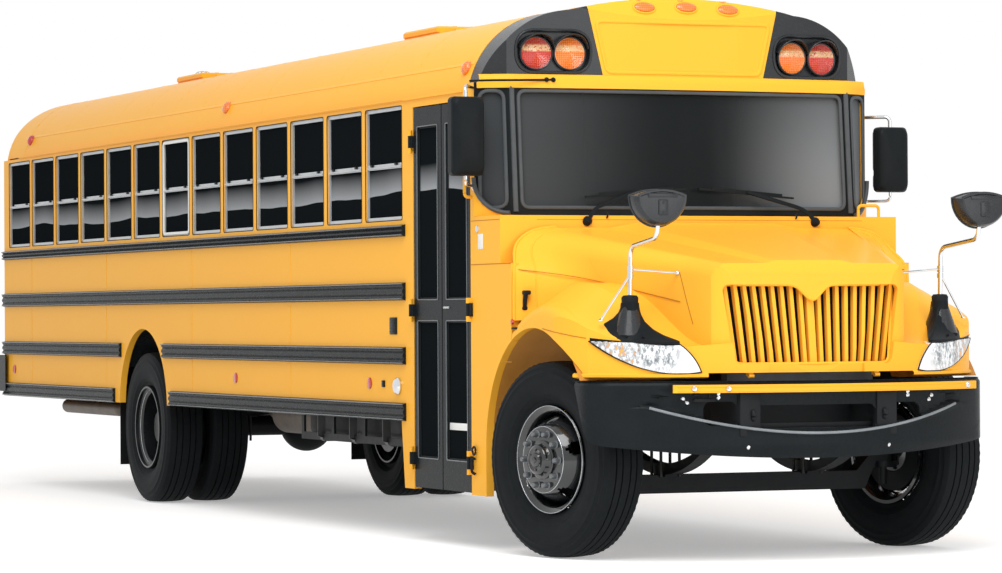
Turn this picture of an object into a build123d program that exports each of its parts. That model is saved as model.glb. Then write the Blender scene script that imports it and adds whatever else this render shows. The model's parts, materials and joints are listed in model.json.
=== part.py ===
from build123d import *
from math import sqrt
import os

# A conventional school bus. All sizes are millimetres.
# While it is built, X runs forward from the front axle, Y runs to the left and Z up from the ground.
# The last lines move it so that the origin lies on the ground under the middle of its length.

# Main layout
BODY_WIDTH = 2438
WHEELBASE = 7010
REAR_OVERHANG = 3690
WALL = 45
OVERRUN = 20
FIT = 0.3
HALF = BODY_WIDTH / 2
REAR_AXLE_X = -WHEELBASE
BODY_REAR_X = REAR_AXLE_X - REAR_OVERHANG

# Heights of the body, above the ground
SKIRT_Z = 690
FLOOR_TOP = 1065
FLOOR_THICK = 30
SILL_Z = 1856
HEADER_Z = 2520
EAVE_Z = 2560
SHOULDER_Z = 2995
CROWN_Z = 3078
ROOF_THICK = 40
SHOULDER_HALF = 700
EAVE_HALF = 1188
KNEE_HALF = 1035
KNEE_Z = 2850

# Side windows: one row of sashes, the same on both sides
WINDOW_COUNT = 13
WINDOW_PITCH = 670
WINDOW_WIDTH = 606
WINDOW_FRONT_X = -1903
SASH_BORDER = 22
SASH_MID_Z = 2176
SASH_MID = 30
GLASS = 6

# Rear end: doorway and the windows beside it
REAR_DOOR_HALF = 470
REAR_DOOR_Z = (1085, 2470)
REAR_SIDE_WINDOW = ((600, 1110), (1870, 2400))
REAR_WALL_BOTTOM_Z = 760
REAR_LOWER_WINDOW_Z = (1330, 1700)
REAR_DOOR_GAP = 6
REAR_STILE = 110
REAR_HINGE_Z = (1220, 1780, 2340)

# Entrance door, right side
DOOR_FRONT_X = -850
DOOR_REAR_X = -1730
DOOR_BOTTOM_Z = 302
DOOR_TOP_Z = 2500
LEAF_THICK = 38
LEAF_GAP = 6
LEAF_STILE = 55
LEAF_TOP_RAIL = 110
LEAF_MID_Z = 1330
LEAF_MID_RAIL = 120
LEAF_BOTTOM_RAIL = 170
LEAF_HINGE_Z = (480, 1330, 2300)

# Front end
COWL_FRONT_X = -270
COWL_TOP_Z = 1845
COWL_UPPER_FRONT_X = -420
COWL_SEAM_Z = 1580
CAP_FRONT_X = -668
CAP_REAR_X = -950
CAP_BOTTOM_Z = 2590
CAP_EDGE_R = 75
SCREEN_BASE_X = -572
SCREEN_EDGE_X = -632
SCREEN_EDGE_HALF = 1060
SCREEN_CORNER_X = -790
SCREEN_LEAN = 60
SCREEN_THICK = 40
SCREEN_FRAME = 48
PILLAR = 60
POST_REAR_X = -850
POD_TOP_HALF = 586
POD_BOTTOM_HALF = 487
LAMP_R = 89
LAMP_PROUD = 30
CORNER_INSET_SHARE = 0.4
RED_LAMP_Y = 886
AMBER_LAMP_Y = 690
WARNING_LAMP_Z = 2752

# Wheels and tyres
TYRE_R = 527
TYRE_WIDTH = 279
TYRE_SHOULDER = 38
RIM_R = 286
RIM_WIDTH = 225
DISC_THICK = 14
HUB_R = 105
WELL_R = RIM_R - 42
RIM_LIP = 12
TREAD_ROUND = 8
WHEEL_OFFSET = 165
DISC_ROOT = 80
FACE_R = 178
HAND_HOLES = 5
HAND_HOLE = (70, 38)
NUT_CIRCLE_R = 142
NUT_COUNT = 10
NUT_R = 17
NUT_LONG = 30
DRUM_R = 208
DRUM_GAP = 6
HUB_PROUD = 55
REAR_HUB_OUT = 40
SPINDLE_REACH = 120
FRONT_TRACK_HALF = 1035
KINGPIN_HALF = 900
REST_STEER = 14
DUAL_OUTER_HALF = 1065
BEARING_GAP = 0.05
SPINDLE_R = 45
KINGPIN_R = 22

# Wheel arches
REAR_ARCH_R = 561
REAR_ARCH_Z = 657
FRONT_ARCH_R = 662
FRONT_ARCH_X = 25
FRONT_ARCH_Z = 568

# Frame and running gear
RAIL_HALF = 430
RAIL_FLANGE = 90
RAIL_PLATE = 10
RAIL_BOTTOM_Z = 695
RAIL_TOP_Z = 945
RAIL_FRONT_X = 780
RAIL_REAR_X = BODY_REAR_X + 100
BEAM_BOTTOM_Z = 330
BEAM_TOP_Z = 430
BEAM_HALF_DEPTH = 50
AXLE_TUBE_R = 72
DIFF_R = 190
SPRING_WIDTH = 75
SPRING_THICK = 60

# Rub rails along the sides: name, bottom and top
RAIL_PROUD = 22
RUB_RAILS = {
    "sill": (1759, 1829),
    "seat": (1388, 1493),
    "floor": (1015, 1118),
    "skirt": (688, 793),
}
RUB_FRONT_X = -1856

pieces = {}


def block(x, y, z, mode=Mode.ADD):
    """A block between two places along each axis, added to or cut from the piece being made."""
    with Locations(((x[0] + x[1]) / 2, (y[0] + y[1]) / 2, (z[0] + z[1]) / 2)):
        Box(abs(x[1] - x[0]), abs(y[1] - y[0]), abs(z[1] - z[0]), mode=mode)


def side_plate(points, y, mode=Mode.ADD):
    """A plate with an outline of x and z points, between two y places."""
    with BuildSketch(Plane.XZ.offset(-max(y))) as outline:
        Polygon(*points, align=None)
    extrude(outline.sketch, amount=abs(y[1] - y[0]), mode=mode)


def rod_x(x, y, z, r, mode=Mode.ADD):
    """A round bar along X."""
    with BuildSketch(Plane.YZ.offset(min(x))) as circle:
        with Locations((y, z)):
            Circle(r)
    extrude(circle.sketch, amount=abs(x[1] - x[0]), mode=mode)


def rod_y(x, y, z, r, mode=Mode.ADD):
    """A round bar along Y."""
    with BuildSketch(Plane.XZ.offset(-max(y))) as circle:
        with Locations((x, z)):
            Circle(r)
    extrude(circle.sketch, amount=abs(y[1] - y[0]), mode=mode)


def rod_z(x, y, z, r, mode=Mode.ADD):
    """A round bar along Z."""
    with BuildSketch(Plane.XY.offset(min(z))) as circle:
        with Locations((x, y)):
            Circle(r)
    extrude(circle.sketch, amount=abs(z[1] - z[0]), mode=mode)


def tube(points, radius, bend, mode=Mode.ADD):
    """A round bar along straight runs joined by bends."""
    with BuildLine() as path:
        if len(points) > 2:
            FilletPolyline(*points, radius=bend)
        else:
            Polyline(*points)
    start = path.wire()
    with BuildSketch(Plane(origin=start @ 0, z_dir=start % 0)) as section:
        Circle(radius)
    sweep(section.sketch, path=start, mode=mode)


def done(part, name):
    """Keeps a finished piece under its name."""
    part.label = name
    pieces[name] = part


def window_x(index):
    """Rear and front edges of one side window."""
    front = WINDOW_FRONT_X - index * WINDOW_PITCH
    return (front - WINDOW_WIDTH, front)


# Hinges: a pin held in lugs on the fixed side, and barrels on the moving side
PIN_R = 6
BARREL_R = 11
HINGE_PLAY = 1
HINGE_OUT = 18
LUG_WIDTH = 30
BARREL_LONG = 70


def hinge_fixed(x, y, z, web_x, web_y):
    """Pin and two lugs of one upright hinge, with webs to the piece that carries them."""
    low, high = z - BARREL_LONG / 2 - HINGE_PLAY, z + BARREL_LONG / 2 + HINGE_PLAY
    rod_z(x, y, (low - LUG_WIDTH, high + LUG_WIDTH), PIN_R)
    for lug_z in ((low - LUG_WIDTH, low), (high, high + LUG_WIDTH)):
        rod_z(x, y, lug_z, BARREL_R)
        block(web_x, web_y, lug_z)


def hinge_moving(x, y, z, web_x, web_y):
    """Barrel of one upright hinge with its web to the moving piece."""
    barrel_z = (z - BARREL_LONG / 2, z + BARREL_LONG / 2)
    rod_z(x, y, barrel_z, BARREL_R)
    block(web_x, web_y, barrel_z)
    rod_z(x, y, barrel_z, PIN_R + BEARING_GAP, mode=Mode.SUBTRACT)


def pin_lug(x, y, z):
    """One lug of a lid hinge with its pin reaching into the lid's barrel."""
    side = 1 if y > 0 else -1
    rod_y(x, (y - LUG_WIDTH / 2, y + LUG_WIDTH / 2), z, BARREL_R)
    rod_y(x, (y, y - side * (1.5 * LUG_WIDTH + HINGE_PLAY)), z, PIN_R)


# Roof section: the outside line and, drawn inside it, the inside line
def roof_section(inset):
    """Half-round face of the roof between the eaves, moved inwards by the inset."""
    with BuildSketch(Plane.YZ) as section:
        with BuildLine():
            eave = EAVE_HALF - inset
            knee = (KNEE_HALF - inset * 0.8, KNEE_Z - inset * 0.6)
            shoulder = (SHOULDER_HALF - inset * 0.3, SHOULDER_Z - inset)
            ThreePointArc((eave, EAVE_Z), knee, shoulder)
            ThreePointArc(shoulder, (0, CROWN_Z - inset), (-shoulder[0], shoulder[1]))
            ThreePointArc((-shoulder[0], shoulder[1]), (-knee[0], knee[1]), (-eave, EAVE_Z))
            Line((-eave, EAVE_Z), (eave, EAVE_Z))
        make_face()
    return section.sketch


# Roof: one long shell over the cabin, with a curb round each hatch opening
HATCH_SIZE = 560
HATCH_X = (-3900, -8700)
CURB = 30
CURB_RISE = 12
CURB_TOP_Z = CROWN_Z + CURB_RISE
LID_THICK = 36
LID_OVERLAP = 15
LID_R = 40
LID_HINGE_OUT = 22
LID_HINGE_Y = 200
LID_HINGE_RISE = 9
LID_HINGE_Z = CURB_TOP_Z + LID_HINGE_RISE
DRIP_Z = (2545, 2575)
DRIP_PROUD = 12
REAR_CAP_X = BODY_REAR_X + 480
with BuildPart() as roof:
    with Locations((REAR_CAP_X, 0, 0)):
        add(extrude(roof_section(0), amount=CAP_REAR_X - REAR_CAP_X, dir=(1, 0, 0), mode=Mode.PRIVATE))
    with Locations((REAR_CAP_X - OVERRUN, 0, 0)):
        add(
            extrude(
                roof_section(ROOF_THICK),
                amount=CAP_REAR_X - REAR_CAP_X + 2 * OVERRUN,
                dir=(1, 0, 0),
                mode=Mode.PRIVATE,
            ),
            mode=Mode.SUBTRACT,
        )
    for hatch_x in HATCH_X:
        outer = HATCH_SIZE / 2 + CURB
        block(
            (hatch_x - outer, hatch_x + outer),
            (-outer, outer),
            (SHOULDER_Z, CURB_TOP_Z),
        )
        block(
            (hatch_x - HATCH_SIZE / 2, hatch_x + HATCH_SIZE / 2),
            (-HATCH_SIZE / 2, HATCH_SIZE / 2),
            (SHOULDER_Z - ROOF_THICK, CURB_TOP_Z + OVERRUN),
            mode=Mode.SUBTRACT,
        )
        for lug_side in (-1, 1):
            pin_lug(hatch_x + outer + LID_HINGE_OUT, lug_side * LID_HINGE_Y, LID_HINGE_Z)
            block(
                (hatch_x + outer, hatch_x + outer + LID_HINGE_OUT + BARREL_R),
                (
                    lug_side * LID_HINGE_Y - LUG_WIDTH / 2,
                    lug_side * LID_HINGE_Y + LUG_WIDTH / 2,
                ),
                (SHOULDER_Z, CURB_TOP_Z),
            )
    # Drip rails along the eaves, which carry the roof's edge on the side walls
    for side in (-1, 1):
        block(
            (REAR_CAP_X, CAP_REAR_X),
            (side * (EAVE_HALF - ROOF_THICK), side * (HALF + DRIP_PROUD)),
            (DRIP_Z[0], EAVE_Z),
        )
done(roof.part, "roof")

# Roof hatches: pressed lids on the curbs, each hinged along its front edge
for hatch_name, hatch_x in zip(("front", "rear"), HATCH_X):
    with BuildPart() as lid:
        rear_half = HATCH_SIZE / 2 + CURB + LID_OVERLAP
        front_half = HATCH_SIZE / 2 + CURB
        with BuildSketch(Plane.XY.offset(CURB_TOP_Z + FIT)):
            with Locations((hatch_x + (front_half - rear_half) / 2, 0)):
                RectangleRounded(front_half + rear_half, 2 * rear_half, LID_R)
        extrude(amount=LID_THICK)
        chamfer(lid.faces().sort_by(Axis.Z)[-1].edges(), length=LID_THICK / 3)
        for barrel_side in (-1, 1):
            barrel_y = barrel_side * (LID_HINGE_Y - LUG_WIDTH - HINGE_PLAY)
            hinge_x = hatch_x + front_half + LID_HINGE_OUT
            y_span = (barrel_y - LUG_WIDTH / 2, barrel_y + LUG_WIDTH / 2)
            rod_y(hinge_x, y_span, LID_HINGE_Z, BARREL_R)
            block(
                (hinge_x - LID_HINGE_OUT - LID_R, hinge_x),
                y_span,
                (CURB_TOP_Z + FIT, LID_HINGE_Z + BARREL_R),
            )
            rod_y(hinge_x, y_span, LID_HINGE_Z, PIN_R + BEARING_GAP, mode=Mode.SUBTRACT)
    done(lid.part, f"hatch_lid_{hatch_name}")

# Side walls: one flat panel each side, with its windows, wheel arch and doorway cut
WALL_TOP_Z = DRIP_Z[0]
DOOR_STRIP_REAR_X = -1932
DOOR_STRIP_FOOT_X = -1880
DRIVER_WINDOW = ((-1690, -980), (1790, 2460))
for side, side_name in ((-1, "right"), (1, "left")):
    with BuildPart() as side_wall:
        y_span = (side * (HALF - WALL), side * HALF)
        front_x = CAP_REAR_X if side > 0 else DOOR_REAR_X
        points = [
            (BODY_REAR_X + WALL, SKIRT_Z),
            (BODY_REAR_X + WALL, WALL_TOP_Z),
            (CAP_REAR_X, WALL_TOP_Z),
        ]
        if side < 0:
            points += [
                (CAP_REAR_X, DOOR_TOP_Z),
                (DOOR_REAR_X, DOOR_TOP_Z),
                (DOOR_REAR_X, DOOR_BOTTOM_Z),
                (DOOR_STRIP_FOOT_X, DOOR_BOTTOM_Z),
                (DOOR_STRIP_REAR_X, SKIRT_Z),
            ]
        else:
            points += [(CAP_REAR_X, SKIRT_Z)]
        side_plate(points, y_span)
        for index in range(WINDOW_COUNT):
            block(
                window_x(index),
                (side * (HALF - WALL - OVERRUN), side * (HALF + OVERRUN)),
                (SILL_Z, HEADER_Z),
                mode=Mode.SUBTRACT,
            )
        if side > 0:
            block(
                DRIVER_WINDOW[0],
                (HALF - WALL - OVERRUN, HALF + OVERRUN),
                DRIVER_WINDOW[1],
                mode=Mode.SUBTRACT,
            )
        rod_y(
            REAR_AXLE_X,
            (side * (HALF - WALL - OVERRUN), side * (HALF + OVERRUN)),
            REAR_ARCH_Z,
            REAR_ARCH_R,
            mode=Mode.SUBTRACT,
        )
        if side < 0:
            for hinge_z in LEAF_HINGE_Z:
                hinge_fixed(
                    DOOR_REAR_X,
                    -(HALF + HINGE_OUT),
                    hinge_z,
                    (DOOR_REAR_X - BARREL_R, DOOR_REAR_X),
                    (-HALF - HINGE_OUT, -HALF),
                )
    done(side_wall.part, f"side_wall_{side_name}")


# Window sashes: a bright frame with a middle bar, and two panes in each
def sash(x, y, z, bar_z=None):
    """A flat frame filling one opening, with a bar across it where a height is given."""
    block(x, y, z)
    holes = [z] if bar_z is None else [(z[0], bar_z - SASH_MID / 2), (bar_z + SASH_MID / 2, z[1])]
    for number, hole in enumerate(holes):
        low = hole[0] + (SASH_BORDER if number == 0 else 0)
        high = hole[1] - (SASH_BORDER if number == len(holes) - 1 else 0)
        block((x[0] + SASH_BORDER, x[1] - SASH_BORDER), y, (low, high), mode=Mode.SUBTRACT)


SASH_SET_IN = 8
SASH_DEEP = 28
with BuildPart() as window_sashes:
    for side in (-1, 1):
        y_span = (side * (HALF - SASH_SET_IN - SASH_DEEP), side * (HALF - SASH_SET_IN))
        for index in range(WINDOW_COUNT):
            with BuildPart(mode=Mode.PRIVATE) as one_sash:
                sash(window_x(index), y_span, (SILL_Z, HEADER_Z), SASH_MID_Z)
            add(one_sash.part)
    with BuildPart(mode=Mode.PRIVATE) as driver_sash:
        sash(DRIVER_WINDOW[0], y_span, DRIVER_WINDOW[1])
    add(driver_sash.part)
done(window_sashes.part, "window_sashes")

with BuildPart() as body_glass:
    for side in (-1, 1):
        mid = HALF - SASH_SET_IN - SASH_DEEP / 2
        y_span = (side * (mid - GLASS / 2), side * (mid + GLASS / 2))
        for index in range(WINDOW_COUNT):
            low_x, high_x = window_x(index)
            x_span = (low_x + SASH_BORDER, high_x - SASH_BORDER)
            block(x_span, y_span, (SILL_Z + SASH_BORDER, SASH_MID_Z - SASH_MID / 2))
            block(x_span, y_span, (SASH_MID_Z + SASH_MID / 2, HEADER_Z - SASH_BORDER))
    block(
        (DRIVER_WINDOW[0][0] + SASH_BORDER, DRIVER_WINDOW[0][1] - SASH_BORDER),
        y_span,
        (DRIVER_WINDOW[1][0] + SASH_BORDER, DRIVER_WINDOW[1][1] - SASH_BORDER),
    )
    for side in (-1, 1):
        (inner, outer), z_span = REAR_SIDE_WINDOW
        block(
            (BODY_REAR_X + WALL / 2 - GLASS / 2, BODY_REAR_X + WALL / 2 + GLASS / 2),
            (side * inner, side * outer),
            z_span,
        )
done(body_glass.part, "body_glass")

# Rub rails: ribbed pressings outside the walls, broken at the rear wheels
RIB_SHARES = (
    (0, 0),
    (0.8, 0.06),
    (1, 0.18),
    (0.55, 0.3),
    (1, 0.44),
    (1, 0.56),
    (0.55, 0.7),
    (1, 0.82),
    (0.8, 0.94),
    (0, 1),
)
ARCH_CLEAR = {"floor": (-510, 500), "skirt": (-670, 655)}
with BuildPart() as rub_rails:
    for side in (-1, 1):
        front_x = RUB_FRONT_X if side < 0 else CAP_REAR_X
        for rail_name, (low, high) in RUB_RAILS.items():
            spans = [(BODY_REAR_X, front_x)]
            if rail_name in ARCH_CLEAR:
                back, ahead = ARCH_CLEAR[rail_name]
                spans = [(BODY_REAR_X, REAR_AXLE_X + back), (REAR_AXLE_X + ahead, front_x)]
            for span in spans:
                with BuildSketch(Plane.YZ.offset(span[0])) as section:
                    Polygon(
                        *[
                            (side * (HALF + out * RAIL_PROUD), low + up * (high - low))
                            for out, up in RIB_SHARES
                        ],
                        align=None,
                    )
                extrude(section.sketch, amount=span[1] - span[0])
done(rub_rails.part, "rub_rails")

# Rear wall with the emergency doorway and two fixed windows
with BuildPart() as rear_wall:
    block(
        (BODY_REAR_X, BODY_REAR_X + WALL),
        (-HALF, HALF),
        (REAR_WALL_BOTTOM_Z, WALL_TOP_Z),
    )
    block(
        (BODY_REAR_X - OVERRUN, BODY_REAR_X + WALL + OVERRUN),
        (-REAR_DOOR_HALF, REAR_DOOR_HALF),
        REAR_DOOR_Z,
        mode=Mode.SUBTRACT,
    )
    for side in (-1, 1):
        (inner, outer), z_span = REAR_SIDE_WINDOW
        block(
            (BODY_REAR_X - OVERRUN, BODY_REAR_X + WALL + OVERRUN),
            (side * inner, side * outer),
            z_span,
            mode=Mode.SUBTRACT,
        )
    for hinge_z in REAR_HINGE_Z:
        hinge_fixed(
            BODY_REAR_X - HINGE_OUT,
            -REAR_DOOR_HALF,
            hinge_z,
            (BODY_REAR_X - HINGE_OUT, BODY_REAR_X),
            (-REAR_DOOR_HALF - BARREL_R, -REAR_DOOR_HALF),
        )
done(rear_wall.part, "rear_wall")

# Rear emergency door, hinged on its right edge, with an upper and a lower window
HANDLE_R = 11
HANDLE_OUT = 55
with BuildPart() as rear_door:
    door_y = (-REAR_DOOR_HALF + REAR_DOOR_GAP, REAR_DOOR_HALF - REAR_DOOR_GAP)
    door_z = (REAR_DOOR_Z[0] + REAR_DOOR_GAP, REAR_DOOR_Z[1] - REAR_DOOR_GAP)
    block((BODY_REAR_X, BODY_REAR_X + WALL), door_y, door_z)
    upper_z = (REAR_SIDE_WINDOW[1][0], door_z[1] - REAR_STILE)
    for z_span in (upper_z, REAR_LOWER_WINDOW_Z):
        block(
            (BODY_REAR_X - OVERRUN, BODY_REAR_X + WALL + OVERRUN),
            (door_y[0] + REAR_STILE, door_y[1] - REAR_STILE),
            z_span,
            mode=Mode.SUBTRACT,
        )
    for hinge_z in REAR_HINGE_Z:
        hinge_moving(
            BODY_REAR_X - HINGE_OUT,
            -REAR_DOOR_HALF,
            hinge_z,
            (BODY_REAR_X - HINGE_OUT, BODY_REAR_X),
            (-REAR_DOOR_HALF + REAR_DOOR_GAP / 2, -REAR_DOOR_HALF + REAR_DOOR_GAP + 2 * BARREL_R),
        )
    handle_y = door_y[1] - REAR_STILE / 2
    tube(
        [
            (BODY_REAR_X, handle_y, SILL_Z - REAR_STILE),
            (BODY_REAR_X - HANDLE_OUT, handle_y, SILL_Z - REAR_STILE),
            (BODY_REAR_X - HANDLE_OUT, handle_y, SILL_Z - 3 * REAR_STILE),
            (BODY_REAR_X, handle_y, SILL_Z - 3 * REAR_STILE),
        ],
        HANDLE_R,
        2 * HANDLE_R,
    )
done(rear_door.part, "rear_door")

with BuildPart() as rear_door_glass:
    for z_span in (upper_z, REAR_LOWER_WINDOW_Z):
        block(
            (BODY_REAR_X + WALL / 2 - GLASS / 2, BODY_REAR_X + WALL / 2 + GLASS / 2),
            (door_y[0] + REAR_STILE, door_y[1] - REAR_STILE),
            z_span,
        )
done(rear_door_glass.part, "rear_door_glass")


# Plan of the front end at the windscreen: a bowed front and cut-off corners
def front_plan(plane, lean, inset):
    """Closed plan outline of the front, leaned back and drawn inwards by the inset."""
    front = SCREEN_BASE_X - lean - inset
    edge = SCREEN_EDGE_X - lean - inset
    edge_y = SCREEN_EDGE_HALF - inset * 0.4
    side_y = HALF - inset
    rear = POST_REAR_X - OVERRUN
    with BuildSketch(plane) as plan:
        with BuildLine():
            Polyline(
                (edge, -edge_y),
                (SCREEN_CORNER_X - inset * CORNER_INSET_SHARE, -side_y),
                (rear, -side_y),
                (rear, side_y),
            )
            Polyline((rear, side_y), (SCREEN_CORNER_X - inset * CORNER_INSET_SHARE, side_y), (edge, edge_y))
            ThreePointArc((edge, edge_y), (front, 0), (edge, -edge_y))
        make_face()
    return plan.sketch


with BuildPart(mode=Mode.PRIVATE) as front_band:
    loft(
        [front_plan(Plane.XY.offset(COWL_TOP_Z), 0, 0), front_plan(Plane.XY.offset(CAP_BOTTOM_Z), SCREEN_LEAN, 0)]
    )
    loft(
        [
            front_plan(Plane.XY.offset(COWL_TOP_Z), 0, SCREEN_THICK),
            front_plan(Plane.XY.offset(CAP_BOTTOM_Z), SCREEN_LEAN, SCREEN_THICK),
        ],
        mode=Mode.SUBTRACT,
    )

SCREEN_Z = (COWL_TOP_Z + SCREEN_FRAME, CAP_BOTTOM_Z - SCREEN_FRAME)
SCREEN_Y = SCREEN_EDGE_HALF - PILLAR
QUARTER_Y = (SCREEN_EDGE_HALF + PILLAR / 4, HALF - SCREEN_THICK / 2)
SCREEN_R = 40
QUARTER_R = 60
PANES = (
    # low y, high y, corner radius
    (-SCREEN_Y, SCREEN_Y, SCREEN_R),
    (QUARTER_Y[0], QUARTER_Y[1], QUARTER_R),
    (-QUARTER_Y[1], -QUARTER_Y[0], QUARTER_R),
)
with BuildPart() as screen_frame:
    add(front_band.part)
    block(
        (SCREEN_CORNER_X, POST_REAR_X - 2 * OVERRUN),
        (-2 * HALF, 2 * HALF),
        (COWL_TOP_Z - OVERRUN, CAP_BOTTOM_Z + OVERRUN),
        mode=Mode.SUBTRACT,
    )
    for low_y, high_y, corner_r in PANES:
        with BuildSketch(Plane.YZ.offset(SCREEN_CORNER_X)) as opening:
            with Locations(((low_y + high_y) / 2, sum(SCREEN_Z) / 2)):
                RectangleRounded(high_y - low_y, SCREEN_Z[1] - SCREEN_Z[0], corner_r)
        extrude(opening.sketch, amount=SCREEN_BASE_X - SCREEN_CORNER_X + OVERRUN, mode=Mode.SUBTRACT)
done(screen_frame.part, "windscreen_frame")

with BuildPart() as windscreen:
    for low_y, high_y, corner_r in PANES:
        with BuildSketch(Plane.YZ.offset(SCREEN_CORNER_X)) as opening:
            with Locations(((low_y + high_y) / 2, sum(SCREEN_Z) / 2)):
                RectangleRounded(high_y - low_y, SCREEN_Z[1] - SCREEN_Z[0], corner_r)
        extrude(opening.sketch, amount=SCREEN_BASE_X - SCREEN_CORNER_X + OVERRUN)
    with BuildPart(mode=Mode.PRIVATE) as pane:
        for glass_inset, glass_mode in (
            (SCREEN_THICK / 2, Mode.ADD),
            (SCREEN_THICK / 2 + GLASS, Mode.SUBTRACT),
        ):
            loft(
                [
                    front_plan(Plane.XY.offset(COWL_TOP_Z), 0, glass_inset),
                    front_plan(Plane.XY.offset(CAP_BOTTOM_Z), SCREEN_LEAN, glass_inset),
                ],
                mode=glass_mode,
            )
    add(pane.part, mode=Mode.INTERSECT)
done(windscreen.part, "windscreen")

# Front roof cap: the roof's section cut to the front's plan, split into a yellow middle and dark lamp pods
CAP_FACE_TOP_Z = CROWN_Z - CAP_EDGE_R


def cap_solid(inset):
    """The front cap's body, filled, drawn inwards by the inset."""
    with BuildPart(mode=Mode.PRIVATE) as body:
        front = CAP_FRONT_X - inset
        with BuildSketch(Plane.XY.offset(EAVE_Z - OVERRUN)) as plan:
            with BuildLine():
                edge_y = SCREEN_EDGE_HALF - inset
                side_y = HALF - inset
                Polyline(
                    (front - PILLAR / 2, -edge_y),
                    (SCREEN_CORNER_X - PILLAR, -side_y),
                    (CAP_REAR_X, -side_y),
                )
                Line((CAP_REAR_X, -side_y), (CAP_REAR_X, side_y))
                Polyline(
                    (CAP_REAR_X, side_y),
                    (SCREEN_CORNER_X - PILLAR, side_y),
                    (front - PILLAR / 2, edge_y),
                )
                ThreePointArc(
                    (front - PILLAR / 2, edge_y),
                    (front + PILLAR / 2, 0),
                    (front - PILLAR / 2, -edge_y),
                )
            make_face()
        extrude(plan.sketch, amount=CROWN_Z - EAVE_Z + 2 * OVERRUN)
        with Locations((CAP_REAR_X - OVERRUN, 0, 0)):
            add(
                extrude(roof_section(inset), amount=PILLAR * 8, dir=(1, 0, 0), mode=Mode.PRIVATE),
                mode=Mode.INTERSECT,
            )
        with BuildSketch(Plane.XZ.offset(-2 * HALF)) as profile:
            with BuildLine():
                nose = front + PILLAR / 2
                Polyline(
                    (nose - CAP_EDGE_R, CROWN_Z + OVERRUN),
                    (CAP_REAR_X - OVERRUN, CROWN_Z + OVERRUN),
                    (CAP_REAR_X - OVERRUN, EAVE_Z - OVERRUN),
                    (nose + OVERRUN, EAVE_Z - OVERRUN),
                    (nose + OVERRUN, CAP_FACE_TOP_Z - 2 * CAP_EDGE_R),
                )
                ThreePointArc(
                    (nose + OVERRUN, CAP_FACE_TOP_Z - 2 * CAP_EDGE_R),
                    (nose - CAP_EDGE_R / 4, CAP_FACE_TOP_Z),
                    (nose - CAP_EDGE_R, CROWN_Z + OVERRUN),
                )
            make_face()
        extrude(profile.sketch, amount=4 * HALF, mode=Mode.INTERSECT)
    return body.part


with BuildPart(mode=Mode.PRIVATE) as cap_shell:
    add(cap_solid(0))
    add(cap_solid(ROOF_THICK), mode=Mode.SUBTRACT)
    block(
        (CAP_REAR_X - OVERRUN, 0),
        (-2 * HALF, 2 * HALF),
        (EAVE_Z - 2 * OVERRUN, CAP_BOTTOM_Z),
        mode=Mode.SUBTRACT,
    )

SIGN_RECESS = 6
SIGN_Z = (2652, 2935)
SIGN_HALF = (470, 535)


def cap_middle(grow):
    """The keystone-shaped region of the cap between the lamp pods."""
    with BuildPart(mode=Mode.PRIVATE) as region:
        slope = (POD_TOP_HALF - POD_BOTTOM_HALF) / (SHOULDER_Z - CAP_BOTTOM_Z)
        low_y = POD_BOTTOM_HALF - slope * 2 * OVERRUN + grow
        high_y = POD_TOP_HALF + slope * (CROWN_Z - SHOULDER_Z) + grow
        with BuildSketch(Plane.YZ.offset(CAP_REAR_X - OVERRUN)) as face:
            Polygon(
                (-low_y, CAP_BOTTOM_Z - 2 * OVERRUN),
                (low_y, CAP_BOTTOM_Z - 2 * OVERRUN),
                (high_y, CROWN_Z + OVERRUN),
                (-high_y, CROWN_Z + OVERRUN),
                align=None,
            )
        extrude(face.sketch, amount=-CAP_REAR_X)
    return region.part


with BuildPart() as front_cap:
    add(cap_shell.part)
    add(cap_middle(0), mode=Mode.INTERSECT)
    with BuildPart(mode=Mode.PRIVATE) as sign:
        with BuildSketch(Plane.YZ.offset(CAP_FRONT_X + PILLAR / 2 - SIGN_RECESS)) as sign_face:
            Polygon(
                (-SIGN_HALF[0], SIGN_Z[0]),
                (SIGN_HALF[0], SIGN_Z[0]),
                (SIGN_HALF[1], SIGN_Z[1]),
                (-SIGN_HALF[1], SIGN_Z[1]),
                align=None,
            )
            fillet(sign_face.vertices(), radius=SIGN_RECESS * 5)
        extrude(sign_face.sketch, amount=OVERRUN)
    add(sign.part, mode=Mode.SUBTRACT)
done(front_cap.part, "front_cap")

# Yellow posts behind the corner glass, and the header under the cap on each side
def front_posts():
    """Posts and headers that join the cowl to the roof."""
    for side in (-1, 1):
        block(
            (POST_REAR_X, SCREEN_CORNER_X),
            (side * (HALF - WALL), side * HALF),
            (COWL_TOP_Z, CAP_BOTTOM_Z),
        )
        block(
            (CAP_REAR_X, POST_REAR_X),
            (side * (HALF - WALL), side * HALF),
            (DOOR_TOP_Z, CAP_BOTTOM_Z),
        )


# Lamp pods: each with a shallow pocket round its two lamps
POCKET = (440, 236)
POCKET_R = 112
POCKET_Z = 2762
POCKET_DEEP = 30
LENS_SUNK = 8
with BuildPart() as lamp_pods:
    add(cap_shell.part)
    add(cap_middle(0), mode=Mode.SUBTRACT)
    with BuildPart(mode=Mode.PRIVATE) as pockets:
        with BuildSketch(Plane.YZ.offset(CAP_REAR_X)) as pocket:
            for side in (-1, 1):
                with Locations((side * (RED_LAMP_Y + AMBER_LAMP_Y) / 2, POCKET_Z)):
                    RectangleRounded(POCKET[0], POCKET[1], POCKET_R)
        extrude(pocket.sketch, amount=-CAP_REAR_X)
        add(cap_solid(POCKET_DEEP), mode=Mode.SUBTRACT)
    add(pockets.part, mode=Mode.SUBTRACT)
done(lamp_pods.part, "lamp_pods")


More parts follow.
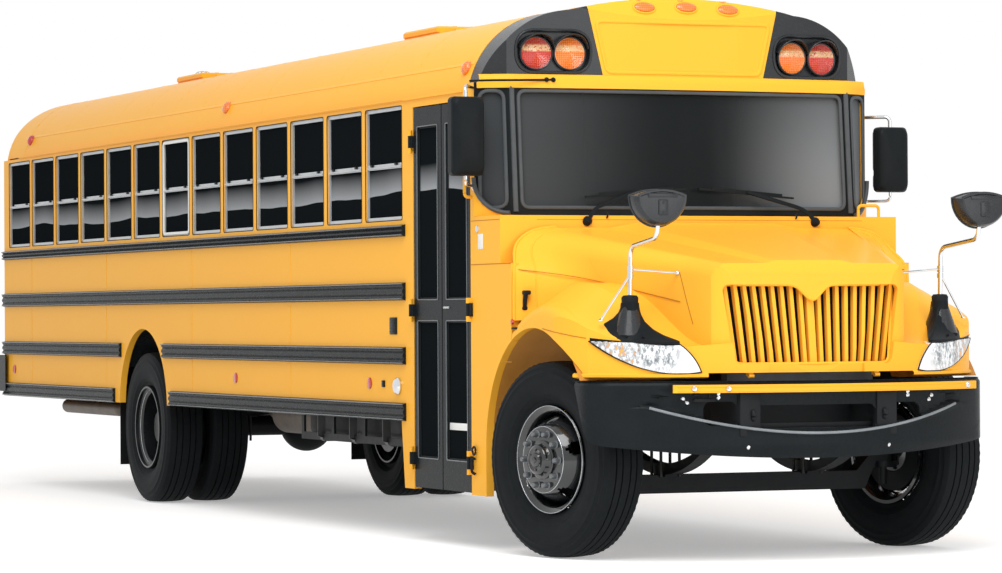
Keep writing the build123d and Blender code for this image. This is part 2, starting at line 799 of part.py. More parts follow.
# Warning lamps: round lenses on the pods and, at the back, on the rear cap
with BuildPart(mode=Mode.PRIVATE) as warning_lamps_front:
    for side in (-1, 1):
        for lamp_y in (RED_LAMP_Y, AMBER_LAMP_Y):
            rod_x((CAP_REAR_X, CAP_FRONT_X + PILLAR), side * lamp_y, WARNING_LAMP_Z, LAMP_R)
    add(cap_solid(LENS_SUNK), mode=Mode.INTERSECT)
    add(cap_solid(POCKET_DEEP), mode=Mode.SUBTRACT)

# Rear roof cap: the roof's section rounded down to the rear wall
REAR_CAP_DROP = 330
with BuildPart() as rear_cap:
    for inset, cap_mode in ((0, Mode.ADD), (ROOF_THICK, Mode.SUBTRACT)):
        with BuildPart(mode=Mode.PRIVATE) as filled:
            with Locations((BODY_REAR_X, 0, 0)):
                add(
                    extrude(roof_section(inset), amount=REAR_CAP_X - BODY_REAR_X, dir=(1, 0, 0), mode=Mode.PRIVATE)
                )
            with BuildSketch(Plane.XZ.offset(-2 * HALF)) as profile:
                with BuildLine():
                    foot = (BODY_REAR_X + inset, EAVE_Z - OVERRUN)
                    rise = (BODY_REAR_X + inset, CROWN_Z - REAR_CAP_DROP - inset)
                    top = (REAR_CAP_X, CROWN_Z - inset)
                    bulge = (
                        BODY_REAR_X + inset + (REAR_CAP_X - BODY_REAR_X) * (1 - sqrt(0.5)),
                        CROWN_Z - REAR_CAP_DROP * (1 - sqrt(0.5)) - inset,
                    )
                    Line(foot, rise)
                    ThreePointArc(rise, bulge, top)
                    Polyline(top, (REAR_CAP_X, EAVE_Z - OVERRUN), foot)
                make_face()
            extrude(profile.sketch, amount=4 * HALF, mode=Mode.INTERSECT)
        add(filled.part, mode=cap_mode)
    block((BODY_REAR_X, BODY_REAR_X + WALL), (-EAVE_HALF, EAVE_HALF), (WALL_TOP_Z, EAVE_Z))
done(rear_cap.part, "rear_cap")

REAR_LAMP_Z = 2660
TAIL_LAMP_R = 89
TAIL_LAMP_Y = 1085
MARKER_Y = 262
MARKER_X = CAP_FRONT_X - 55
MARKER_Z = CROWN_Z - 50
MARKER_R = 38
MARKER_HIGH = 80
TAIL_LAMP_Z = (1560, 1290)
with BuildPart() as lamps:
    add(warning_lamps_front.part)
    for side in (-1, 1):
        for lamp_y in (RED_LAMP_Y, AMBER_LAMP_Y):
            rod_x((BODY_REAR_X - LAMP_PROUD, BODY_REAR_X), side * lamp_y, REAR_LAMP_Z, LAMP_R)
        for lamp_z in TAIL_LAMP_Z:
            rod_x((BODY_REAR_X - LAMP_PROUD, BODY_REAR_X), side * TAIL_LAMP_Y, lamp_z, TAIL_LAMP_R)
    for marker_y in (-MARKER_Y, 0, MARKER_Y):
        with BuildPart(mode=Mode.PRIVATE) as marker:
            with Locations((MARKER_X, marker_y, MARKER_Z)):
                Cylinder(MARKER_R, MARKER_HIGH)
            add(cap_solid(0), mode=Mode.SUBTRACT)
        add(marker.part)
done(lamps.part, "lamps")

# Floor on cross sills, with the stairwell cut at the entrance and openings over the rear tyres
STEP_INNER_Y = -620
FLOOR_FRONT_X = -400
WHEELHOUSE_INNER = 560
SILL_BEAM = 50
SILL_BEAM_COUNT = 14
SILL_HALF = 1150
WHEELHOUSE_R = 600
WHEELHOUSE_PLATE = 12
with BuildPart() as floor:
    block(
        (BODY_REAR_X + WALL, FLOOR_FRONT_X),
        (-(HALF - WALL), HALF - WALL),
        (FLOOR_TOP - FLOOR_THICK, FLOOR_TOP),
    )
    block(
        (DOOR_REAR_X, FLOOR_FRONT_X),
        (-HALF, STEP_INNER_Y),
        (FLOOR_TOP - 2 * FLOOR_THICK, FLOOR_TOP + FLOOR_THICK),
        mode=Mode.SUBTRACT,
    )
    block(
        (DOOR_FRONT_X + WALL, FLOOR_FRONT_X + OVERRUN),
        (WHEELHOUSE_INNER - OVERRUN, HALF),
        (FLOOR_TOP - 2 * FLOOR_THICK, FLOOR_TOP + FLOOR_THICK),
        mode=Mode.SUBTRACT,
    )
    chord = sqrt(WHEELHOUSE_R**2 - (FLOOR_TOP - FLOOR_THICK - REAR_ARCH_Z) ** 2)
    for side in (-1, 1):
        block(
            (REAR_AXLE_X - chord, REAR_AXLE_X + chord),
            (side * WHEELHOUSE_INNER, side * HALF),
            (FLOOR_TOP - 2 * FLOOR_THICK, FLOOR_TOP + FLOOR_THICK),
            mode=Mode.SUBTRACT,
        )
    for index in range(SILL_BEAM_COUNT):
        sill_x = WINDOW_FRONT_X - WINDOW_PITCH * (index - 0.5) + SASH_BORDER
        if abs(sill_x - REAR_AXLE_X) < WHEELHOUSE_R:
            half_length = WHEELHOUSE_INNER - OVERRUN
        else:
            half_length = SILL_HALF
        right_end = STEP_INNER_Y + OVERRUN if sill_x > DOOR_REAR_X - SILL_BEAM else -half_length
        block(
            (sill_x - SILL_BEAM / 2, sill_x + SILL_BEAM / 2),
            (right_end, half_length),
            (RAIL_TOP_Z, FLOOR_TOP - FLOOR_THICK),
        )
done(floor.part, "floor")

with BuildPart() as wheelhouses:
    for side in (-1, 1):
        y_span = (side * WHEELHOUSE_INNER, side * (HALF - WALL))
        rod_y(REAR_AXLE_X, y_span, REAR_ARCH_Z, WHEELHOUSE_R)
        inner_span = (side * (WHEELHOUSE_INNER + WHEELHOUSE_PLATE), side * (HALF + OVERRUN))
        rod_y(REAR_AXLE_X, inner_span, REAR_ARCH_Z, WHEELHOUSE_R - WHEELHOUSE_PLATE, mode=Mode.SUBTRACT)
    block(
        (REAR_AXLE_X - 2 * WHEELHOUSE_R, REAR_AXLE_X + 2 * WHEELHOUSE_R),
        (-2 * HALF, 2 * HALF),
        (0, RAIL_TOP_Z),
        mode=Mode.SUBTRACT,
    )
done(wheelhouses.part, "wheelhouses")

# Stairwell inside the entrance: three steps between two side plates
STEP_PLATE = 20
STEP_RISE = (DOOR_BOTTOM_Z + 40, 583, 824)
STEP_OUTER_Y = -(HALF - WALL - LEAF_GAP)
with BuildPart() as entrance_steps:
    going = (STEP_INNER_Y - STEP_OUTER_Y) / len(STEP_RISE)
    for number, step_z in enumerate(STEP_RISE):
        y_outer = STEP_OUTER_Y + number * going
        block(
            (DOOR_REAR_X + STEP_PLATE, DOOR_FRONT_X - STEP_PLATE),
            (y_outer, y_outer + going),
            (step_z - STEP_PLATE, step_z),
        )
        riser_top = STEP_RISE[number + 1] if number + 1 < len(STEP_RISE) else FLOOR_TOP
        block(
            (DOOR_REAR_X + STEP_PLATE, DOOR_FRONT_X - STEP_PLATE),
            (y_outer + going - STEP_PLATE, y_outer + going),
            (step_z - STEP_PLATE, riser_top),
        )
    for plate_x in (DOOR_REAR_X, DOOR_FRONT_X - STEP_PLATE):
        block(
            (plate_x, plate_x + STEP_PLATE),
            (STEP_OUTER_Y, STEP_INNER_Y),
            (DOOR_BOTTOM_Z + STEP_PLATE, FLOOR_TOP),
        )
done(entrance_steps.part, "entrance_steps")

# Cowl: side panels ahead of the doorway, the firewall and the ledge under the windscreen
FIREWALL_X = (-345, -320)
FIREWALL_BOTTOM_Z = 960
with BuildPart() as cowl:
    for side in (-1, 1):
        y_span = (side * (HALF - WALL), side * HALF)
        rear_x = DOOR_FRONT_X if side < 0 else CAP_REAR_X
        bottom_z = DOOR_BOTTOM_Z
        side_plate(
            [
                (rear_x, bottom_z),
                (rear_x, COWL_TOP_Z),
                (COWL_UPPER_FRONT_X, COWL_TOP_Z),
                (COWL_UPPER_FRONT_X, COWL_SEAM_Z),
                (COWL_FRONT_X, COWL_SEAM_Z),
                (COWL_FRONT_X, bottom_z),
            ],
            y_span,
        )
        if side > 0:
            block(
                (rear_x, DOOR_FRONT_X),
                y_span,
                (DOOR_BOTTOM_Z - OVERRUN, SKIRT_Z),
                mode=Mode.SUBTRACT,
            )
    block(
        FIREWALL_X,
        (-(HALF - WALL), HALF - WALL),
        (FIREWALL_BOTTOM_Z, COWL_SEAM_Z),
    )
    block(
        (COWL_UPPER_FRONT_X - WALL, COWL_UPPER_FRONT_X),
        (-(HALF - WALL), HALF - WALL),
        (COWL_SEAM_Z - WALL, COWL_TOP_Z),
    )
    block(
        (COWL_UPPER_FRONT_X - WALL, FIREWALL_X[1]),
        (-(HALF - WALL), HALF - WALL),
        (COWL_SEAM_Z - WALL, COWL_SEAM_Z),
    )
    block(
        (SCREEN_CORNER_X, COWL_UPPER_FRONT_X),
        (-(HALF - WALL), HALF - WALL),
        (COWL_TOP_Z - WALL, COWL_TOP_Z),
    )
    for side in (-1, 1):
        rod_y(
            FRONT_ARCH_X,
            (side * KINGPIN_HALF / 2, side * (HALF + OVERRUN)),
            FRONT_ARCH_Z,
            FRONT_ARCH_R,
            mode=Mode.SUBTRACT,
        )
    block(
        (FRONT_ARCH_X - FRONT_ARCH_R, FRONT_ARCH_X + FRONT_ARCH_R),
        (-2 * HALF, 2 * HALF),
        (0, FRONT_ARCH_Z - OVERRUN),
        mode=Mode.SUBTRACT,
    )
    front_posts()
    for hinge_z in LEAF_HINGE_Z:
        hinge_fixed(
            DOOR_FRONT_X,
            -(HALF + HINGE_OUT),
            hinge_z,
            (DOOR_FRONT_X, DOOR_FRONT_X + BARREL_R),
            (-HALF - HINGE_OUT, -HALF),
        )
done(cowl.part, "cowl")

# Hood: nose and fenders in one hollow moulding that tilts forward
HOOD_WALL = 30
HOOD_HINGE_X = 930
HOOD_HINGE_Y = 400
HOOD_HINGE_Z = 975
HOOD_REAR_X = -262
HOOD_TAIL_X = -405
HOOD_REAR_HALF = 985
HOOD_FRONT_HALF = 602
HOOD_FRONT_X = 775
NOSE_X = 965
NOSE_BOTTOM_Z = 992
NOSE_TOP_X = 905
NOSE_TOP_Z = 1500
NOSE_CROWN_X = 770
NOSE_CROWN_Z = 1582
HOOD_TOP_REAR_Z = 1752
NOSE_PLAN_R = 2000
NOSE_CORNER_R = 130
HOOD_SHOULDER_R = (120, 75)
BULGE_HALF = (430, 170)
BULGE_FLANK = (150, 60)
BULGE_RISE = (26, 12)
HOOD_SIDE_SLOPE = (HOOD_REAR_HALF - HOOD_FRONT_HALF) / (HOOD_FRONT_X - HOOD_REAR_X)
HOOD_TOP_SLOPE = (HOOD_TOP_REAR_Z - NOSE_CROWN_Z) / (NOSE_CROWN_X - HOOD_REAR_X)
HALF_ARC = 1 - sqrt(0.5)


def hood_section(x, inset, shoulder, bulge):
    """Cross-section of the hood at one place: sides, round shoulders and the raised middle."""
    half = HOOD_REAR_HALF - (x - HOOD_REAR_X) * HOOD_SIDE_SLOPE - inset
    top = HOOD_TOP_REAR_Z - (x - HOOD_REAR_X) * HOOD_TOP_SLOPE - inset
    bulge_half, flank, rise = bulge
    turn = shoulder * HALF_ARC
    with BuildSketch(Plane.YZ.offset(x)) as section:
        with BuildLine():
            Polyline((-half, top - shoulder), (-half, 0), (half, 0), (half, top - shoulder))
            ThreePointArc((half, top - shoulder), (half - turn, top - turn), (half - shoulder, top))
            Polyline(
                (half - shoulder, top),
                (bulge_half + flank, top),
                (bulge_half, top + rise),
                (-bulge_half, top + rise),
                (-bulge_half - flank, top),
                (-half + shoulder, top),
            )
            ThreePointArc((-half + shoulder, top), (-half + turn, top - turn), (-half, top - shoulder))
        make_face()
    return section.sketch


def hood_form(inset):
    """Upper hood: a loft from tail to nose, cut to the nose's profile and plan, drawn in by the inset."""
    with BuildPart(mode=Mode.PRIVATE) as form:
        rear_bulge, front_bulge = zip(BULGE_HALF, BULGE_FLANK, BULGE_RISE)
        loft(
            [
                hood_section(HOOD_TAIL_X - inset, inset, HOOD_SHOULDER_R[0], rear_bulge),
                hood_section(NOSE_X + OVERRUN, inset, HOOD_SHOULDER_R[1], front_bulge),
            ],
            ruled=True,
        )
        nose_x, nose_z = NOSE_CROWN_X - inset, NOSE_CROWN_Z + BULGE_RISE[1] - inset
        with BuildSketch(Plane.XZ.offset(-2 * HALF)) as profile:
            with BuildLine():
                Polyline(
                    (nose_x, nose_z),
                    (nose_x, HOOD_TOP_REAR_Z + NOSE_CROWN_X),
                    (HOOD_TAIL_X - 2 * inset, HOOD_TOP_REAR_Z + NOSE_CROWN_X),
                    (HOOD_TAIL_X - 2 * inset, COWL_SEAM_Z + LEAF_GAP - inset),
                    (HOOD_REAR_X - inset, COWL_SEAM_Z + LEAF_GAP - inset),
                    (HOOD_REAR_X - inset, NOSE_BOTTOM_Z - inset),
                    (NOSE_X - inset, NOSE_BOTTOM_Z - inset),
                    (NOSE_TOP_X - inset, NOSE_TOP_Z - inset),
                )
                ThreePointArc(
                    (NOSE_TOP_X - inset, NOSE_TOP_Z - inset),
                    (
                        (nose_x + NOSE_TOP_X - inset) / 2 + HOOD_WALL,
                        (nose_z + NOSE_TOP_Z - inset) / 2 + HOOD_WALL,
                    ),
                    (nose_x, nose_z),
                )
            make_face()
        extrude(profile.sketch, amount=4 * HALF, mode=Mode.INTERSECT)
        with BuildSketch(Plane.XY) as plan:
            with BuildLine():
                side_x = HOOD_FRONT_X + HOOD_WALL * 2
                side_half = HOOD_FRONT_HALF - HOOD_WALL * 2 * HOOD_SIDE_SLOPE
                tail_half = HOOD_REAR_HALF - inset
                corner = (NOSE_X - NOSE_PLAN_R + sqrt(NOSE_PLAN_R**2 - side_half**2), side_half)
                Polyline(
                    (corner[0] - inset, -(corner[1] - inset)),
                    (HOOD_REAR_X, -tail_half),
                    (HOOD_TAIL_X - 2 * inset, -tail_half),
                    (HOOD_TAIL_X - 2 * inset, tail_half),
                    (HOOD_REAR_X, tail_half),
                    (corner[0] - inset, corner[1] - inset),
                )
                ThreePointArc(
                    (corner[0] - inset, corner[1] - inset),
                    (NOSE_X - inset, 0),
                    (corner[0] - inset, -(corner[1] - inset)),
                )
            make_face()
            fillet(plan.vertices().sort_by(Axis.X)[-2:], radius=NOSE_CORNER_R - inset)
        extrude(plan.sketch, amount=2 * HALF, mode=Mode.INTERSECT)
    return form.part


# Fender sections: x, crest height at the outer edge, then half-width and height of the inner crest
FENDER_ROUND = 70
FENDER_INNER = 560
FENDER_SECTIONS = (
    (HOOD_REAR_X, 1245, 1010, 1340),
    (0, 1348, 1000, 1450),
    (330, 1335, 930, 1430),
    (620, 1190, 800, 1235),
    (NOSE_X, 1130, 600, 1165),
)
# Plan of the front corners: places on the outline from the side to the middle, as x and y
CORNER_INSETS = ((0, 1), (0, 1), (1, 1), (1, 1), (1, 1), (1, 0), (1, 0))
CORNER_PLAN = ((300, HALF), (440, 1190), (560, 1135), (735, 955), (850, 740), (925, 500), (NOSE_X, 0))


def fender_form(side, inset):
    """One fender over its wheel, lofted from its sections and drawn inwards by the inset."""
    with BuildPart(mode=Mode.PRIVATE) as form:
        sections = []
        for x, crest_z, inner_y, inner_z in FENDER_SECTIONS:
            outer = side * (HALF - inset)
            crest = crest_z - inset
            turn = FENDER_ROUND * HALF_ARC
            with BuildSketch(Plane.YZ.offset(x)) as section:
                with BuildLine():
                    ThreePointArc(
                        (outer, crest - FENDER_ROUND),
                        (outer - side * turn, crest - turn),
                        (outer - side * FENDER_ROUND, crest),
                    )
                    Polyline(
                        (outer - side * FENDER_ROUND, crest),
                        (side * (inner_y - inset), inner_z - inset),
                        (side * FENDER_INNER / 2, inner_z - inset),
                        (side * FENDER_INNER / 2, NOSE_BOTTOM_Z),
                        (outer, NOSE_BOTTOM_Z),
                        (outer, crest - FENDER_ROUND),
                    )
                make_face()
            sections.append(section.sketch)
        loft(sections)
        with BuildSketch(Plane.XY) as plan:
            with BuildLine():
                places = [
                    (x - inset * drawn_in, side * (y - inset * narrowed))
                    for (x, y), (drawn_in, narrowed) in zip(CORNER_PLAN, CORNER_INSETS)
                ]
                Line((HOOD_REAR_X, 0), (HOOD_REAR_X, places[0][1]))
                Line((HOOD_REAR_X, places[0][1]), places[0])
                ThreePointArc(*places[0:3])
                ThreePointArc(*places[2:5])
                ThreePointArc(*places[4:7])
                Line(places[6], (HOOD_REAR_X, 0))
            make_face()
        extrude(plan.sketch, amount=2 * HALF, mode=Mode.INTERSECT)
    return form.part


with BuildPart(mode=Mode.PRIVATE) as hood_cavity:
    add(hood_form(HOOD_WALL))
    for side in (-1, 1):
        add(fender_form(side, HOOD_WALL))

with BuildPart(mode=Mode.PRIVATE) as hood_filled:
    add(hood_form(0))
    for side in (-1, 1):
        add(fender_form(side, 0))

GRILLE_HALF = (455, 519)
GRILLE_Z = (1036, 1451)
GRILLE_NOTCH = 95
GRILLE_BARS = 19
BAR_WIDTH = 20
GRILLE_DEPTH = 60
LINER_Y = 640
LINER = 10
with BuildPart() as hood_shell:
    add(hood_filled.part)
    add(hood_cavity.part, mode=Mode.SUBTRACT)
    # Wheel arch liners: a rolled sheet over each wheel and a flat one on its inner side
    with BuildPart(mode=Mode.PRIVATE) as liners:
        for side in (-1, 1):
            rod_y(FRONT_ARCH_X, (side * (LINER_Y - LINER), side * HALF), FRONT_ARCH_Z, FRONT_ARCH_R + LINER)
        add(hood_filled.part, mode=Mode.INTERSECT)
    add(liners.part)
    for side in (-1, 1):
        rod_y(
            FRONT_ARCH_X,
            (side * LINER_Y, side * (HALF + OVERRUN)),
            FRONT_ARCH_Z,
            FRONT_ARCH_R,
            mode=Mode.SUBTRACT,
        )
    with BuildSketch(Plane.YZ.offset(NOSE_TOP_X - 4 * GRILLE_DEPTH)) as mouth:
        Polygon(
            (-GRILLE_HALF[0], GRILLE_Z[0]),
            (GRILLE_HALF[0], GRILLE_Z[0]),
            (GRILLE_HALF[1], GRILLE_Z[1]),
            (GRILLE_NOTCH, GRILLE_Z[1]),
            (0, GRILLE_Z[1] - GRILLE_NOTCH),
            (-GRILLE_NOTCH, GRILLE_Z[1]),
            (-GRILLE_HALF[1], GRILLE_Z[1]),
            align=None,
        )
        fillet(mouth.vertices(), radius=HOOD_WALL)
    extrude(mouth.sketch, amount=8 * GRILLE_DEPTH, mode=Mode.SUBTRACT)
    for side in (-1, 1):
        barrel_mid = side * (HOOD_HINGE_Y - LUG_WIDTH - HINGE_PLAY)
        y_span = (barrel_mid - LUG_WIDTH / 2, barrel_mid + LUG_WIDTH / 2)
        rod_y(HOOD_HINGE_X, y_span, HOOD_HINGE_Z, BARREL_R)
        block(
            (HOOD_HINGE_X - HOOD_WALL + HINGE_PLAY, HOOD_HINGE_X - HINGE_PLAY),
            y_span,
            (HOOD_HINGE_Z, NOSE_BOTTOM_Z + HOOD_WALL),
        )
        rod_y(HOOD_HINGE_X, y_span, HOOD_HINGE_Z, PIN_R + BEARING_GAP, mode=Mode.SUBTRACT)
done(hood_shell.part, "hood_shell")

with BuildPart() as grille:
    with BuildPart(mode=Mode.PRIVATE) as bars:
        for number in range(GRILLE_BARS):
            share = (number * 2 + 1) / GRILLE_BARS - 1
            foot_y = share * GRILLE_HALF[0]
            head_y = share * GRILLE_HALF[1]
            half_bar = BAR_WIDTH if number == GRILLE_BARS // 2 else BAR_WIDTH / 2
            with BuildSketch(Plane.YZ.offset(NOSE_TOP_X - 4 * GRILLE_DEPTH)) as bar:
                Polygon(
                    (foot_y - half_bar, GRILLE_Z[0] - OVERRUN),
                    (foot_y + half_bar, GRILLE_Z[0] - OVERRUN),
                    (head_y + half_bar, GRILLE_Z[1] + OVERRUN),
                    (head_y - half_bar, GRILLE_Z[1] + OVERRUN),
                    align=None,
                )
            extrude(bar.sketch, amount=8 * GRILLE_DEPTH)
        for rail_z in (GRILLE_Z[0] - OVERRUN, GRILLE_Z[1]):
            block((0, 2 * HALF), (-GRILLE_HALF[1], GRILLE_HALF[1]), (rail_z, rail_z + OVERRUN))
    add(bars.part)
    add(hood_form(HOOD_WALL + FIT), mode=Mode.INTERSECT)
    with BuildPart(mode=Mode.PRIVATE) as behind:
        add(hood_form(HOOD_WALL + GRILLE_DEPTH / 2))
    add(behind.part, mode=Mode.SUBTRACT)
done(grille.part, "grille")

# Headlamps on the fenders' front corners: places on the outline as half-width and height
HEADLAMP_PROUD = 8
HEADLAMP_TIP = (1128, 1160)
HEADLAMP_TOP = (745, 1146)
HEADLAMP_INNER_BEND = (682, 1085)
HEADLAMP_FOOT = (635, 998)
HEADLAMP_LOWER_BEND = (930, 1024)
with BuildPart() as headlamps:
    for side in (-1, 1):
        with BuildSketch(Plane.YZ.offset(HOOD_REAR_X)) as lens:
            with BuildLine():
                tip, top, inner_bend, foot, lower_bend = (
                    (side * y, z)
                    for y, z in (
                        HEADLAMP_TIP,
                        HEADLAMP_TOP,
                        HEADLAMP_INNER_BEND,
                        HEADLAMP_FOOT,
                        HEADLAMP_LOWER_BEND,
                    )
                )
                Line(tip, top)
                ThreePointArc(top, inner_bend, foot)
                ThreePointArc(foot, lower_bend, tip)
            make_face()
        extrude(lens.sketch, amount=2 * HALF)
    with BuildPart(mode=Mode.PRIVATE) as skin:
        for side in (-1, 1):
            add(fender_form(side, -HEADLAMP_PROUD))
        for side in (-1, 1):
            add(fender_form(side, -FIT), mode=Mode.SUBTRACT)
    add(skin.part, mode=Mode.INTERSECT)
    block(
        (HOOD_REAR_X, FRONT_ARCH_X + FRONT_ARCH_R / 2),
        (-2 * HALF, 2 * HALF),
        (0, 2 * HALF),
        mode=Mode.SUBTRACT,
    )
done(headlamps.part, "headlamps")

# Cross-view mirrors on poles from the fenders
POLE_R = 12
POLE_X = 625
POLE_Y = 920
POLE_BEND_Z = (1650, 1690)
CONE_BASE_Z = 1190
CONE_TOP_Z = 1365
CONE_R = (95, 36)
MIRROR_HEAD_X = 1040
MIRROR_HEAD_Z = 1905
MIRROR_HEAD_HALF = 152
MIRROR_HEAD_DROP = 155
MIRROR_HEAD_CROWN = 30
MIRROR_HEAD_DEEP = 80
MIRROR_HEAD_TAPER = 14
with BuildPart() as mirror_poles:
    for side in (-1, 1):
        tube(
            [
                (POLE_X, side * POLE_Y, CONE_TOP_Z - OVERRUN),
                (POLE_X + POLE_R, side * POLE_Y, POLE_BEND_Z[0]),
                (MIRROR_HEAD_X - 3 * POLE_R, side * (POLE_Y + OVERRUN), POLE_BEND_Z[1]),
                (MIRROR_HEAD_X, side * (POLE_Y + OVERRUN), MIRROR_HEAD_Z - MIRROR_HEAD_DROP / 2),
            ],
            POLE_R,
            5 * POLE_R,
        )
done(mirror_poles.part, "crossview_poles")

with BuildPart() as crossview_mirrors:
    for side in (-1, 1):
        with BuildSketch(Plane.YZ.offset(MIRROR_HEAD_X - MIRROR_HEAD_DEEP / 2)) as head:
            with BuildLine():
                head_y = side * (POLE_Y + OVERRUN)
                shoulders = (
                    (head_y - MIRROR_HEAD_HALF, MIRROR_HEAD_Z),
                    (head_y + MIRROR_HEAD_HALF, MIRROR_HEAD_Z),
                )
                crown_z = MIRROR_HEAD_Z + MIRROR_HEAD_CROWN
                ThreePointArc(shoulders[0], (head_y, MIRROR_HEAD_Z - MIRROR_HEAD_DROP), shoulders[1])
                ThreePointArc(shoulders[1], (head_y, crown_z), shoulders[0])
            make_face()
            fillet(head.vertices(), radius=MIRROR_HEAD_CROWN)
        extrude(head.sketch, amount=MIRROR_HEAD_DEEP, taper=MIRROR_HEAD_TAPER)
    for side in (-1, 1):
        with Locations((POLE_X, side * POLE_Y, (CONE_BASE_Z + CONE_TOP_Z) / 2)):
            Cone(CONE_R[0], CONE_R[1], CONE_TOP_Z - CONE_BASE_Z)
    for side in (-1, 1):
        add(fender_form(side, 0), mode=Mode.SUBTRACT)
    add(mirror_poles.part, mode=Mode.SUBTRACT)
done(crossview_mirrors.part, "crossview_mirrors")

# Front bumper: a bowed channel with three slots, carrying the hood's hinge and the crossing arm's
BUMPER_R = 2000
BUMPER_FRONT_X = 1030
BUMPER_Z = (545, 950)
BUMPER_PLATE = 45
BUMPER_END_X = 590
ARM_Z = (890, 932)
ARM_LUG = 14
ARM_THICK = 22
ARM_GAP = 14
ARM_PIVOT_Y = -790
ARM_END_Y = 1060
centre_x = BUMPER_FRONT_X - BUMPER_R
arm_pivot_x = centre_x + sqrt((BUMPER_R + ARM_GAP + ARM_THICK / 2) ** 2 - ARM_PIVOT_Y**2)
BUMPER_BOTTOM_Z = 620
BUMPER_END = ((1160, 640), (1190, 733), (1232, 950))
BUMPER_END_R = 30
LIP = 16
LIP_HALF = 940
LIP_Z = 680
LIP_END_Z = 830
SLOTS = (
    # middle y, width, middle z, height
    (-19, 728, 762, 122),
    (542, 217, 780, 96),
    (-552, 175, 781, 125),
)
SLOT_R = 45
with BuildPart() as front_bumper:
    rod_z(centre_x, 0, BUMPER_Z, BUMPER_R)
    with BuildPart(mode=Mode.PRIVATE) as recess:
        with BuildSketch(Plane.YZ) as face:
            with BuildLine():
                ThreePointArc((-LIP_HALF, LIP_END_Z), (0, LIP_Z), (LIP_HALF, LIP_END_Z))
                Polyline(
                    (LIP_HALF, LIP_END_Z),
                    (LIP_HALF - LIP_Z / 4, BUMPER_Z[1] + OVERRUN),
                    (LIP_Z / 4 - LIP_HALF, BUMPER_Z[1] + OVERRUN),
                    (-LIP_HALF, LIP_END_Z),
                )
            make_face()
        extrude(face.sketch, amount=BUMPER_R)
        rod_z(centre_x, 0, BUMPER_Z, BUMPER_R - LIP, mode=Mode.SUBTRACT)
    add(recess.part, mode=Mode.SUBTRACT)
    rod_z(centre_x, 0, BUMPER_Z, BUMPER_R - BUMPER_PLATE, mode=Mode.SUBTRACT)
    with BuildSketch(Plane.YZ) as outline:
        with BuildLine():
            ThreePointArc(
                (-BUMPER_END[0][0], BUMPER_BOTTOM_Z),
                (0, BUMPER_Z[0]),
                (BUMPER_END[0][0], BUMPER_BOTTOM_Z),
            )
            Polyline((BUMPER_END[0][0], BUMPER_BOTTOM_Z), *BUMPER_END[1:])
            Line(BUMPER_END[2], (-BUMPER_END[2][0], BUMPER_END[2][1]))
            Polyline(*((-y, z) for y, z in BUMPER_END[:0:-1]), (-BUMPER_END[0][0], BUMPER_BOTTOM_Z))
        make_face()
        fillet(outline.vertices().group_by(Axis.Y)[0], radius=BUMPER_END_R)
    extrude(outline.sketch, amount=BUMPER_R, mode=Mode.INTERSECT)
    for lug_z in (
        (ARM_Z[0] - HINGE_PLAY - ARM_LUG, ARM_Z[0] - HINGE_PLAY),
        (ARM_Z[1] + HINGE_PLAY, ARM_Z[1] + HINGE_PLAY + ARM_LUG),
    ):
        rod_z(arm_pivot_x, ARM_PIVOT_Y, lug_z, ARM_THICK / 2)
        block(
            (arm_pivot_x - ARM_THICK * 2, arm_pivot_x),
            (ARM_PIVOT_Y - ARM_THICK / 2, ARM_PIVOT_Y + ARM_THICK / 2),
            lug_z,
        )
    rod_z(
        arm_pivot_x,
        ARM_PIVOT_Y,
        (ARM_Z[0] - HINGE_PLAY - ARM_LUG, ARM_Z[1] + HINGE_PLAY + ARM_LUG),
        PIN_R,
    )
    for side in (-1, 1):
        post_y = (side * HOOD_HINGE_Y - LUG_WIDTH / 2, side * HOOD_HINGE_Y + LUG_WIDTH / 2)
        block(
            (HOOD_HINGE_X - 2 * BARREL_R, HOOD_HINGE_X + BARREL_R),
            post_y,
            (BUMPER_Z[1] - 6 * OVERRUN, HOOD_HINGE_Z),
        )
        pin_lug(HOOD_HINGE_X, side * HOOD_HINGE_Y, HOOD_HINGE_Z)
    for slot_y, slot_width, slot_z, slot_height in SLOTS:
        with BuildSketch(Plane.YZ.offset(BUMPER_END_X)) as slot:
            with Locations((slot_y, slot_z)):
                RectangleRounded(slot_width, slot_height, SLOT_R)
        extrude(slot.sketch, amount=BUMPER_R, mode=Mode.SUBTRACT)
    for side in (-1, 1):
        block(
            (RAIL_FRONT_X, BUMPER_FRONT_X - BUMPER_PLATE * 2),
            (side * (RAIL_HALF - RAIL_FLANGE), side * RAIL_HALF),
            (RAIL_BOTTOM_Z + RAIL_PLATE, BUMPER_Z[1] - 4 * OVERRUN),
        )
        block(
            (BUMPER_FRONT_X - BUMPER_PLATE * 3, BUMPER_FRONT_X - BUMPER_PLATE * 2 + OVERRUN),
            (side * (RAIL_HALF - RAIL_FLANGE), side * RAIL_HALF),
            (RAIL_BOTTOM_Z - RAIL_PLATE, RAIL_BOTTOM_Z + RAIL_PLATE),
        )
done(front_bumper.part, "front_bumper")

# Crossing arm across the bumper
with BuildPart() as crossing_arm:
    rod_z(centre_x, 0, ARM_Z, BUMPER_R + ARM_GAP + ARM_THICK)
    rod_z(centre_x, 0, ARM_Z, BUMPER_R + ARM_GAP, mode=Mode.SUBTRACT)
    block((0, 2 * HALF), (ARM_PIVOT_Y, ARM_END_Y), ARM_Z, mode=Mode.INTERSECT)
    rod_z(arm_pivot_x, ARM_PIVOT_Y, ARM_Z, ARM_THICK / 2)
    rod_z(arm_pivot_x, ARM_PIVOT_Y, ARM_Z, PIN_R + BEARING_GAP, mode=Mode.SUBTRACT)
done(crossing_arm.part, "crossing_arm")

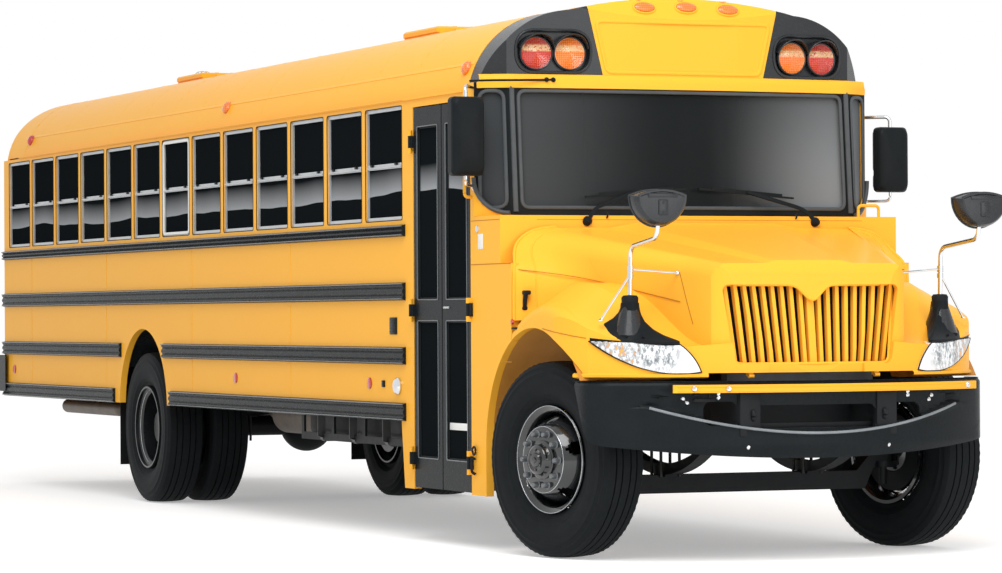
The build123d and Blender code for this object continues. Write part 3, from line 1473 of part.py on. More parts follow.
# Frame rails and cross members
CROSS_MEMBER_X = (650, -1250, -2600, -4100, -5600, -8400, -9900)
CROSS_MEMBER = 60
with BuildPart() as frame_rails:
    for side in (-1, 1):
        outer, inner = side * RAIL_HALF, side * (RAIL_HALF - RAIL_PLATE)
        flange = side * (RAIL_HALF - RAIL_FLANGE)
        x_span = (RAIL_REAR_X, RAIL_FRONT_X)
        block(x_span, (inner, outer), (RAIL_BOTTOM_Z, RAIL_TOP_Z))
        block(x_span, (flange, outer), (RAIL_BOTTOM_Z, RAIL_BOTTOM_Z + RAIL_PLATE))
        block(x_span, (flange, outer), (RAIL_TOP_Z - RAIL_PLATE, RAIL_TOP_Z))
    for member_x in CROSS_MEMBER_X:
        block(
            (member_x - CROSS_MEMBER / 2, member_x + CROSS_MEMBER / 2),
            (-(RAIL_HALF - RAIL_PLATE), RAIL_HALF - RAIL_PLATE),
            (RAIL_BOTTOM_Z + RAIL_PLATE, RAIL_BOTTOM_Z + 2 * CROSS_MEMBER),
        )
done(frame_rails.part, "frame_rails")

# Engine as one block at its place, radiator ahead of it and the drive line behind
ENGINE_X = (-300, 560)
ENGINE_HALF = 320
ENGINE_Z = (560, 1480)
with BuildPart() as engine:
    block(ENGINE_X, (-ENGINE_HALF, ENGINE_HALF), ENGINE_Z)
    block(
        (ENGINE_X[0] - OVERRUN, FIREWALL_X[1] + OVERRUN),
        (-HALF, HALF),
        (FIREWALL_BOTTOM_Z - OVERRUN, 2 * HALF),
        mode=Mode.SUBTRACT,
    )
done(engine.part, "engine")

RADIATOR_X = (700, 770)
with BuildPart() as radiator:
    block(RADIATOR_X, (-RAIL_HALF, RAIL_HALF), (RAIL_TOP_Z, GRILLE_Z[1] - OVERRUN))
done(radiator.part, "radiator")

SPRING_SPAN = (1300, 1450)


# Leaf springs: bowed packs under the rails
def leaf_spring(axle_x, span, seat_z, eye_z):
    """Two bowed spring packs, seated at the axle and hung from the rails at their ends."""
    for side in (-1, 1):
        with BuildSketch(Plane.XZ.offset(-side * RAIL_HALF - SPRING_WIDTH / 2)) as pack:
            with BuildLine():
                ThreePointArc(
                    (axle_x - span / 2, eye_z),
                    (axle_x, seat_z),
                    (axle_x + span / 2, eye_z),
                )
                Line((axle_x + span / 2, eye_z), (axle_x + span / 2, eye_z + SPRING_THICK / 3))
                ThreePointArc(
                    (axle_x + span / 2, eye_z + SPRING_THICK / 3),
                    (axle_x, seat_z + SPRING_THICK),
                    (axle_x - span / 2, eye_z + SPRING_THICK / 3),
                )
                Line((axle_x - span / 2, eye_z + SPRING_THICK / 3), (axle_x - span / 2, eye_z))
            make_face()
        extrude(pack.sketch, amount=SPRING_WIDTH)
        block(
            (axle_x - SPRING_WIDTH, axle_x + SPRING_WIDTH),
            (side * (RAIL_HALF - SPRING_WIDTH / 2), side * (RAIL_HALF + SPRING_WIDTH / 2)),
            (seat_z - OVERRUN / 2, seat_z + SPRING_THICK),
        )
        for end in (-1, 1):
            block(
                (axle_x + end * (span / 2 - SPRING_THICK), axle_x + end * span / 2),
                (side * (RAIL_HALF - SPRING_WIDTH / 2), side * (RAIL_HALF + SPRING_WIDTH / 2)),
                (eye_z, RAIL_BOTTOM_Z),
            )


# Front axle beam, with the kingpins standing in its ends
BOSS_R = 50
KINGPIN_Z = (350, 640)
BEAM_DROP_HALF = 760
KNUCKLE_Z = (430, 610)
with BuildPart() as front_axle:
    block(
        (-BEAM_HALF_DEPTH, BEAM_HALF_DEPTH),
        (-BEAM_DROP_HALF, BEAM_DROP_HALF),
        (BEAM_BOTTOM_Z, BEAM_TOP_Z),
    )
    for side in (-1, 1):
        with BuildSketch(Plane.YZ.offset(-BEAM_HALF_DEPTH)) as gooseneck:
            Polygon(
                (side * (BEAM_DROP_HALF - BEAM_HALF_DEPTH), BEAM_BOTTOM_Z),
                (side * (BEAM_DROP_HALF - BEAM_HALF_DEPTH), BEAM_TOP_Z),
                (side * (KINGPIN_HALF - BOSS_R - HINGE_OUT), KNUCKLE_Z[1] - BEAM_HALF_DEPTH),
                (side * KINGPIN_HALF, KNUCKLE_Z[1] - BEAM_HALF_DEPTH),
                (side * KINGPIN_HALF, KNUCKLE_Z[0] + BEAM_HALF_DEPTH),
                (side * (KINGPIN_HALF - BOSS_R - HINGE_OUT), KNUCKLE_Z[0] + BEAM_HALF_DEPTH),
                (side * BEAM_DROP_HALF, BEAM_BOTTOM_Z),
                align=None,
            )
        extrude(gooseneck.sketch, amount=2 * BEAM_HALF_DEPTH)
        rod_z(
            0,
            side * KINGPIN_HALF,
            (KNUCKLE_Z[0] + BEAM_HALF_DEPTH, KNUCKLE_Z[1] - BEAM_HALF_DEPTH),
            BOSS_R,
        )
        rod_z(0, side * KINGPIN_HALF, KINGPIN_Z, KINGPIN_R)
    leaf_spring(0, SPRING_SPAN[0], BEAM_TOP_Z, RAIL_BOTTOM_Z - SPRING_THICK)
done(front_axle.part, "front_axle")


# Steering knuckles and wheels, made straight ahead about the kingpin and then turned to rest
def turned(part, side):
    """A piece made for straight ahead, turned about its kingpin to the angle at rest."""
    return part.rotate(Axis((0, side * KINGPIN_HALF, 0), (0, 0, 1)), REST_STEER)


BACKPLATE_R = 215
BACKPLATE = 12
KNUCKLE_EAR = 36
for side, side_name in ((-1, "right"), (1, "left")):
    wheel_y = side * FRONT_TRACK_HALF
    back_y = side * (KINGPIN_HALF + BOSS_R + KNUCKLE_EAR / 2)
    with BuildPart() as knuckle:
        for ear_z in (
            (KNUCKLE_Z[0] + BEAM_HALF_DEPTH - KNUCKLE_EAR - 1, KNUCKLE_Z[0] + BEAM_HALF_DEPTH - 1),
            (KNUCKLE_Z[1] - BEAM_HALF_DEPTH + 1, KNUCKLE_Z[1] - BEAM_HALF_DEPTH + KNUCKLE_EAR + 1),
        ):
            rod_z(0, side * KINGPIN_HALF, ear_z, BOSS_R)
            block((-BOSS_R, BOSS_R), (side * KINGPIN_HALF, back_y + side * BACKPLATE), ear_z)
        block(
            (-BOSS_R, BOSS_R),
            (back_y - side * KNUCKLE_EAR / 2, back_y + side * BACKPLATE),
            (
                KNUCKLE_Z[0] + BEAM_HALF_DEPTH - KNUCKLE_EAR - 1,
                KNUCKLE_Z[1] - BEAM_HALF_DEPTH + KNUCKLE_EAR + 1,
            ),
        )
        rod_y(0, (back_y, back_y + side * BACKPLATE), TYRE_R, BACKPLATE_R)
        rod_y(0, (back_y, wheel_y + side * SPINDLE_REACH), TYRE_R, SPINDLE_R)
        rod_z(0, side * KINGPIN_HALF, (0, 2 * TYRE_R), KINGPIN_R + BEARING_GAP, mode=Mode.SUBTRACT)
        rod_z(
            0,
            side * KINGPIN_HALF,
            (KNUCKLE_Z[0] + BEAM_HALF_DEPTH - 1, KNUCKLE_Z[1] - BEAM_HALF_DEPTH + 1),
            BOSS_R + KNUCKLE_EAR / 4,
            mode=Mode.SUBTRACT,
        )
    done(turned(knuckle.part, side), f"knuckle_{side_name}")


def tyre_section():
    """Closed half section of a tyre, x as radius and y across the bus."""
    wide = TYRE_WIDTH / 2
    bead = wide - TYRE_SHOULDER / 2
    wall_r = TYRE_R - TYRE_SHOULDER
    tread = wide - TYRE_SHOULDER - TREAD_ROUND
    with BuildLine() as line:
        ThreePointArc((RIM_R, -bead), ((RIM_R + TYRE_R) / 2, -wide), (wall_r, -wide + TREAD_ROUND))
        ThreePointArc(
            (wall_r, -wide + TREAD_ROUND),
            (TYRE_R - TYRE_SHOULDER / 3, -wide + TYRE_SHOULDER / 2),
            (TYRE_R, -tread),
        )
        Line((TYRE_R, -tread), (TYRE_R, tread))
        ThreePointArc(
            (TYRE_R, tread),
            (TYRE_R - TYRE_SHOULDER / 3, wide - TYRE_SHOULDER / 2),
            (wall_r, wide - TREAD_ROUND),
        )
        ThreePointArc((wall_r, wide - TREAD_ROUND), ((RIM_R + TYRE_R) / 2, wide), (RIM_R, bead))
        Line((RIM_R, bead), (RIM_R, -bead))
    return line.line


def tyre_at(y):
    """One tyre standing on the ground at the front axle, centred at a y place."""
    with BuildPart(mode=Mode.PRIVATE) as tyre:
        with BuildSketch(Plane.XY) as half_section:
            add(tyre_section())
            make_face()
        revolve(half_section.sketch, axis=Axis.Y)
    return tyre.part.moved(Location((0, y, TYRE_R)))


def disc_wheel(y, outward):
    """One disc wheel at a y place, its dished disc reaching out towards plus or minus Y."""
    with BuildPart(mode=Mode.PRIVATE) as wheel:
        half = RIM_WIDTH / 2
        with BuildSketch(Plane.XY) as section:
            Polygon(
                (RIM_R, -half - RIM_LIP),
                (RIM_R, half + RIM_LIP),
                (RIM_R - RIM_LIP, half + RIM_LIP),
                (RIM_R - RIM_LIP, half - RIM_LIP),
                (WELL_R, half - 3 * RIM_LIP),
                (WELL_R, -half + 3 * RIM_LIP),
                (RIM_R - RIM_LIP, -half + RIM_LIP),
                (RIM_R - RIM_LIP, -half - RIM_LIP),
                align=None,
            )
            face = outward * WHEEL_OFFSET
            back = outward * (WHEEL_OFFSET - DISC_THICK)
            root = outward * DISC_ROOT
            Polygon(
                (SPINDLE_R, face),
                (FACE_R, face),
                (WELL_R, root),
                (WELL_R, root - outward * 2 * DISC_THICK),
                (FACE_R, back),
                (SPINDLE_R, back),
                align=None,
            )
        revolve(section.sketch, axis=Axis.Y)
        with BuildSketch(Plane.XZ.offset(-2 * WHEEL_OFFSET)) as holes:
            with PolarLocations((FACE_R + WELL_R) / 2, HAND_HOLES):
                SlotOverall(HAND_HOLE[0], HAND_HOLE[1], rotation=90)
        extrude(holes.sketch, amount=4 * WHEEL_OFFSET, mode=Mode.SUBTRACT)
    return wheel.part.moved(Location((0, y, TYRE_R)))


def hub(inner_y, face_y, end_y, bore_end_y):
    """Drum up to the wheel's face, then the hub with its nuts; the bore runs on the spindle."""
    side = 1 if end_y > 0 else -1
    rod_y(0, (inner_y, face_y - side * DISC_THICK), TYRE_R, DRUM_R)
    rod_y(0, (face_y - side * DISC_THICK, end_y), TYRE_R, HUB_R)
    with BuildSketch(Plane.XZ.offset(-max(face_y, face_y + side * NUT_LONG))) as nuts:
        with Locations((0, TYRE_R)):
            with PolarLocations(NUT_CIRCLE_R, NUT_COUNT):
                Circle(NUT_R)
    extrude(nuts.sketch, amount=NUT_LONG)
    rod_y(0, (inner_y, bore_end_y), TYRE_R, SPINDLE_R + BEARING_GAP, mode=Mode.SUBTRACT)


for side, side_name in ((-1, "right"), (1, "left")):
    wheel_y = side * FRONT_TRACK_HALF
    done(turned(tyre_at(wheel_y), side), f"front_tyre_{side_name}")
    with BuildPart() as front_wheel:
        add(disc_wheel(wheel_y, side))
        drum_in = KINGPIN_HALF + BOSS_R + KNUCKLE_EAR / 2 + BACKPLATE + DRUM_GAP
        face_y = wheel_y + side * WHEEL_OFFSET
        hub(side * drum_in, face_y, face_y + side * HUB_PROUD, wheel_y + side * (SPINDLE_REACH + HINGE_PLAY))
    done(turned(front_wheel.part, side), f"front_wheel_{side_name}")

for side, side_name in ((-1, "right"), (1, "left")):
    inner_y = side * (DUAL_OUTER_HALF - 2 * WHEEL_OFFSET)
    with BuildPart() as rear_tyres:
        for tyre_y in (inner_y, side * DUAL_OUTER_HALF):
            add(tyre_at(tyre_y))
    done(rear_tyres.part.moved(Location((REAR_AXLE_X, 0, 0))), f"rear_tyres_{side_name}")
    with BuildPart() as rear_wheels:
        add(disc_wheel(side * DUAL_OUTER_HALF, -side))
        add(disc_wheel(inner_y, side))
        drum_in = inner_y - side * RIM_WIDTH / 2
        face_y = side * (DUAL_OUTER_HALF - WHEEL_OFFSET + DISC_THICK)
        hub(drum_in, face_y, side * (DUAL_OUTER_HALF + REAR_HUB_OUT), side * (DUAL_OUTER_HALF + HINGE_PLAY))
    done(rear_wheels.part.moved(Location((REAR_AXLE_X, 0, 0))), f"rear_wheels_{side_name}")

# Rear axle: tube, differential and the two spindles
with BuildPart() as rear_axle:
    tube_end = DUAL_OUTER_HALF - 2 * WHEEL_OFFSET - RIM_WIDTH / 2 - DRUM_GAP
    rod_y(REAR_AXLE_X, (-tube_end, tube_end), TYRE_R, AXLE_TUBE_R)
    rod_y(REAR_AXLE_X, (-DUAL_OUTER_HALF, DUAL_OUTER_HALF), TYRE_R, SPINDLE_R)
    with Locations((REAR_AXLE_X, 0, TYRE_R)):
        Sphere(DIFF_R)
    leaf_spring(REAR_AXLE_X, SPRING_SPAN[1], TYRE_R + AXLE_TUBE_R, RAIL_BOTTOM_Z - SPRING_THICK)
done(rear_axle.part, "rear_axle")


# Transmission and prop shaft
GEARBOX_R = 190
SHAFT_R = 50
SHAFT_Z = 620
GEARBOX_REAR_X = -1150
with BuildPart() as drive_line:
    block((GEARBOX_REAR_X, ENGINE_X[0]), (-GEARBOX_R, GEARBOX_R), (ENGINE_Z[0], RAIL_TOP_Z - OVERRUN))
    tube([(GEARBOX_REAR_X, 0, SHAFT_Z + SHAFT_R), (REAR_AXLE_X + DIFF_R - OVERRUN, 0, TYRE_R)], SHAFT_R, 0)
    for member_x in CROSS_MEMBER_X:
        block(
            (member_x - CROSS_MEMBER, member_x + CROSS_MEMBER),
            (-HALF, HALF),
            (RAIL_BOTTOM_Z, RAIL_TOP_Z),
            mode=Mode.SUBTRACT,
        )
    add(rear_axle.part, mode=Mode.SUBTRACT)
done(drive_line.part, "drive_line")

# Fuel tank on the right in its guard, battery box on the left
TANK_X = (-3950, -2050)
TANK_Y = (-1060, -RAIL_HALF)
TANK_Z = (545, RAIL_TOP_Z)
TANK_ROUND = 60
GUARD_Y = (-1120, -1105)
GUARD_RAIL_Z = (530, 575)
GUARD_BAR_X = (-3950, -3400, -2850, -2095)
GUARD_BAR = 45
GUARD_FOOT_Y = (-1120, -1000)
GUARD_FOOT_Z = (530, 546)
with BuildPart() as fuel_tank:
    block(TANK_X, TANK_Y, TANK_Z)
    fillet(fuel_tank.edges().filter_by(Axis.X), radius=TANK_ROUND)
    block(TANK_X, GUARD_Y, GUARD_RAIL_Z)
    for bar_x in GUARD_BAR_X:
        block((bar_x, bar_x + GUARD_BAR), GUARD_Y, (GUARD_FOOT_Z[0], RAIL_TOP_Z))
        block((bar_x, bar_x + GUARD_BAR), GUARD_FOOT_Y, GUARD_FOOT_Z)
done(fuel_tank.part, "fuel_tank")

BATTERY_X = (-2900, -2200)
BATTERY_GAP = 30
BATTERY_BOTTOM_Z = 600
with BuildPart() as battery_box:
    block(BATTERY_X, (RAIL_HALF, HALF - WALL - BATTERY_GAP), (BATTERY_BOTTOM_Z, RAIL_TOP_Z))
done(battery_box.part, "battery_box")

# Exhaust: silencer and pipe to the rear
PIPE_R = 52
PIPE_BEND_R = 110
PIPE_PATH = (
    (-5590, -620, 640),
    (-6100, -530, 640),
    (-6500, -530, 790),
    (-7500, -530, 790),
    (-7900, -530, 640),
    (-8400, -950, 620),
    (-9820, -950, 620),
)
SILENCER_X = (-5600, -4400)
SILENCER_Y = -620
SILENCER_Z = 640
SILENCER_R = 125
SILENCER_HANGER_X = (-5020, -4980)
SILENCER_HANGER_Z = (735, 750)
PIPE_HANGER_X = (-9510, -9490)
PIPE_HANGER_Y = (-960, -940)
PIPE_HANGER_BOTTOM_Z = 650
with BuildPart() as exhaust:
    rod_x(SILENCER_X, SILENCER_Y, SILENCER_Z, SILENCER_R)
    tube(list(PIPE_PATH), PIPE_R, PIPE_BEND_R)
    block(SILENCER_HANGER_X, (SILENCER_Y, -RAIL_HALF), SILENCER_HANGER_Z)
    block(PIPE_HANGER_X, PIPE_HANGER_Y, (PIPE_HANGER_BOTTOM_Z, FLOOR_TOP - FLOOR_THICK))
done(exhaust.part, "exhaust")

# Rear bumper, mud flaps and the small outside fittings
REAR_BUMPER_Z = (724, 1009)
REAR_BUMPER_OUT = 90
REAR_BUMPER_THICK = 10
REAR_BUMPER_WING = (120, 8)
with BuildPart() as rear_bumper:
    block(
        (BODY_REAR_X - REAR_BUMPER_OUT, BODY_REAR_X - REAR_BUMPER_OUT + REAR_BUMPER_THICK),
        (-HALF - RAIL_PROUD, HALF + RAIL_PROUD),
        REAR_BUMPER_Z,
    )
    for side in (-1, 1):
        block(
            (BODY_REAR_X - REAR_BUMPER_OUT, BODY_REAR_X + REAR_BUMPER_WING[0]),
            (side * (HALF + RAIL_PROUD), side * (HALF + RAIL_PROUD + REAR_BUMPER_WING[1])),
            REAR_BUMPER_Z,
        )
        block(
            (BODY_REAR_X - REAR_BUMPER_OUT + REAR_BUMPER_THICK, RAIL_REAR_X),
            (side * RAIL_HALF, side * (RAIL_HALF - RAIL_FLANGE)),
            (RAIL_BOTTOM_Z + OVERRUN * 2, REAR_WALL_BOTTOM_Z),
        )
done(rear_bumper.part, "rear_bumper")

FLAP_BEHIND = 720
FLAP_X = REAR_AXLE_X - FLAP_BEHIND
FLAP_THICK = 10
FLAP_Y = (610, 1165)
FLAP_BOTTOM_Z = 240
with BuildPart() as mud_flaps:
    for side in (-1, 1):
        block(
            (FLAP_X - FLAP_THICK, FLAP_X),
            (side * FLAP_Y[0], side * FLAP_Y[1]),
            (FLAP_BOTTOM_Z, FLOOR_TOP - FLOOR_THICK),
        )
done(mud_flaps.part, "mud_flaps")

# Seats: a bench each side of the aisle on every row
SEAT_ROWS = 13
SEAT_PITCH = WINDOW_PITCH
SEAT_FRONT_X = -2050
SEAT_SHARES = (
    (0, 0.33),
    (0, 0.45),
    (0.72, 0.42),
    (0.84, 1),
    (1, 1),
    (0.9, 0.33),
)
SEAT_DEEP = 560
SEAT_HIGH = 1010
AISLE_HALF = 185
LEG = 40
LEG_SHARES = (0.1, 0.75)
LEG_HIGH_SHARE = 0.36
DRIVER_Y = 620
DRIVER_SEAT_HALF = 240
DRIVER_SEAT_PLACES = (
    (-1250, 1450),
    (-1250, 1560),
    (-1640, 1540),
    (-1740, 2120),
    (-1840, 2120),
    (-1740, 1450),
)
DRIVER_POST_X = -1500
DRIVER_POST_TOP_Z = 1470
DRIVER_POST_R = 90
with BuildPart() as seats:
    for side in (-1, 1):
        for row in range(SEAT_ROWS):
            seat_x = SEAT_FRONT_X - row * SEAT_PITCH
            with BuildPart(mode=Mode.PRIVATE) as seat:
                side_plate(
                    [(seat_x - x * SEAT_DEEP, FLOOR_TOP + z * SEAT_HIGH) for x, z in SEAT_SHARES],
                    (side * AISLE_HALF, side * (HALF - WALL)),
                )
                for leg_share in LEG_SHARES:
                    leg_x = seat_x - leg_share * SEAT_DEEP
                    block(
                        (leg_x - LEG, leg_x),
                        (side * (AISLE_HALF + LEG), side * (AISLE_HALF + 2 * LEG)),
                        (FLOOR_TOP, FLOOR_TOP + LEG_HIGH_SHARE * SEAT_HIGH),
                    )
            add(seat.part)
    side_plate(list(DRIVER_SEAT_PLACES), (DRIVER_Y - DRIVER_SEAT_HALF, DRIVER_Y + DRIVER_SEAT_HALF))
    rod_z(DRIVER_POST_X, DRIVER_Y, (FLOOR_TOP, DRIVER_POST_TOP_Z), DRIVER_POST_R)
done(seats.part, "seats")

# Dash with the steering wheel and its column
DASH_TOP_X = -800
DASH_LIP_Z = 1560
DASH_FACE = (-640, 1450)
DASH_RIGHT_Y = -560
STEERING_PLACE = (-980, 1800)
STEERING_LEAN = -25
STEERING_RIM_R = (225, 14)
STEERING_HUB = (40, 30)
STEERING_SPOKE = (430, 26, 14)
COLUMN_FOOT = (-780, 1640)
COLUMN_R = 24
with BuildPart() as dash:
    side_plate(
        [
            (COWL_UPPER_FRONT_X - WALL, FLOOR_TOP),
            (COWL_UPPER_FRONT_X - WALL, COWL_TOP_Z - WALL),
            (DASH_TOP_X, COWL_TOP_Z - WALL),
            (DASH_TOP_X, DASH_LIP_Z),
            DASH_FACE,
            (DASH_FACE[0], FLOOR_TOP),
        ],
        (DASH_RIGHT_Y, HALF - WALL),
    )
    wheel_place = (STEERING_PLACE[0], DRIVER_Y, STEERING_PLACE[1])
    with Locations(Location(wheel_place, (0, STEERING_LEAN, 0))):
        Torus(*STEERING_RIM_R)
        Cylinder(*STEERING_HUB)
        Box(*STEERING_SPOKE)
    tube([wheel_place, (COLUMN_FOOT[0], DRIVER_Y, COLUMN_FOOT[1])], COLUMN_R, 0)
done(dash.part, "dash")

# Entrance door: two glazed leaves, each hinged at its outer edge
MEET_GAP = 14
LEAF_WIDTH = (DOOR_FRONT_X - DOOR_REAR_X) / 2 - LEAF_GAP - MEET_GAP / 2
LEAF_Y = (-(HALF - LEAF_GAP / 2), -(HALF - LEAF_GAP / 2 - LEAF_THICK))
LEAF_Z = (DOOR_BOTTOM_Z + 2 * LEAF_GAP, DOOR_TOP_Z - LEAF_GAP)
for leaf_name, leaf_x in (
    ("rear", (DOOR_REAR_X + LEAF_GAP, DOOR_REAR_X + LEAF_GAP + LEAF_WIDTH)),
    ("front", (DOOR_FRONT_X - LEAF_GAP - LEAF_WIDTH, DOOR_FRONT_X - LEAF_GAP)),
):
    panes_z = (
        (LEAF_Z[0] + LEAF_BOTTOM_RAIL, LEAF_MID_Z - LEAF_MID_RAIL / 2),
        (LEAF_MID_Z + LEAF_MID_RAIL / 2, LEAF_Z[1] - LEAF_TOP_RAIL),
    )
    with BuildPart() as leaf:
        block(leaf_x, LEAF_Y, LEAF_Z)
        for pane_z in panes_z:
            block(
                (leaf_x[0] + LEAF_STILE, leaf_x[1] - LEAF_STILE),
                (LEAF_Y[0] - OVERRUN, LEAF_Y[1] + OVERRUN),
                pane_z,
                mode=Mode.SUBTRACT,
            )
        jamb_x = DOOR_REAR_X if leaf_name == "rear" else DOOR_FRONT_X
        inward = 1 if leaf_name == "rear" else -1
        for hinge_z in LEAF_HINGE_Z:
            hinge_moving(
                jamb_x,
                -(HALF + HINGE_OUT),
                hinge_z,
                (jamb_x + inward * LEAF_GAP / 2, jamb_x + inward * (LEAF_GAP + 2 * BARREL_R)),
                (-(HALF + HINGE_OUT), LEAF_Y[0]),
            )
    done(leaf.part, f"door_leaf_{leaf_name}")
    with BuildPart() as leaf_glass:
        middle = sum(LEAF_Y) / 2
        for pane_z in panes_z:
            block(
                (leaf_x[0] + LEAF_STILE, leaf_x[1] - LEAF_STILE),
                (middle - GLASS / 2, middle + GLASS / 2),
                pane_z,
            )
    done(leaf_glass.part, f"door_glass_{leaf_name}")

# Stop arm on the left side: a blank octagon on a hinge bracket
STOP_X = -2100
STOP_SIZE = 457
STOP_Z = 1625
STOP_OUT = 62
STOP_THICK = 10
STOP_BARREL = 160
STOP_LUG = 20
STOP_STEM = 20
stop_axis_y = HALF + STOP_OUT + STOP_THICK / 2
with BuildPart() as stop_bracket:
    pin_z = (STOP_Z - STOP_BARREL / 2 - HINGE_PLAY, STOP_Z + STOP_BARREL / 2 + HINGE_PLAY)
    rod_z(STOP_X, stop_axis_y, (pin_z[0] - STOP_LUG, pin_z[1] + STOP_LUG), PIN_R)
    for lug_z in ((pin_z[0] - STOP_LUG, pin_z[0]), (pin_z[1], pin_z[1] + STOP_LUG)):
        rod_z(STOP_X, stop_axis_y, lug_z, BARREL_R)
        block((STOP_X, STOP_X + 4 * BARREL_R), (HALF + RAIL_PROUD + FIT, stop_axis_y + BARREL_R), lug_z)
    block(
        (STOP_X + 2 * BARREL_R, STOP_X + 6 * BARREL_R),
        (HALF, stop_axis_y + BARREL_R),
        (pin_z[0] - STOP_LUG, pin_z[1] + STOP_LUG),
    )
    add(rub_rails.part, mode=Mode.SUBTRACT)
done(stop_bracket.part, "stop_arm_bracket")

with BuildPart() as stop_arm:
    with BuildSketch(Plane.XZ.offset(-(HALF + STOP_OUT + STOP_THICK))) as octagon:
        with Locations((STOP_X - STOP_SIZE / 2 - STOP_STEM, STOP_Z)):
            RegularPolygon(STOP_SIZE / 2, 8, major_radius=False, rotation=22.5)
    extrude(octagon.sketch, amount=STOP_THICK)
    barrel_z = (STOP_Z - STOP_BARREL / 2, STOP_Z + STOP_BARREL / 2)
    block(
        (STOP_X - 2 * STOP_STEM, STOP_X),
        (stop_axis_y - STOP_THICK / 2, stop_axis_y + STOP_THICK / 2),
        barrel_z,
    )
    rod_z(STOP_X, stop_axis_y, barrel_z, BARREL_R)
    rod_z(STOP_X, stop_axis_y, barrel_z, PIN_R + BEARING_GAP, mode=Mode.SUBTRACT)
done(stop_arm.part, "stop_arm")

# Side mirrors on brackets from the front posts
SIDE_MIRRORS = ((-640, -1330, 2065, 2500), (-690, 1330, 1995, 2370))
SIDE_MIRROR_HALF = (45, 95)
SIDE_MIRROR_ROUND = 25
BRACKET_R = 11
BRACKET_BEND_R = 30
BRACKET_IN = 10
BRACKET_UP = 60
BRACKET_BEHIND = 20
with BuildPart() as side_mirrors:
    for mirror_x, mirror_y, low_z, high_z in SIDE_MIRRORS:
        block(
            (mirror_x - SIDE_MIRROR_HALF[0], mirror_x + SIDE_MIRROR_HALF[0]),
            (mirror_y - SIDE_MIRROR_HALF[1], mirror_y + SIDE_MIRROR_HALF[1]),
            (low_z, high_z),
        )
    fillet(side_mirrors.edges(), radius=SIDE_MIRROR_ROUND)
done(side_mirrors.part, "side_mirrors")

with BuildPart() as mirror_brackets:
    for mirror_x, mirror_y, low_z, high_z in SIDE_MIRRORS:
        outward = 1 if mirror_y > 0 else -1
        tube(
            [
                (mirror_x, mirror_y, high_z - BRACKET_IN),
                (mirror_x, mirror_y, high_z + BRACKET_UP),
                (SCREEN_CORNER_X - BRACKET_BEHIND, outward * HALF, high_z + BRACKET_UP),
            ],
            BRACKET_R,
            BRACKET_BEND_R,
        )
    add(side_mirrors.part, mode=Mode.SUBTRACT)
    add(cowl.part, mode=Mode.SUBTRACT)
done(mirror_brackets.part, "mirror_brackets")

# The origin is moved to the ground under the middle of the length, and each piece is written
LENGTH_FRONT_X = MIRROR_HEAD_X + MIRROR_HEAD_DEEP / 2
LENGTH_REAR_X = BODY_REAR_X - REAR_BUMPER_OUT
MIDDLE_X = (LENGTH_FRONT_X + LENGTH_REAR_X) / 2
os.makedirs("parts", exist_ok=True)
for name, piece in pieces.items():
    placed = piece.moved(Location((-MIDDLE_X, 0, 0)))
    placed.label = name
    export_step(placed, f"parts/{name}.step")
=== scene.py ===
import json
import math

import bmesh
import bpy
from mathutils import Matrix, Vector


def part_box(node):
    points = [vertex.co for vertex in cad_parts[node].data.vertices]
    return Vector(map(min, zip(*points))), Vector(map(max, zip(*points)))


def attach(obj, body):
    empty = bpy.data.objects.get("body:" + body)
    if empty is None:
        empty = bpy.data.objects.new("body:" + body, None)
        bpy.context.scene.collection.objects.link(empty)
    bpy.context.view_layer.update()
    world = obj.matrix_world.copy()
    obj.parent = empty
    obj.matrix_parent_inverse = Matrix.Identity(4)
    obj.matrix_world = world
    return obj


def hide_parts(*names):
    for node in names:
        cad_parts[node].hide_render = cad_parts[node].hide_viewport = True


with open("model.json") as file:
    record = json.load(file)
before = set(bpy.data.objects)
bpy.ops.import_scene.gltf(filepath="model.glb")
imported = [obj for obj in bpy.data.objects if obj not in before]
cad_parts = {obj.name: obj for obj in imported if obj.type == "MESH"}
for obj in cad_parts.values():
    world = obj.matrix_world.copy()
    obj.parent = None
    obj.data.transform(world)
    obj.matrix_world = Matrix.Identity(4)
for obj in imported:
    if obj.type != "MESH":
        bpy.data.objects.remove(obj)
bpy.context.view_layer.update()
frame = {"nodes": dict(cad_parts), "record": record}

bl_info = {
    "name": "School bus dressing",
    "version": (1, 0, 0),
    "blender": (4, 5, 0),
    "location": "View3D > Sidebar > School bus",
    "description": "Dresses a packed school bus with paint, rubber, glass, lamps and trim",
    "category": "Object",
}

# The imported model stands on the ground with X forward, Y to the left and Z up, in metres.
# Places below are measured from the ground under the front axle, which lies here:
joints = {joint["name"]: joint for joint in frame["record"]["behaviour"]["joints"]}
AXLE_X = joints["steer_right"]["pos_m"][0]
HALF = 1.219
REAR_AXLE = -7.01
TAIL_X = -10.7


def at(x, y, z):
    """A place measured from the ground under the front axle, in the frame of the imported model."""
    return Vector((x + AXLE_X, y, z))


# Shader maths


def linear(red, green, blue):
    """A screen colour of 0 to 255 a channel, as the linear colour that a shader takes."""
    shares = [channel / 255 for channel in (red, green, blue)]
    return tuple(s / 12.92 if s <= 0.04045 else ((s + 0.055) / 1.055) ** 2.4 for s in shares) + (1.0,)


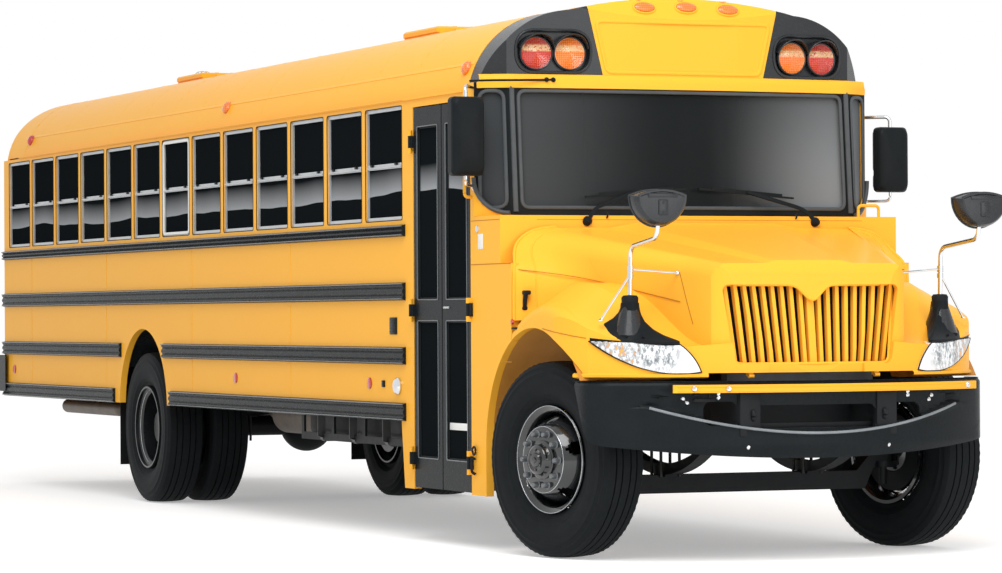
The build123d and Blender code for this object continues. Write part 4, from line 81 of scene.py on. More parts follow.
class Value:
    """A socket of a material's nodes, for maths written as plain expressions."""

    def __init__(self, finish, socket):
        self.finish = finish
        self.socket = socket

    def maths(self, operation, *others):
        """A Math node on this value and the others."""
        return self.finish.node(
            "ShaderNodeMath", {"operation": operation}, {0: self, **dict(enumerate(others, 1))}
        )

    def __add__(self, other):
        return self.maths("ADD", other)

    def __mul__(self, other):
        return self.maths("MULTIPLY", other)

    def __sub__(self, other):
        return self.maths("SUBTRACT", other)

    def __rsub__(self, other):
        return self.finish.node("ShaderNodeMath", {"operation": "SUBTRACT"}, {0: other, 1: self})

    def __truediv__(self, other):
        return self.maths("DIVIDE", other)

    def __pow__(self, other):
        return self.maths("POWER", other)

    def __gt__(self, other):
        return self.maths("GREATER_THAN", other)

    def __lt__(self, other):
        return self.maths("LESS_THAN", other)

    def __abs__(self):
        return self.maths("ABSOLUTE")

    __radd__ = __add__
    __rmul__ = __mul__

    def wave(self):
        """The sine of this value."""
        return self.maths("SINE")

    def held(self):
        """This value kept from 0 to 1."""
        return self.maths("MINIMUM", 1.0).maths("MAXIMUM", 0.0)

    def soft(self, low, high):
        """0 below the low end, 1 above the high end, and smooth between."""
        return self.finish.node(
            "ShaderNodeMapRange",
            {"interpolation_type": "SMOOTHSTEP"},
            {"Value": self, "From Min": low, "From Max": high, "To Min": 0.0, "To Max": 1.0},
        )


class Finish:
    """A procedural material. Its nodes come from node(), and values from them are Value objects."""

    def __init__(self, name, **shader):
        self.material = bpy.data.materials.new(name)
        self.material.use_nodes = True
        self.tree = self.material.node_tree
        self.tree.nodes.clear()
        self.shader = self.tree.nodes.new("ShaderNodeBsdfPrincipled")
        self.output = self.tree.nodes.new("ShaderNodeOutputMaterial")
        self.tree.links.new(self.shader.outputs[0], self.output.inputs["Surface"])
        self.feed(self.shader, {key.replace("_", " "): value for key, value in shader.items()})
        self.place = self.node("ShaderNodeTexCoord", out="Object")

    def feed(self, node, inputs):
        """Sets or links the sockets of a node."""
        for key, value in inputs.items():
            socket = node.inputs[key]
            if isinstance(value, Value):
                self.tree.links.new(value.socket, socket)
            elif socket.type == "RGBA" and len(value) == 3:
                socket.default_value = (*value, 1.0)
            else:
                socket.default_value = value

    def node(self, kind, settings=None, inputs=None, out=0):
        """One node of the given type: its settings, then the values or links of its sockets."""
        node = self.tree.nodes.new(kind)
        for key, value in (settings or {}).items():
            if key == "stops":
                ramp = node.color_ramp
                while len(ramp.elements) < len(value):
                    ramp.elements.new(1.0)
                for element, (place, colour) in zip(ramp.elements, value):
                    element.position = place
                    element.color = colour
            else:
                setattr(node, key, value)
        self.feed(node, inputs or {})
        return Value(self, node.outputs[out])

    def axes(self, place=None):
        """The three numbers of a place: x, y and z."""
        vector = place or self.place
        return [self.node("ShaderNodeSeparateXYZ", inputs={0: vector}, out=index) for index in range(3)]

    def stretched(self, x, y, z, place=None):
        """The place multiplied along each axis."""
        return self.node(
            "ShaderNodeVectorMath", {"operation": "MULTIPLY"}, {0: place or self.place, 1: (x, y, z)}
        )

    def noise(self, scale, detail=2.0, rough=0.5, place=None):
        """Cloudy noise from 0 to 1."""
        return self.node(
            "ShaderNodeTexNoise",
            inputs={"Vector": place or self.place, "Scale": scale, "Detail": detail, "Roughness": rough},
        )

    def blend(self, factor, first, second):
        """A colour between two."""
        return self.node(
            "ShaderNodeMix",
            {"data_type": "RGBA"},
            {0: factor, 6: first, 7: second},
            out=2,
        )

    def colour(self, value):
        """Sets what feeds the base colour."""
        self.feed(self.shader, {"Base Color": value})

    def rough(self, value):
        """Sets what feeds the roughness."""
        self.feed(self.shader, {"Roughness": value})

    def bump(self, height, distance, strength=1.0):
        """Relief of the given height in metres."""
        normal = self.node(
            "ShaderNodeBump", inputs={"Height": height, "Distance": distance, "Strength": strength}
        )
        self.feed(self.shader, {"Normal": normal})


# Finishes

finishes = {}


def body_paint():
    """Glossy yellow enamel on sheet metal, with faint waves and road dust low down."""
    paint = Finish("body_yellow", Specular_IOR_Level=0.04, Coat_Weight=0.04, Coat_Roughness=0.06)
    shade = bpy.context.scene.bus_colours
    _, _, z = paint.axes()
    dust = (1 - z.soft(0.3, 1.1)) * paint.noise(3.0, 6.0, 0.6)
    cloud = paint.noise(0.9, 3.0)
    base = paint.blend(cloud * 0.35, shade.yellow, shade.yellow_deep)
    paint.colour(paint.blend(dust * 0.22, base, linear(176, 132, 66)))
    paint.rough(0.26 + paint.noise(60.0, 3.0) * 0.1 + dust * 0.3)
    sheet = paint.noise(2.2, 2.0, place=paint.stretched(1.0, 1.0, 0.5))
    peel = paint.noise(420.0, 2.0)
    paint.bump(sheet + peel * 0.03, 0.003, 0.35)
    return paint


def plain_finish(name, colour, second, rough, scale, grain=0.0, **shader):
    """A finish of two mixed shades with a fine grain, for mouldings, castings and plain metal."""
    finish = Finish(name, **shader)
    cloud = finish.noise(scale, 5.0, 0.6)
    finish.colour(finish.blend(cloud, colour, second))
    finish.rough(rough + (finish.noise(scale * 7, 3.0) - 0.5) * 0.16)
    if grain:
        finish.bump(finish.noise(scale * 30, 3.0), grain)
    return finish


def side_glass_finish():
    """Dark side glass with a painted reflection: a pale band of sky over a line of far hills."""
    glass = Finish("tinted_glass", Specular_IOR_Level=0.0, Alpha=0.985)
    _, _, z = glass.axes()
    # Painted reflection: the glass turns pale just above a wavy line of hills and fades back to dark higher
    # up.
    painted_hill_line = glass.noise(0.5, 3.0, 0.5, place=glass.stretched(1.0, 0.0, 0.0)) * 0.17 + 1.915
    painted_sky_band = 1 - ((z - painted_hill_line) / 0.15).held()
    glass.colour(glass.blend(painted_sky_band * (z > painted_hill_line), linear(21, 25, 27), linear(158, 161, 164)))
    glass.rough(0.03 + glass.noise(9.0, 3.0) * 0.03)
    return glass


def windscreen_finish():
    """Clear dark glass with a painted reflection of the sky, paler towards the left of the bus and low down.
    """
    glass = Finish("clear_glass", Specular_IOR_Level=0.04, Alpha=0.9)
    _, y, z = glass.axes()
    # Painted reflection of the sky: pale on the left side and fading higher up, faint on the right.
    left = y.soft(0.1, 1.1) * (1 - z.soft(1.95, 2.75) * 0.55)
    right = (0 - y).soft(0.1, 1.1) * 0.16
    glass.colour(glass.blend((left * 0.8 + right).held(), linear(25, 29, 31), linear(150, 155, 159)))
    glass.rough(0.03 + glass.noise(9.0, 3.0) * 0.03)
    return glass


def lens_finish(name, colour, deep):
    """Moulded lens plastic with fine ribs across it."""
    lens = Finish(name, Roughness=0.12, Specular_IOR_Level=0.6, Coat_Weight=0.5, Coat_Roughness=0.05)
    _, y, z = lens.axes()
    ribs = (y * 520.0).wave() * 0.5 + (z * 520.0).wave() * 0.5
    lens.colour(lens.blend((ribs * 0.5 + 0.5).held(), deep, colour))
    lens.rough(0.1 + lens.noise(40.0) * 0.08)
    lens.bump(ribs, 0.0012, 0.6)
    return lens


def headlamp_finish():
    """A clear moulded headlamp with a painted reflection: silver bowls and dark facets, darker towards the
    top, a painted highlight that leaves the bend bright, and amber near the tip.
    """
    lamp = Finish("headlamp_lens", Coat_Weight=0.5, Coat_Roughness=0.04)
    _, y, z = lamp.axes()
    wide = abs(y)
    facets = lamp.noise(46.0, 4.0, 0.7, place=lamp.stretched(1.0, 1.0, 0.6))
    # Painted reflection: dark facets show only outside the bend, which the painted highlight leaves all
    # bright, and they are darker towards the top.
    depth = facets.soft(0.40, 0.62) * wide.soft(0.70, 0.80)
    edge = z.soft(1.005, 1.05) * 0.5 + 0.5
    painted_reflection = lamp.blend(depth * edge, linear(240, 242, 243), linear(112, 120, 126))
    amber = facets.soft(0.56, 0.6) * wide.soft(0.92, 0.97) * (1 - wide.soft(1.05, 1.10))
    lamp.colour(lamp.blend(amber, painted_reflection, linear(244, 170, 78)))
    lamp.rough(0.12 + facets * 0.12)
    lamp.bump(facets, 0.0012, 0.5)
    return lamp


def warning_finish(name, colour, deep):
    """A warning lamp's ribbed lens with a painted glint of the sky across its upper half."""
    lens = lens_finish(name, colour, deep)
    _, y, z = lens.axes()
    fleck = lens.noise(90.0, 3.0)
    # Painted highlight: a pale band across the lens's upper half, broken up by the fleck noise.
    glint = z.soft(2.758, 2.768) * (1 - z.soft(2.792, 2.806)) * fleck.soft(0.34, 0.5)
    ribs = ((y * 520.0).wave() * 0.25 + (z * 520.0).wave() * 0.25 + 0.5).held()
    lens.colour(lens.blend(glint * 0.85, lens.blend(ribs, deep, colour), linear(228, 196, 146)))
    return lens


def body_lamp_finish(amber, red):
    """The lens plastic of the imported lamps, red or amber by where each lamp stands."""
    lens = Finish("lamp_lens", Specular_IOR_Level=0.6, Coat_Weight=0.5, Coat_Roughness=0.05)
    x, y, z = lens.axes()
    outer = abs(y) > 0.79
    front = (x > 0.0) * outer * (z < 2.9)
    high = (z > 2.9).maths("MAXIMUM", (z > 2.0) * outer)
    upper = (z > 1.42) * (z < 2.0)
    rear = (x < 0.0) * high.maths("MAXIMUM", upper)
    lens.colour(lens.blend(front.maths("MAXIMUM", rear), amber, red))
    lens.rough(0.1 + lens.noise(40.0) * 0.08)
    lens.bump((y * 520.0).wave() * 0.5 + (z * 520.0).wave() * 0.5, 0.0012, 0.6)
    return lens


def make_finishes():
    """All finishes by name."""
    finishes["body_yellow"] = body_paint()
    table = (
        (
            "body_black", linear(34, 38, 40), linear(26, 29, 31), 0.28, 5.0, 0.0002,
            {"Specular_IOR_Level": 0.06},
        ),
        (
            "pod_black", linear(38, 41, 44), linear(28, 31, 33), 0.26, 8.0, 0.0003,
            {"Specular_IOR_Level": 0.4},
        ),
        (
            "trim_black", linear(31, 35, 37), linear(23, 26, 28), 0.36, 9.0, 0.0003,
            {"Specular_IOR_Level": 0.06},
        ),
        (
            "rubber_seal", linear(34, 37, 39), linear(25, 28, 30), 0.55, 12.0, 0.0003,
            {"Specular_IOR_Level": 0.08},
        ),
        (
            "screen_rubber", linear(82, 86, 89), linear(62, 66, 69), 0.5, 12.0, 0.0003,
            {"Specular_IOR_Level": 0.3},
        ),
        # Pale grey on the rails' ribs: a painted highlight on their rolled edges.
        (
            "rail_edge", linear(128, 133, 136), linear(70, 75, 78), 0.3, 14.0, 0.0002,
            {"Specular_IOR_Level": 0.4},
        ),
        ("sash_bright", linear(206, 209, 211), linear(170, 174, 177), 0.34, 6.0, 0.0001, {"Metallic": 0.3}),
        ("door_edge", linear(122, 127, 130), linear(84, 89, 92), 0.34, 6.0, 0.0001, {"Metallic": 0.3}),
        (
            "chassis_black", linear(26, 29, 31), linear(16, 18, 20), 0.55, 4.0, 0.0006,
            {"Specular_IOR_Level": 0.2},
        ),
        ("bare_iron", linear(58, 59, 58), linear(34, 33, 32), 0.6, 7.0, 0.0008, {"Metallic": 0.4}),
        ("core_metal", linear(96, 98, 100), linear(60, 62, 64), 0.5, 9.0, 0.0004, {"Metallic": 0.5}),
        (
            "floor_covering", linear(44, 46, 48), linear(30, 32, 34), 0.7, 30.0, 0.0006,
            {"Specular_IOR_Level": 0.2},
        ),
        (
            "wheel_grey", linear(26, 29, 31), linear(17, 19, 21), 0.3, 6.0, 0.0003,
            {"Specular_IOR_Level": 0.5},
        ),
        ("wheel_gloss", linear(24, 27, 29), linear(16, 18, 20), 0.14, 6.0, 0.0, {"Coat_Weight": 0.6}),
        ("bright_metal", linear(228, 230, 232), linear(196, 199, 202), 0.14, 5.0, 0.0001, {"Metallic": 1.0}),
        ("sign_red", linear(186, 26, 24), linear(168, 20, 20), 0.4, 6.0, 0.0001, {}),
        ("exhaust_steel", linear(112, 104, 96), linear(74, 64, 56), 0.5, 8.0, 0.0006, {"Metallic": 0.8}),
        (
            "flap_rubber", linear(22, 24, 25), linear(15, 16, 17), 0.68, 10.0, 0.0008,
            {"Specular_IOR_Level": 0.15},
        ),
        ("nut_grey", linear(126, 130, 133), linear(88, 92, 95), 0.36, 14.0, 0.0002, {"Metallic": 0.6}),
        ("pale_frame", linear(240, 240, 236), linear(222, 223, 220), 0.4, 6.0, 0.0002, {}),
        # Orange-brown: a painted shade for the joints between panels.
        (
            "seam_shade", linear(206, 140, 48), linear(168, 108, 34), 0.6, 9.0, 0.0,
            {"Specular_IOR_Level": 0.1},
        ),
        # Orange: the paint's yellow darkened as a painted shade, for the arch liners.
        ("liner_shade", linear(206, 142, 52), linear(176, 116, 42), 0.5, 7.0, 0.0004, {}),
        # Bright grey: a painted highlight on the wheels' rim beads, and the dials' own metal.
        ("rim_edge", linear(196, 200, 203), linear(150, 155, 158), 0.25, 10.0, 0.0001, {"Metallic": 0.8}),
        # Pale grey on the bumper's black lip: a painted highlight.
        ("bumper_edge", linear(150, 156, 160), linear(88, 93, 97), 0.25, 5.0, 0.0002, {}),
        ("mirror_glass", linear(176, 184, 190), linear(150, 158, 164), 0.04, 3.0, 0.0, {"Metallic": 1.0}),
    )
    for name, colour, second, rough, scale, grain, shader in table:
        finishes[name] = plain_finish(name, colour, second, rough, scale, grain, **shader)
    finishes["tinted_glass"] = side_glass_finish()
    finishes["clear_glass"] = windscreen_finish()
    amber, red = linear(240, 138, 34), linear(206, 48, 34)
    finishes["lamp_lens"] = body_lamp_finish(amber, red)
    finishes["amber_lens"] = lens_finish("amber_lens", amber, linear(216, 96, 22))
    finishes["red_lens"] = lens_finish("red_lens", red, linear(164, 28, 22))
    finishes["headlamp_lens"] = headlamp_finish()
    finishes["warning_red"] = warning_finish("warning_red", linear(214, 70, 48), linear(168, 34, 26))
    finishes["warning_amber"] = warning_finish("warning_amber", linear(244, 148, 44), linear(222, 90, 26))
    finishes["seat_cover"] = plain_finish(
        "seat_cover", linear(58, 66, 78), linear(44, 50, 60), 0.55, 18.0, 0.0008, Sheen_Weight=0.2
    )
    finishes["tyre_rubber"] = plain_finish(
        "tyre_rubber", linear(32, 35, 37), linear(22, 25, 27), 0.6, 22.0, 0.0006, Specular_IOR_Level=0.06
    )


# Properties


class BusColours(bpy.types.PropertyGroup):
    """Colours of the paint and the lamps."""

    yellow: bpy.props.FloatVectorProperty(
        name="Body yellow",
        description="Main colour of the body paint",
        default=linear(255, 186, 60),
        size=4,
        subtype="COLOR",
        min=0.0,
        max=1.0,
    )
    yellow_deep: bpy.props.FloatVectorProperty(
        name="Deep yellow",
        description="Second shade of the body paint, where it lies thicker",
        default=linear(250, 176, 52),
        size=4,
        subtype="COLOR",
        min=0.0,
        max=1.0,
    )


class BusStage(bpy.types.PropertyGroup):
    """The camera's lens and the light."""

    lens: bpy.props.FloatProperty(
        name="Lens",
        description="Focal length of the camera on a 36 mm sensor",
        default=137.36,
        min=10.0,
        subtype="DISTANCE_CAMERA",
    )
    sky: bpy.props.FloatProperty(
        name="Sky",
        description="Strength of the even light from all round",
        default=0.72,
        min=0.0,
    )
    key: bpy.props.FloatProperty(
        name="Key light",
        description="Power of the large soft lamp above the front",
        default=1500.0,
        min=0.0,
        subtype="POWER",
    )


# Stage

CAMERA_PLACE = at(18.8209, -9.1858, 1.2937)
CAMERA_YAW = 22.5008
CAMERA_PITCH = 0.4441
CAMERA_ROLL = -0.3311


STAGE_LAMPS = (
    ("key", (11.0, -5.0, 11.0), (2.0, 0.0, 1.2), 0.75),
    ("front", (17.0, 3.0, 4.0), (0.0, 0.0, 1.2), 0.22),
)
LAMP_SIZE = 8.0
FLOOR_RADIUS = 60.0
FLOOR_THICK = 0.05
FLOOR_GLOW = 0.35


class BUS_OT_stage(bpy.types.Operator):
    """Sets the camera, the floor, the sky and the lamps"""

    bl_idname = "bus.stage"
    bl_label = "Stage"

    def execute(self, context):
        scene = context.scene
        scene.view_settings.view_transform = "Standard"
        settings = scene.bus_stage
        self.camera(scene, settings)
        self.sky(scene, settings)
        self.floor()
        for name, place, target, share in STAGE_LAMPS:
            self.lamp(name, place, target, LAMP_SIZE, settings.key * share)
        return {"FINISHED"}

    def camera(self, scene, settings):
        """The camera at the photograph's place and angle."""
        yaw, pitch, roll = (math.radians(angle) for angle in (CAMERA_YAW, CAMERA_PITCH, CAMERA_ROLL))
        ahead = Vector((-math.cos(yaw) * math.cos(pitch), math.sin(yaw) * math.cos(pitch), math.sin(pitch)))
        right = ahead.cross(Vector((0, 0, 1))).normalized()
        up = right.cross(ahead)
        turned_right = math.cos(roll) * right + math.sin(roll) * up
        turned_up = math.cos(roll) * up - math.sin(roll) * right
        data = bpy.data.cameras.new("camera")
        data.sensor_width = 36.0
        data.lens = settings.lens
        data.clip_end = 200.0
        camera = bpy.data.objects.new("camera", data)
        scene.collection.objects.link(camera)
        turn = Matrix((turned_right, turned_up, -ahead)).transposed().to_4x4()
        camera.matrix_world = Matrix.Translation(CAMERA_PLACE) @ turn
        scene.camera = camera

    def sky(self, scene, settings):
        """Even white light, with a plain white background for the camera and for gloss."""
        world = bpy.data.worlds.new("sky")
        world.use_nodes = True
        scene.world = world
        tree = world.node_tree
        tree.nodes.clear()
        path = tree.nodes.new("ShaderNodeLightPath")
        low = tree.nodes.new("ShaderNodeBackground")
        low.inputs["Color"].default_value = (1.0, 1.0, 1.0, 1.0)
        low.inputs["Strength"].default_value = settings.sky
        plain = tree.nodes.new("ShaderNodeBackground")
        plain.inputs["Color"].default_value = (1.0, 1.0, 1.0, 1.0)
        plain.inputs["Strength"].default_value = 1.0
        seen = path.outputs["Is Camera Ray"]
        for ray in ("Is Transmission Ray", "Is Glossy Ray"):
            either = tree.nodes.new("ShaderNodeMath")
            either.operation = "MAXIMUM"
            tree.links.new(seen, either.inputs[0])
            tree.links.new(path.outputs[ray], either.inputs[1])
            seen = either.outputs[0]
        mix = tree.nodes.new("ShaderNodeMixShader")
        tree.links.new(seen, mix.inputs[0])
        tree.links.new(low.outputs[0], mix.inputs[1])
        tree.links.new(plain.outputs[0], mix.inputs[2])
        output = tree.nodes.new("ShaderNodeOutputWorld")
        tree.links.new(mix.outputs[0], output.inputs[0])

    def floor(self):
        """A wide pale floor that takes the shadow and runs out into the white background."""
        form = Form()
        outline = [Vector((a, b, -FLOOR_THICK)) for a, b in ring(FLOOR_RADIUS, 64)]
        form.slab(outline, (0, 0, FLOOR_THICK))
        floor = form.object("floor")
        finish = Finish("floor_pale", Roughness=0.9, Specular_IOR_Level=0.0)
        grain = finish.noise(3.0, 4.0)
        finish.colour(finish.blend(grain * 0.04, linear(246, 246, 246), linear(236, 236, 236)))
        finish.feed(finish.shader, {"Emission Color": (1.0, 1.0, 1.0)})
        rays = [
            finish.node("ShaderNodeLightPath", out=f"Is {kind} Ray")
            for kind in ("Camera", "Glossy", "Transmission")
        ]
        seen = rays[0].maths("MAXIMUM", rays[1]).maths("MAXIMUM", rays[2])
        finish.feed(finish.shader, {"Emission Strength": seen * FLOOR_GLOW})
        floor.data.materials.append(finish.material)

    def lamp(self, name, place, target, size, power):
        """One large square soft lamp."""
        data = bpy.data.lights.new(name, "AREA")
        data.shape = "SQUARE"
        data.size = size
        data.energy = power
        lamp = bpy.data.objects.new(name, data)
        bpy.context.scene.collection.objects.link(lamp)
        aim = Vector(target) - Vector(place)
        lamp.matrix_world = Matrix.Translation(place) @ aim.to_track_quat("-Z", "Y").to_matrix().to_4x4()


# Mesh making


class Form:
    """A mesh being made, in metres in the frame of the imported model."""

    def __init__(self):
        self.bm = bmesh.new()
        self.layer = 0

    def face(self, verts):
        """One face on verts that are already there."""
        try:
            face = self.bm.faces.new(verts)
        except ValueError:
            return
        face.material_index = self.layer

    def rows(self, rows, closed=False, looped=False):
        """A skin over rows of points: closed joins each row's ends, looped joins the last to the first."""
        made = [[self.bm.verts.new(point) for point in row] for row in rows]
        pairs = list(zip(made, made[1:])) + ([(made[-1], made[0])] if looped else [])
        for low, high in pairs:
            count = len(low)
            for index in range(count if closed else count - 1):
                after = (index + 1) % count
                self.face((low[index], low[after], high[after], high[index]))
        return made

    def slab(self, outline, depth):
        """A flat outline of points pushed along a vector, with both ends shut."""
        depth = Vector(depth)
        low, high = self.rows([outline, [Vector(point) + depth for point in outline]], closed=True)
        self.face(list(reversed(low)))
        self.face(high)

    def block(self, low, high, bevel=0.0):
        """A block between two corners, its edges rounded by the bevel."""
        (x0, y0, z0), (x1, y1, z1) = low, high
        base = [Vector((x0, y0, z0)), Vector((x1, y0, z0)), Vector((x1, y1, z0)), Vector((x0, y1, z0))]
        before = set(self.bm.verts)
        self.slab(base, (0, 0, z1 - z0))
        if bevel:
            edges = [
                edge
                for edge in self.bm.edges if edge.verts[0] not in before and edge.verts[1] not in before
            ]
            bmesh.ops.bevel(self.bm, geom=edges, offset=bevel, segments=2, profile=0.5, affect="EDGES")

    def lathe(self, centre, axis, profile, steps=32):
        """A profile of (radius, height) turned about an axis through the centre."""
        axis = Vector(axis).normalized()
        side = axis.orthogonal().normalized()
        other = axis.cross(side)
        rings = []
        for radius, height in profile:
            ring = []
            for step in range(steps):
                angle = 2 * math.pi * step / steps
                ring.append(
                    centre + axis * height + radius * (math.cos(angle) * side + math.sin(angle) * other)
                )
            rings.append(ring)
        made = self.rows(rings, closed=True)
        for ring, (radius, _) in ((made[0], profile[0]), (made[-1], profile[-1])):
            if radius < 1e-6:
                bmesh.ops.remove_doubles(self.bm, verts=ring, dist=1e-6)
            else:
                self.face(ring)

    def sweep(self, path, section, closed=False, up=(0, 0, 1)):
        """A section of (across, upward) points carried along a path, mitred at its bends."""
        rings = []
        count = len(path)
        for index, point in enumerate(path):
            before = path[index - 1] if index or closed else None
            after = path[(index + 1) % count] if index < count - 1 or closed else None
            into = (point - before).normalized() if before is not None else None
            out = (after - point).normalized() if after is not None else None
            along = ((into or out) + (out or into)).normalized()
            upward = Vector(up)
            if abs(along.dot(upward)) > 0.98:
                upward = Vector((1, 0, 0)) if abs(along.x) < 0.9 else Vector((0, 1, 0))
            across = along.cross(upward).normalized()
            upright = across.cross(along).normalized()
            stretch = 1.0
            if into is not None and out is not None:
                stretch = 1.0 / max(0.5, math.sqrt((1 + into.dot(out)) / 2))
            turn = (out - into) if into is not None and out is not None else Vector()
            ring = []
            for a, u in section:
                offset = across * a + upright * u
                if turn.length > 1e-4:
                    inward = turn.normalized()
                    offset += inward * offset.dot(inward) * (stretch - 1)
                ring.append(point + offset)
            rings.append(ring)
        made = self.rows(rings, closed=True, looped=closed)
        if not closed:
            self.face(list(reversed(made[0])))
            self.face(made[-1])

    def tube(self, path, radius, sides=10, closed=False):
        """A round bar along a path."""
        section = []
        for step in range(sides):
            angle = 2 * math.pi * step / sides
            section.append((radius * math.cos(angle), radius * math.sin(angle)))
        self.sweep(path, section, closed)

    def dome(self, place, normal, radius, height, steps=8):
        """A low round head, such as a rivet's or a screw's."""
        profile = [
            (radius, 0.0), (radius * 0.86, height * 0.6), (radius * 0.45, height * 0.95), (0.0, height)
        ]
        self.lathe(place, normal, profile, steps)

    def object(self, name, smooth=40.0):
        """The finished mesh as an object in the scene, smooth but for its sharp edges."""
        bmesh.ops.recalc_face_normals(self.bm, faces=self.bm.faces)
        mesh = bpy.data.meshes.new(name)
        self.bm.to_mesh(mesh)
        self.bm.free()
        mesh.polygons.foreach_set("use_smooth", [True] * len(mesh.polygons))
        mesh.set_sharp_from_angle(angle=math.radians(smooth))
        piece = bpy.data.objects.new(name, mesh)
        bpy.context.scene.collection.objects.link(piece)
        return piece

    def piece(self, name, body, *looks, smooth=40.0, slot=None):
        """The finished mesh as a piece of the bus, which rides on a body."""
        piece = self.object(name, smooth)
        for look in looks:
            piece.data.materials.append(finishes[look].material)
        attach(piece, body)
        return piece


def rounded(points, radius, steps=6, closed=False):
    """A path with its corners turned into arcs."""
    count = len(points)
    path = []
    for index, point in enumerate(points):
        if not closed and index in (0, count - 1):
            path.append(Vector(point))
            continue
        point = Vector(point)
        back = Vector(points[index - 1]) - point
        ahead = Vector(points[(index + 1) % count]) - point
        reach = min(radius, back.length * 0.49, ahead.length * 0.49)
        start = point + back.normalized() * reach
        end = point + ahead.normalized() * reach
        for step in range(steps + 1):
            share = step / steps
            path.append((1 - share) ** 2 * start + 2 * share * (1 - share) * point + share**2 * end)
    return path


# The CAD nodes' own finishes


class BUS_OT_finishes(bpy.types.Operator):
    """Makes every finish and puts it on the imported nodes"""

    bl_idname = "bus.finishes"
    bl_label = "Finishes"

    def execute(self, context):
        make_finishes()
        for node in frame["nodes"].values():
            for place in node.material_slots:
                name = place.material.name.split(".")[0]
                if name not in finishes:
                    raise RuntimeError(f"no finish is made for {name}")
                place.material = finishes[name].material
        return {"FINISHED"}


# Surfaces that pieces lie on


def arc_through(first, middle, last, steps):
    """Points of the arc through three places in a plane."""
    (ax, ay), (bx, by), (cx, cy) = first, middle, last
    d = 2 * (ax * (by - cy) + bx * (cy - ay) + cx * (ay - by))
    ux = ((ax**2 + ay**2) * (by - cy) + (bx**2 + by**2) * (cy - ay) + (cx**2 + cy**2) * (ay - by)) / d
    uy = ((ax**2 + ay**2) * (cx - bx) + (bx**2 + by**2) * (ax - cx) + (cx**2 + cy**2) * (bx - ax)) / d
    radius = math.hypot(ax - ux, ay - uy)
    start = math.atan2(ay - uy, ax - ux)
    turn = [(math.atan2(y - uy, x - ux) - start) % (2 * math.pi) for x, y in (middle, last)]
    sweep = turn[1] if turn[0] < turn[1] else turn[1] - 2 * math.pi
    angles = [start + sweep * step / steps for step in range(steps + 1)]
    return [(ux + radius * math.cos(angle), uy + radius * math.sin(angle)) for angle in angles]


CORNER_PLAN = (
    (0.3, HALF), (0.44, 1.19), (0.56, 1.135), (0.735, 0.955), (0.85, 0.74), (0.925, 0.5), (0.965, 0.0)
)
corner_line = [
    place for start in (0, 2, 4) for place in arc_through(*CORNER_PLAN[start : start + 3], 12)
]


def corner_x(y):
    """How far forward the fenders and the nose reach at a half-width."""
    wide = min(abs(y), HALF)
    for (x0, y0), (x1, y1) in zip(corner_line, corner_line[1:]):
        if y1 <= wide <= y0 and y0 > y1:
            return x0 + (x1 - x0) * (y0 - wide) / (y0 - y1)
    return corner_line[-1][0]


def bow_x(y, radius, front):
    """A bowed bumper's or arm's face at a half-width."""
    return front - radius + math.sqrt(radius**2 - y**2)


def hood_half(x):
    """Half the hood's width."""
    return 0.985 - (x + 0.262) * 0.36933


def hood_top(x):
    """Height of the hood's flat top beside its raised middle."""
    return 1.752 - (x + 0.262) * 0.16473


def screen_x(y, z):
    """The front face of the windscreen's frame, which is bowed and leans back."""
    lean = 0.06 * (z - 1.845) / 0.745
    wide = abs(y)
    if wide <= 1.06:
        return -0.572 - (9.393 - math.sqrt(9.393**2 - wide**2)) - lean
    share = (wide - 1.06) / 0.159
    return -0.632 - lean + (-0.158 + lean) * share


def cap_x(y):
    """The front cap's face below its rounded top."""
    return -0.638 - 0.06 * (y / 1.06) ** 2


ROOF_LINE = arc_through((1.188, 2.56), (1.035, 2.85), (0.7, 2.995), 10) + arc_through(
    (0.7, 2.995), (0.0, 3.078), (-0.7, 2.995), 16
)[1:] + arc_through((-0.7, 2.995), (-1.035, 2.85), (-1.188, 2.56), 10)[1:]


def roof_arch(proud, low=0.0):
    """The roof's outside line from side to side, lifted off the skin."""
    points = []
    for index, (y, z) in enumerate(ROOF_LINE):
        before, after = ROOF_LINE[max(index - 1, 0)], ROOF_LINE[min(index + 1, len(ROOF_LINE) - 1)]
        run = Vector((after[0] - before[0], after[1] - before[1])).normalized()
        if z >= low:
            points.append((y - run.y * -proud, z + run.x * -proud))
    return points


BOX = [(-1, -1), (1, -1), (1, 1), (-1, 1)]


def strip(width, height):
    """A flat section with softened upper edges, standing on the surface."""
    half, soft = width / 2, min(width, height) * 0.3
    return [
        (-half, -0.002),
        (half, -0.002),
        (half, height - soft),
        (half - soft, height),
        (soft - half, height),
        (-half, height - soft),
    ]


def ring(radius, count):
    """Points evenly round a circle."""
    return [
        (radius * math.cos(2 * math.pi * step / count), radius * math.sin(2 * math.pi * step / count))
        for step in range(count)
    ]


# Body sides and roof

WINDOW_FRONT = -1.903
WINDOW_PITCH = 0.67
WINDOW_WIDE = 0.606
WINDOWS = 13
EMERGENCY_WINDOW = 6
RAILS_RIGHT_END = -1.856
RAILS_LEFT_END = -0.95
SIDE_FRONT = {-1: RAILS_RIGHT_END, 1: RAILS_LEFT_END}
SIDE_REFLECTORS = (-2.453, -4.95, -10.4)
SIDE_REFLECTOR_Z = 0.90


def window_middle(number):
    """Middle of one side window along the bus."""
    return WINDOW_FRONT - number * WINDOW_PITCH - WINDOW_WIDE / 2


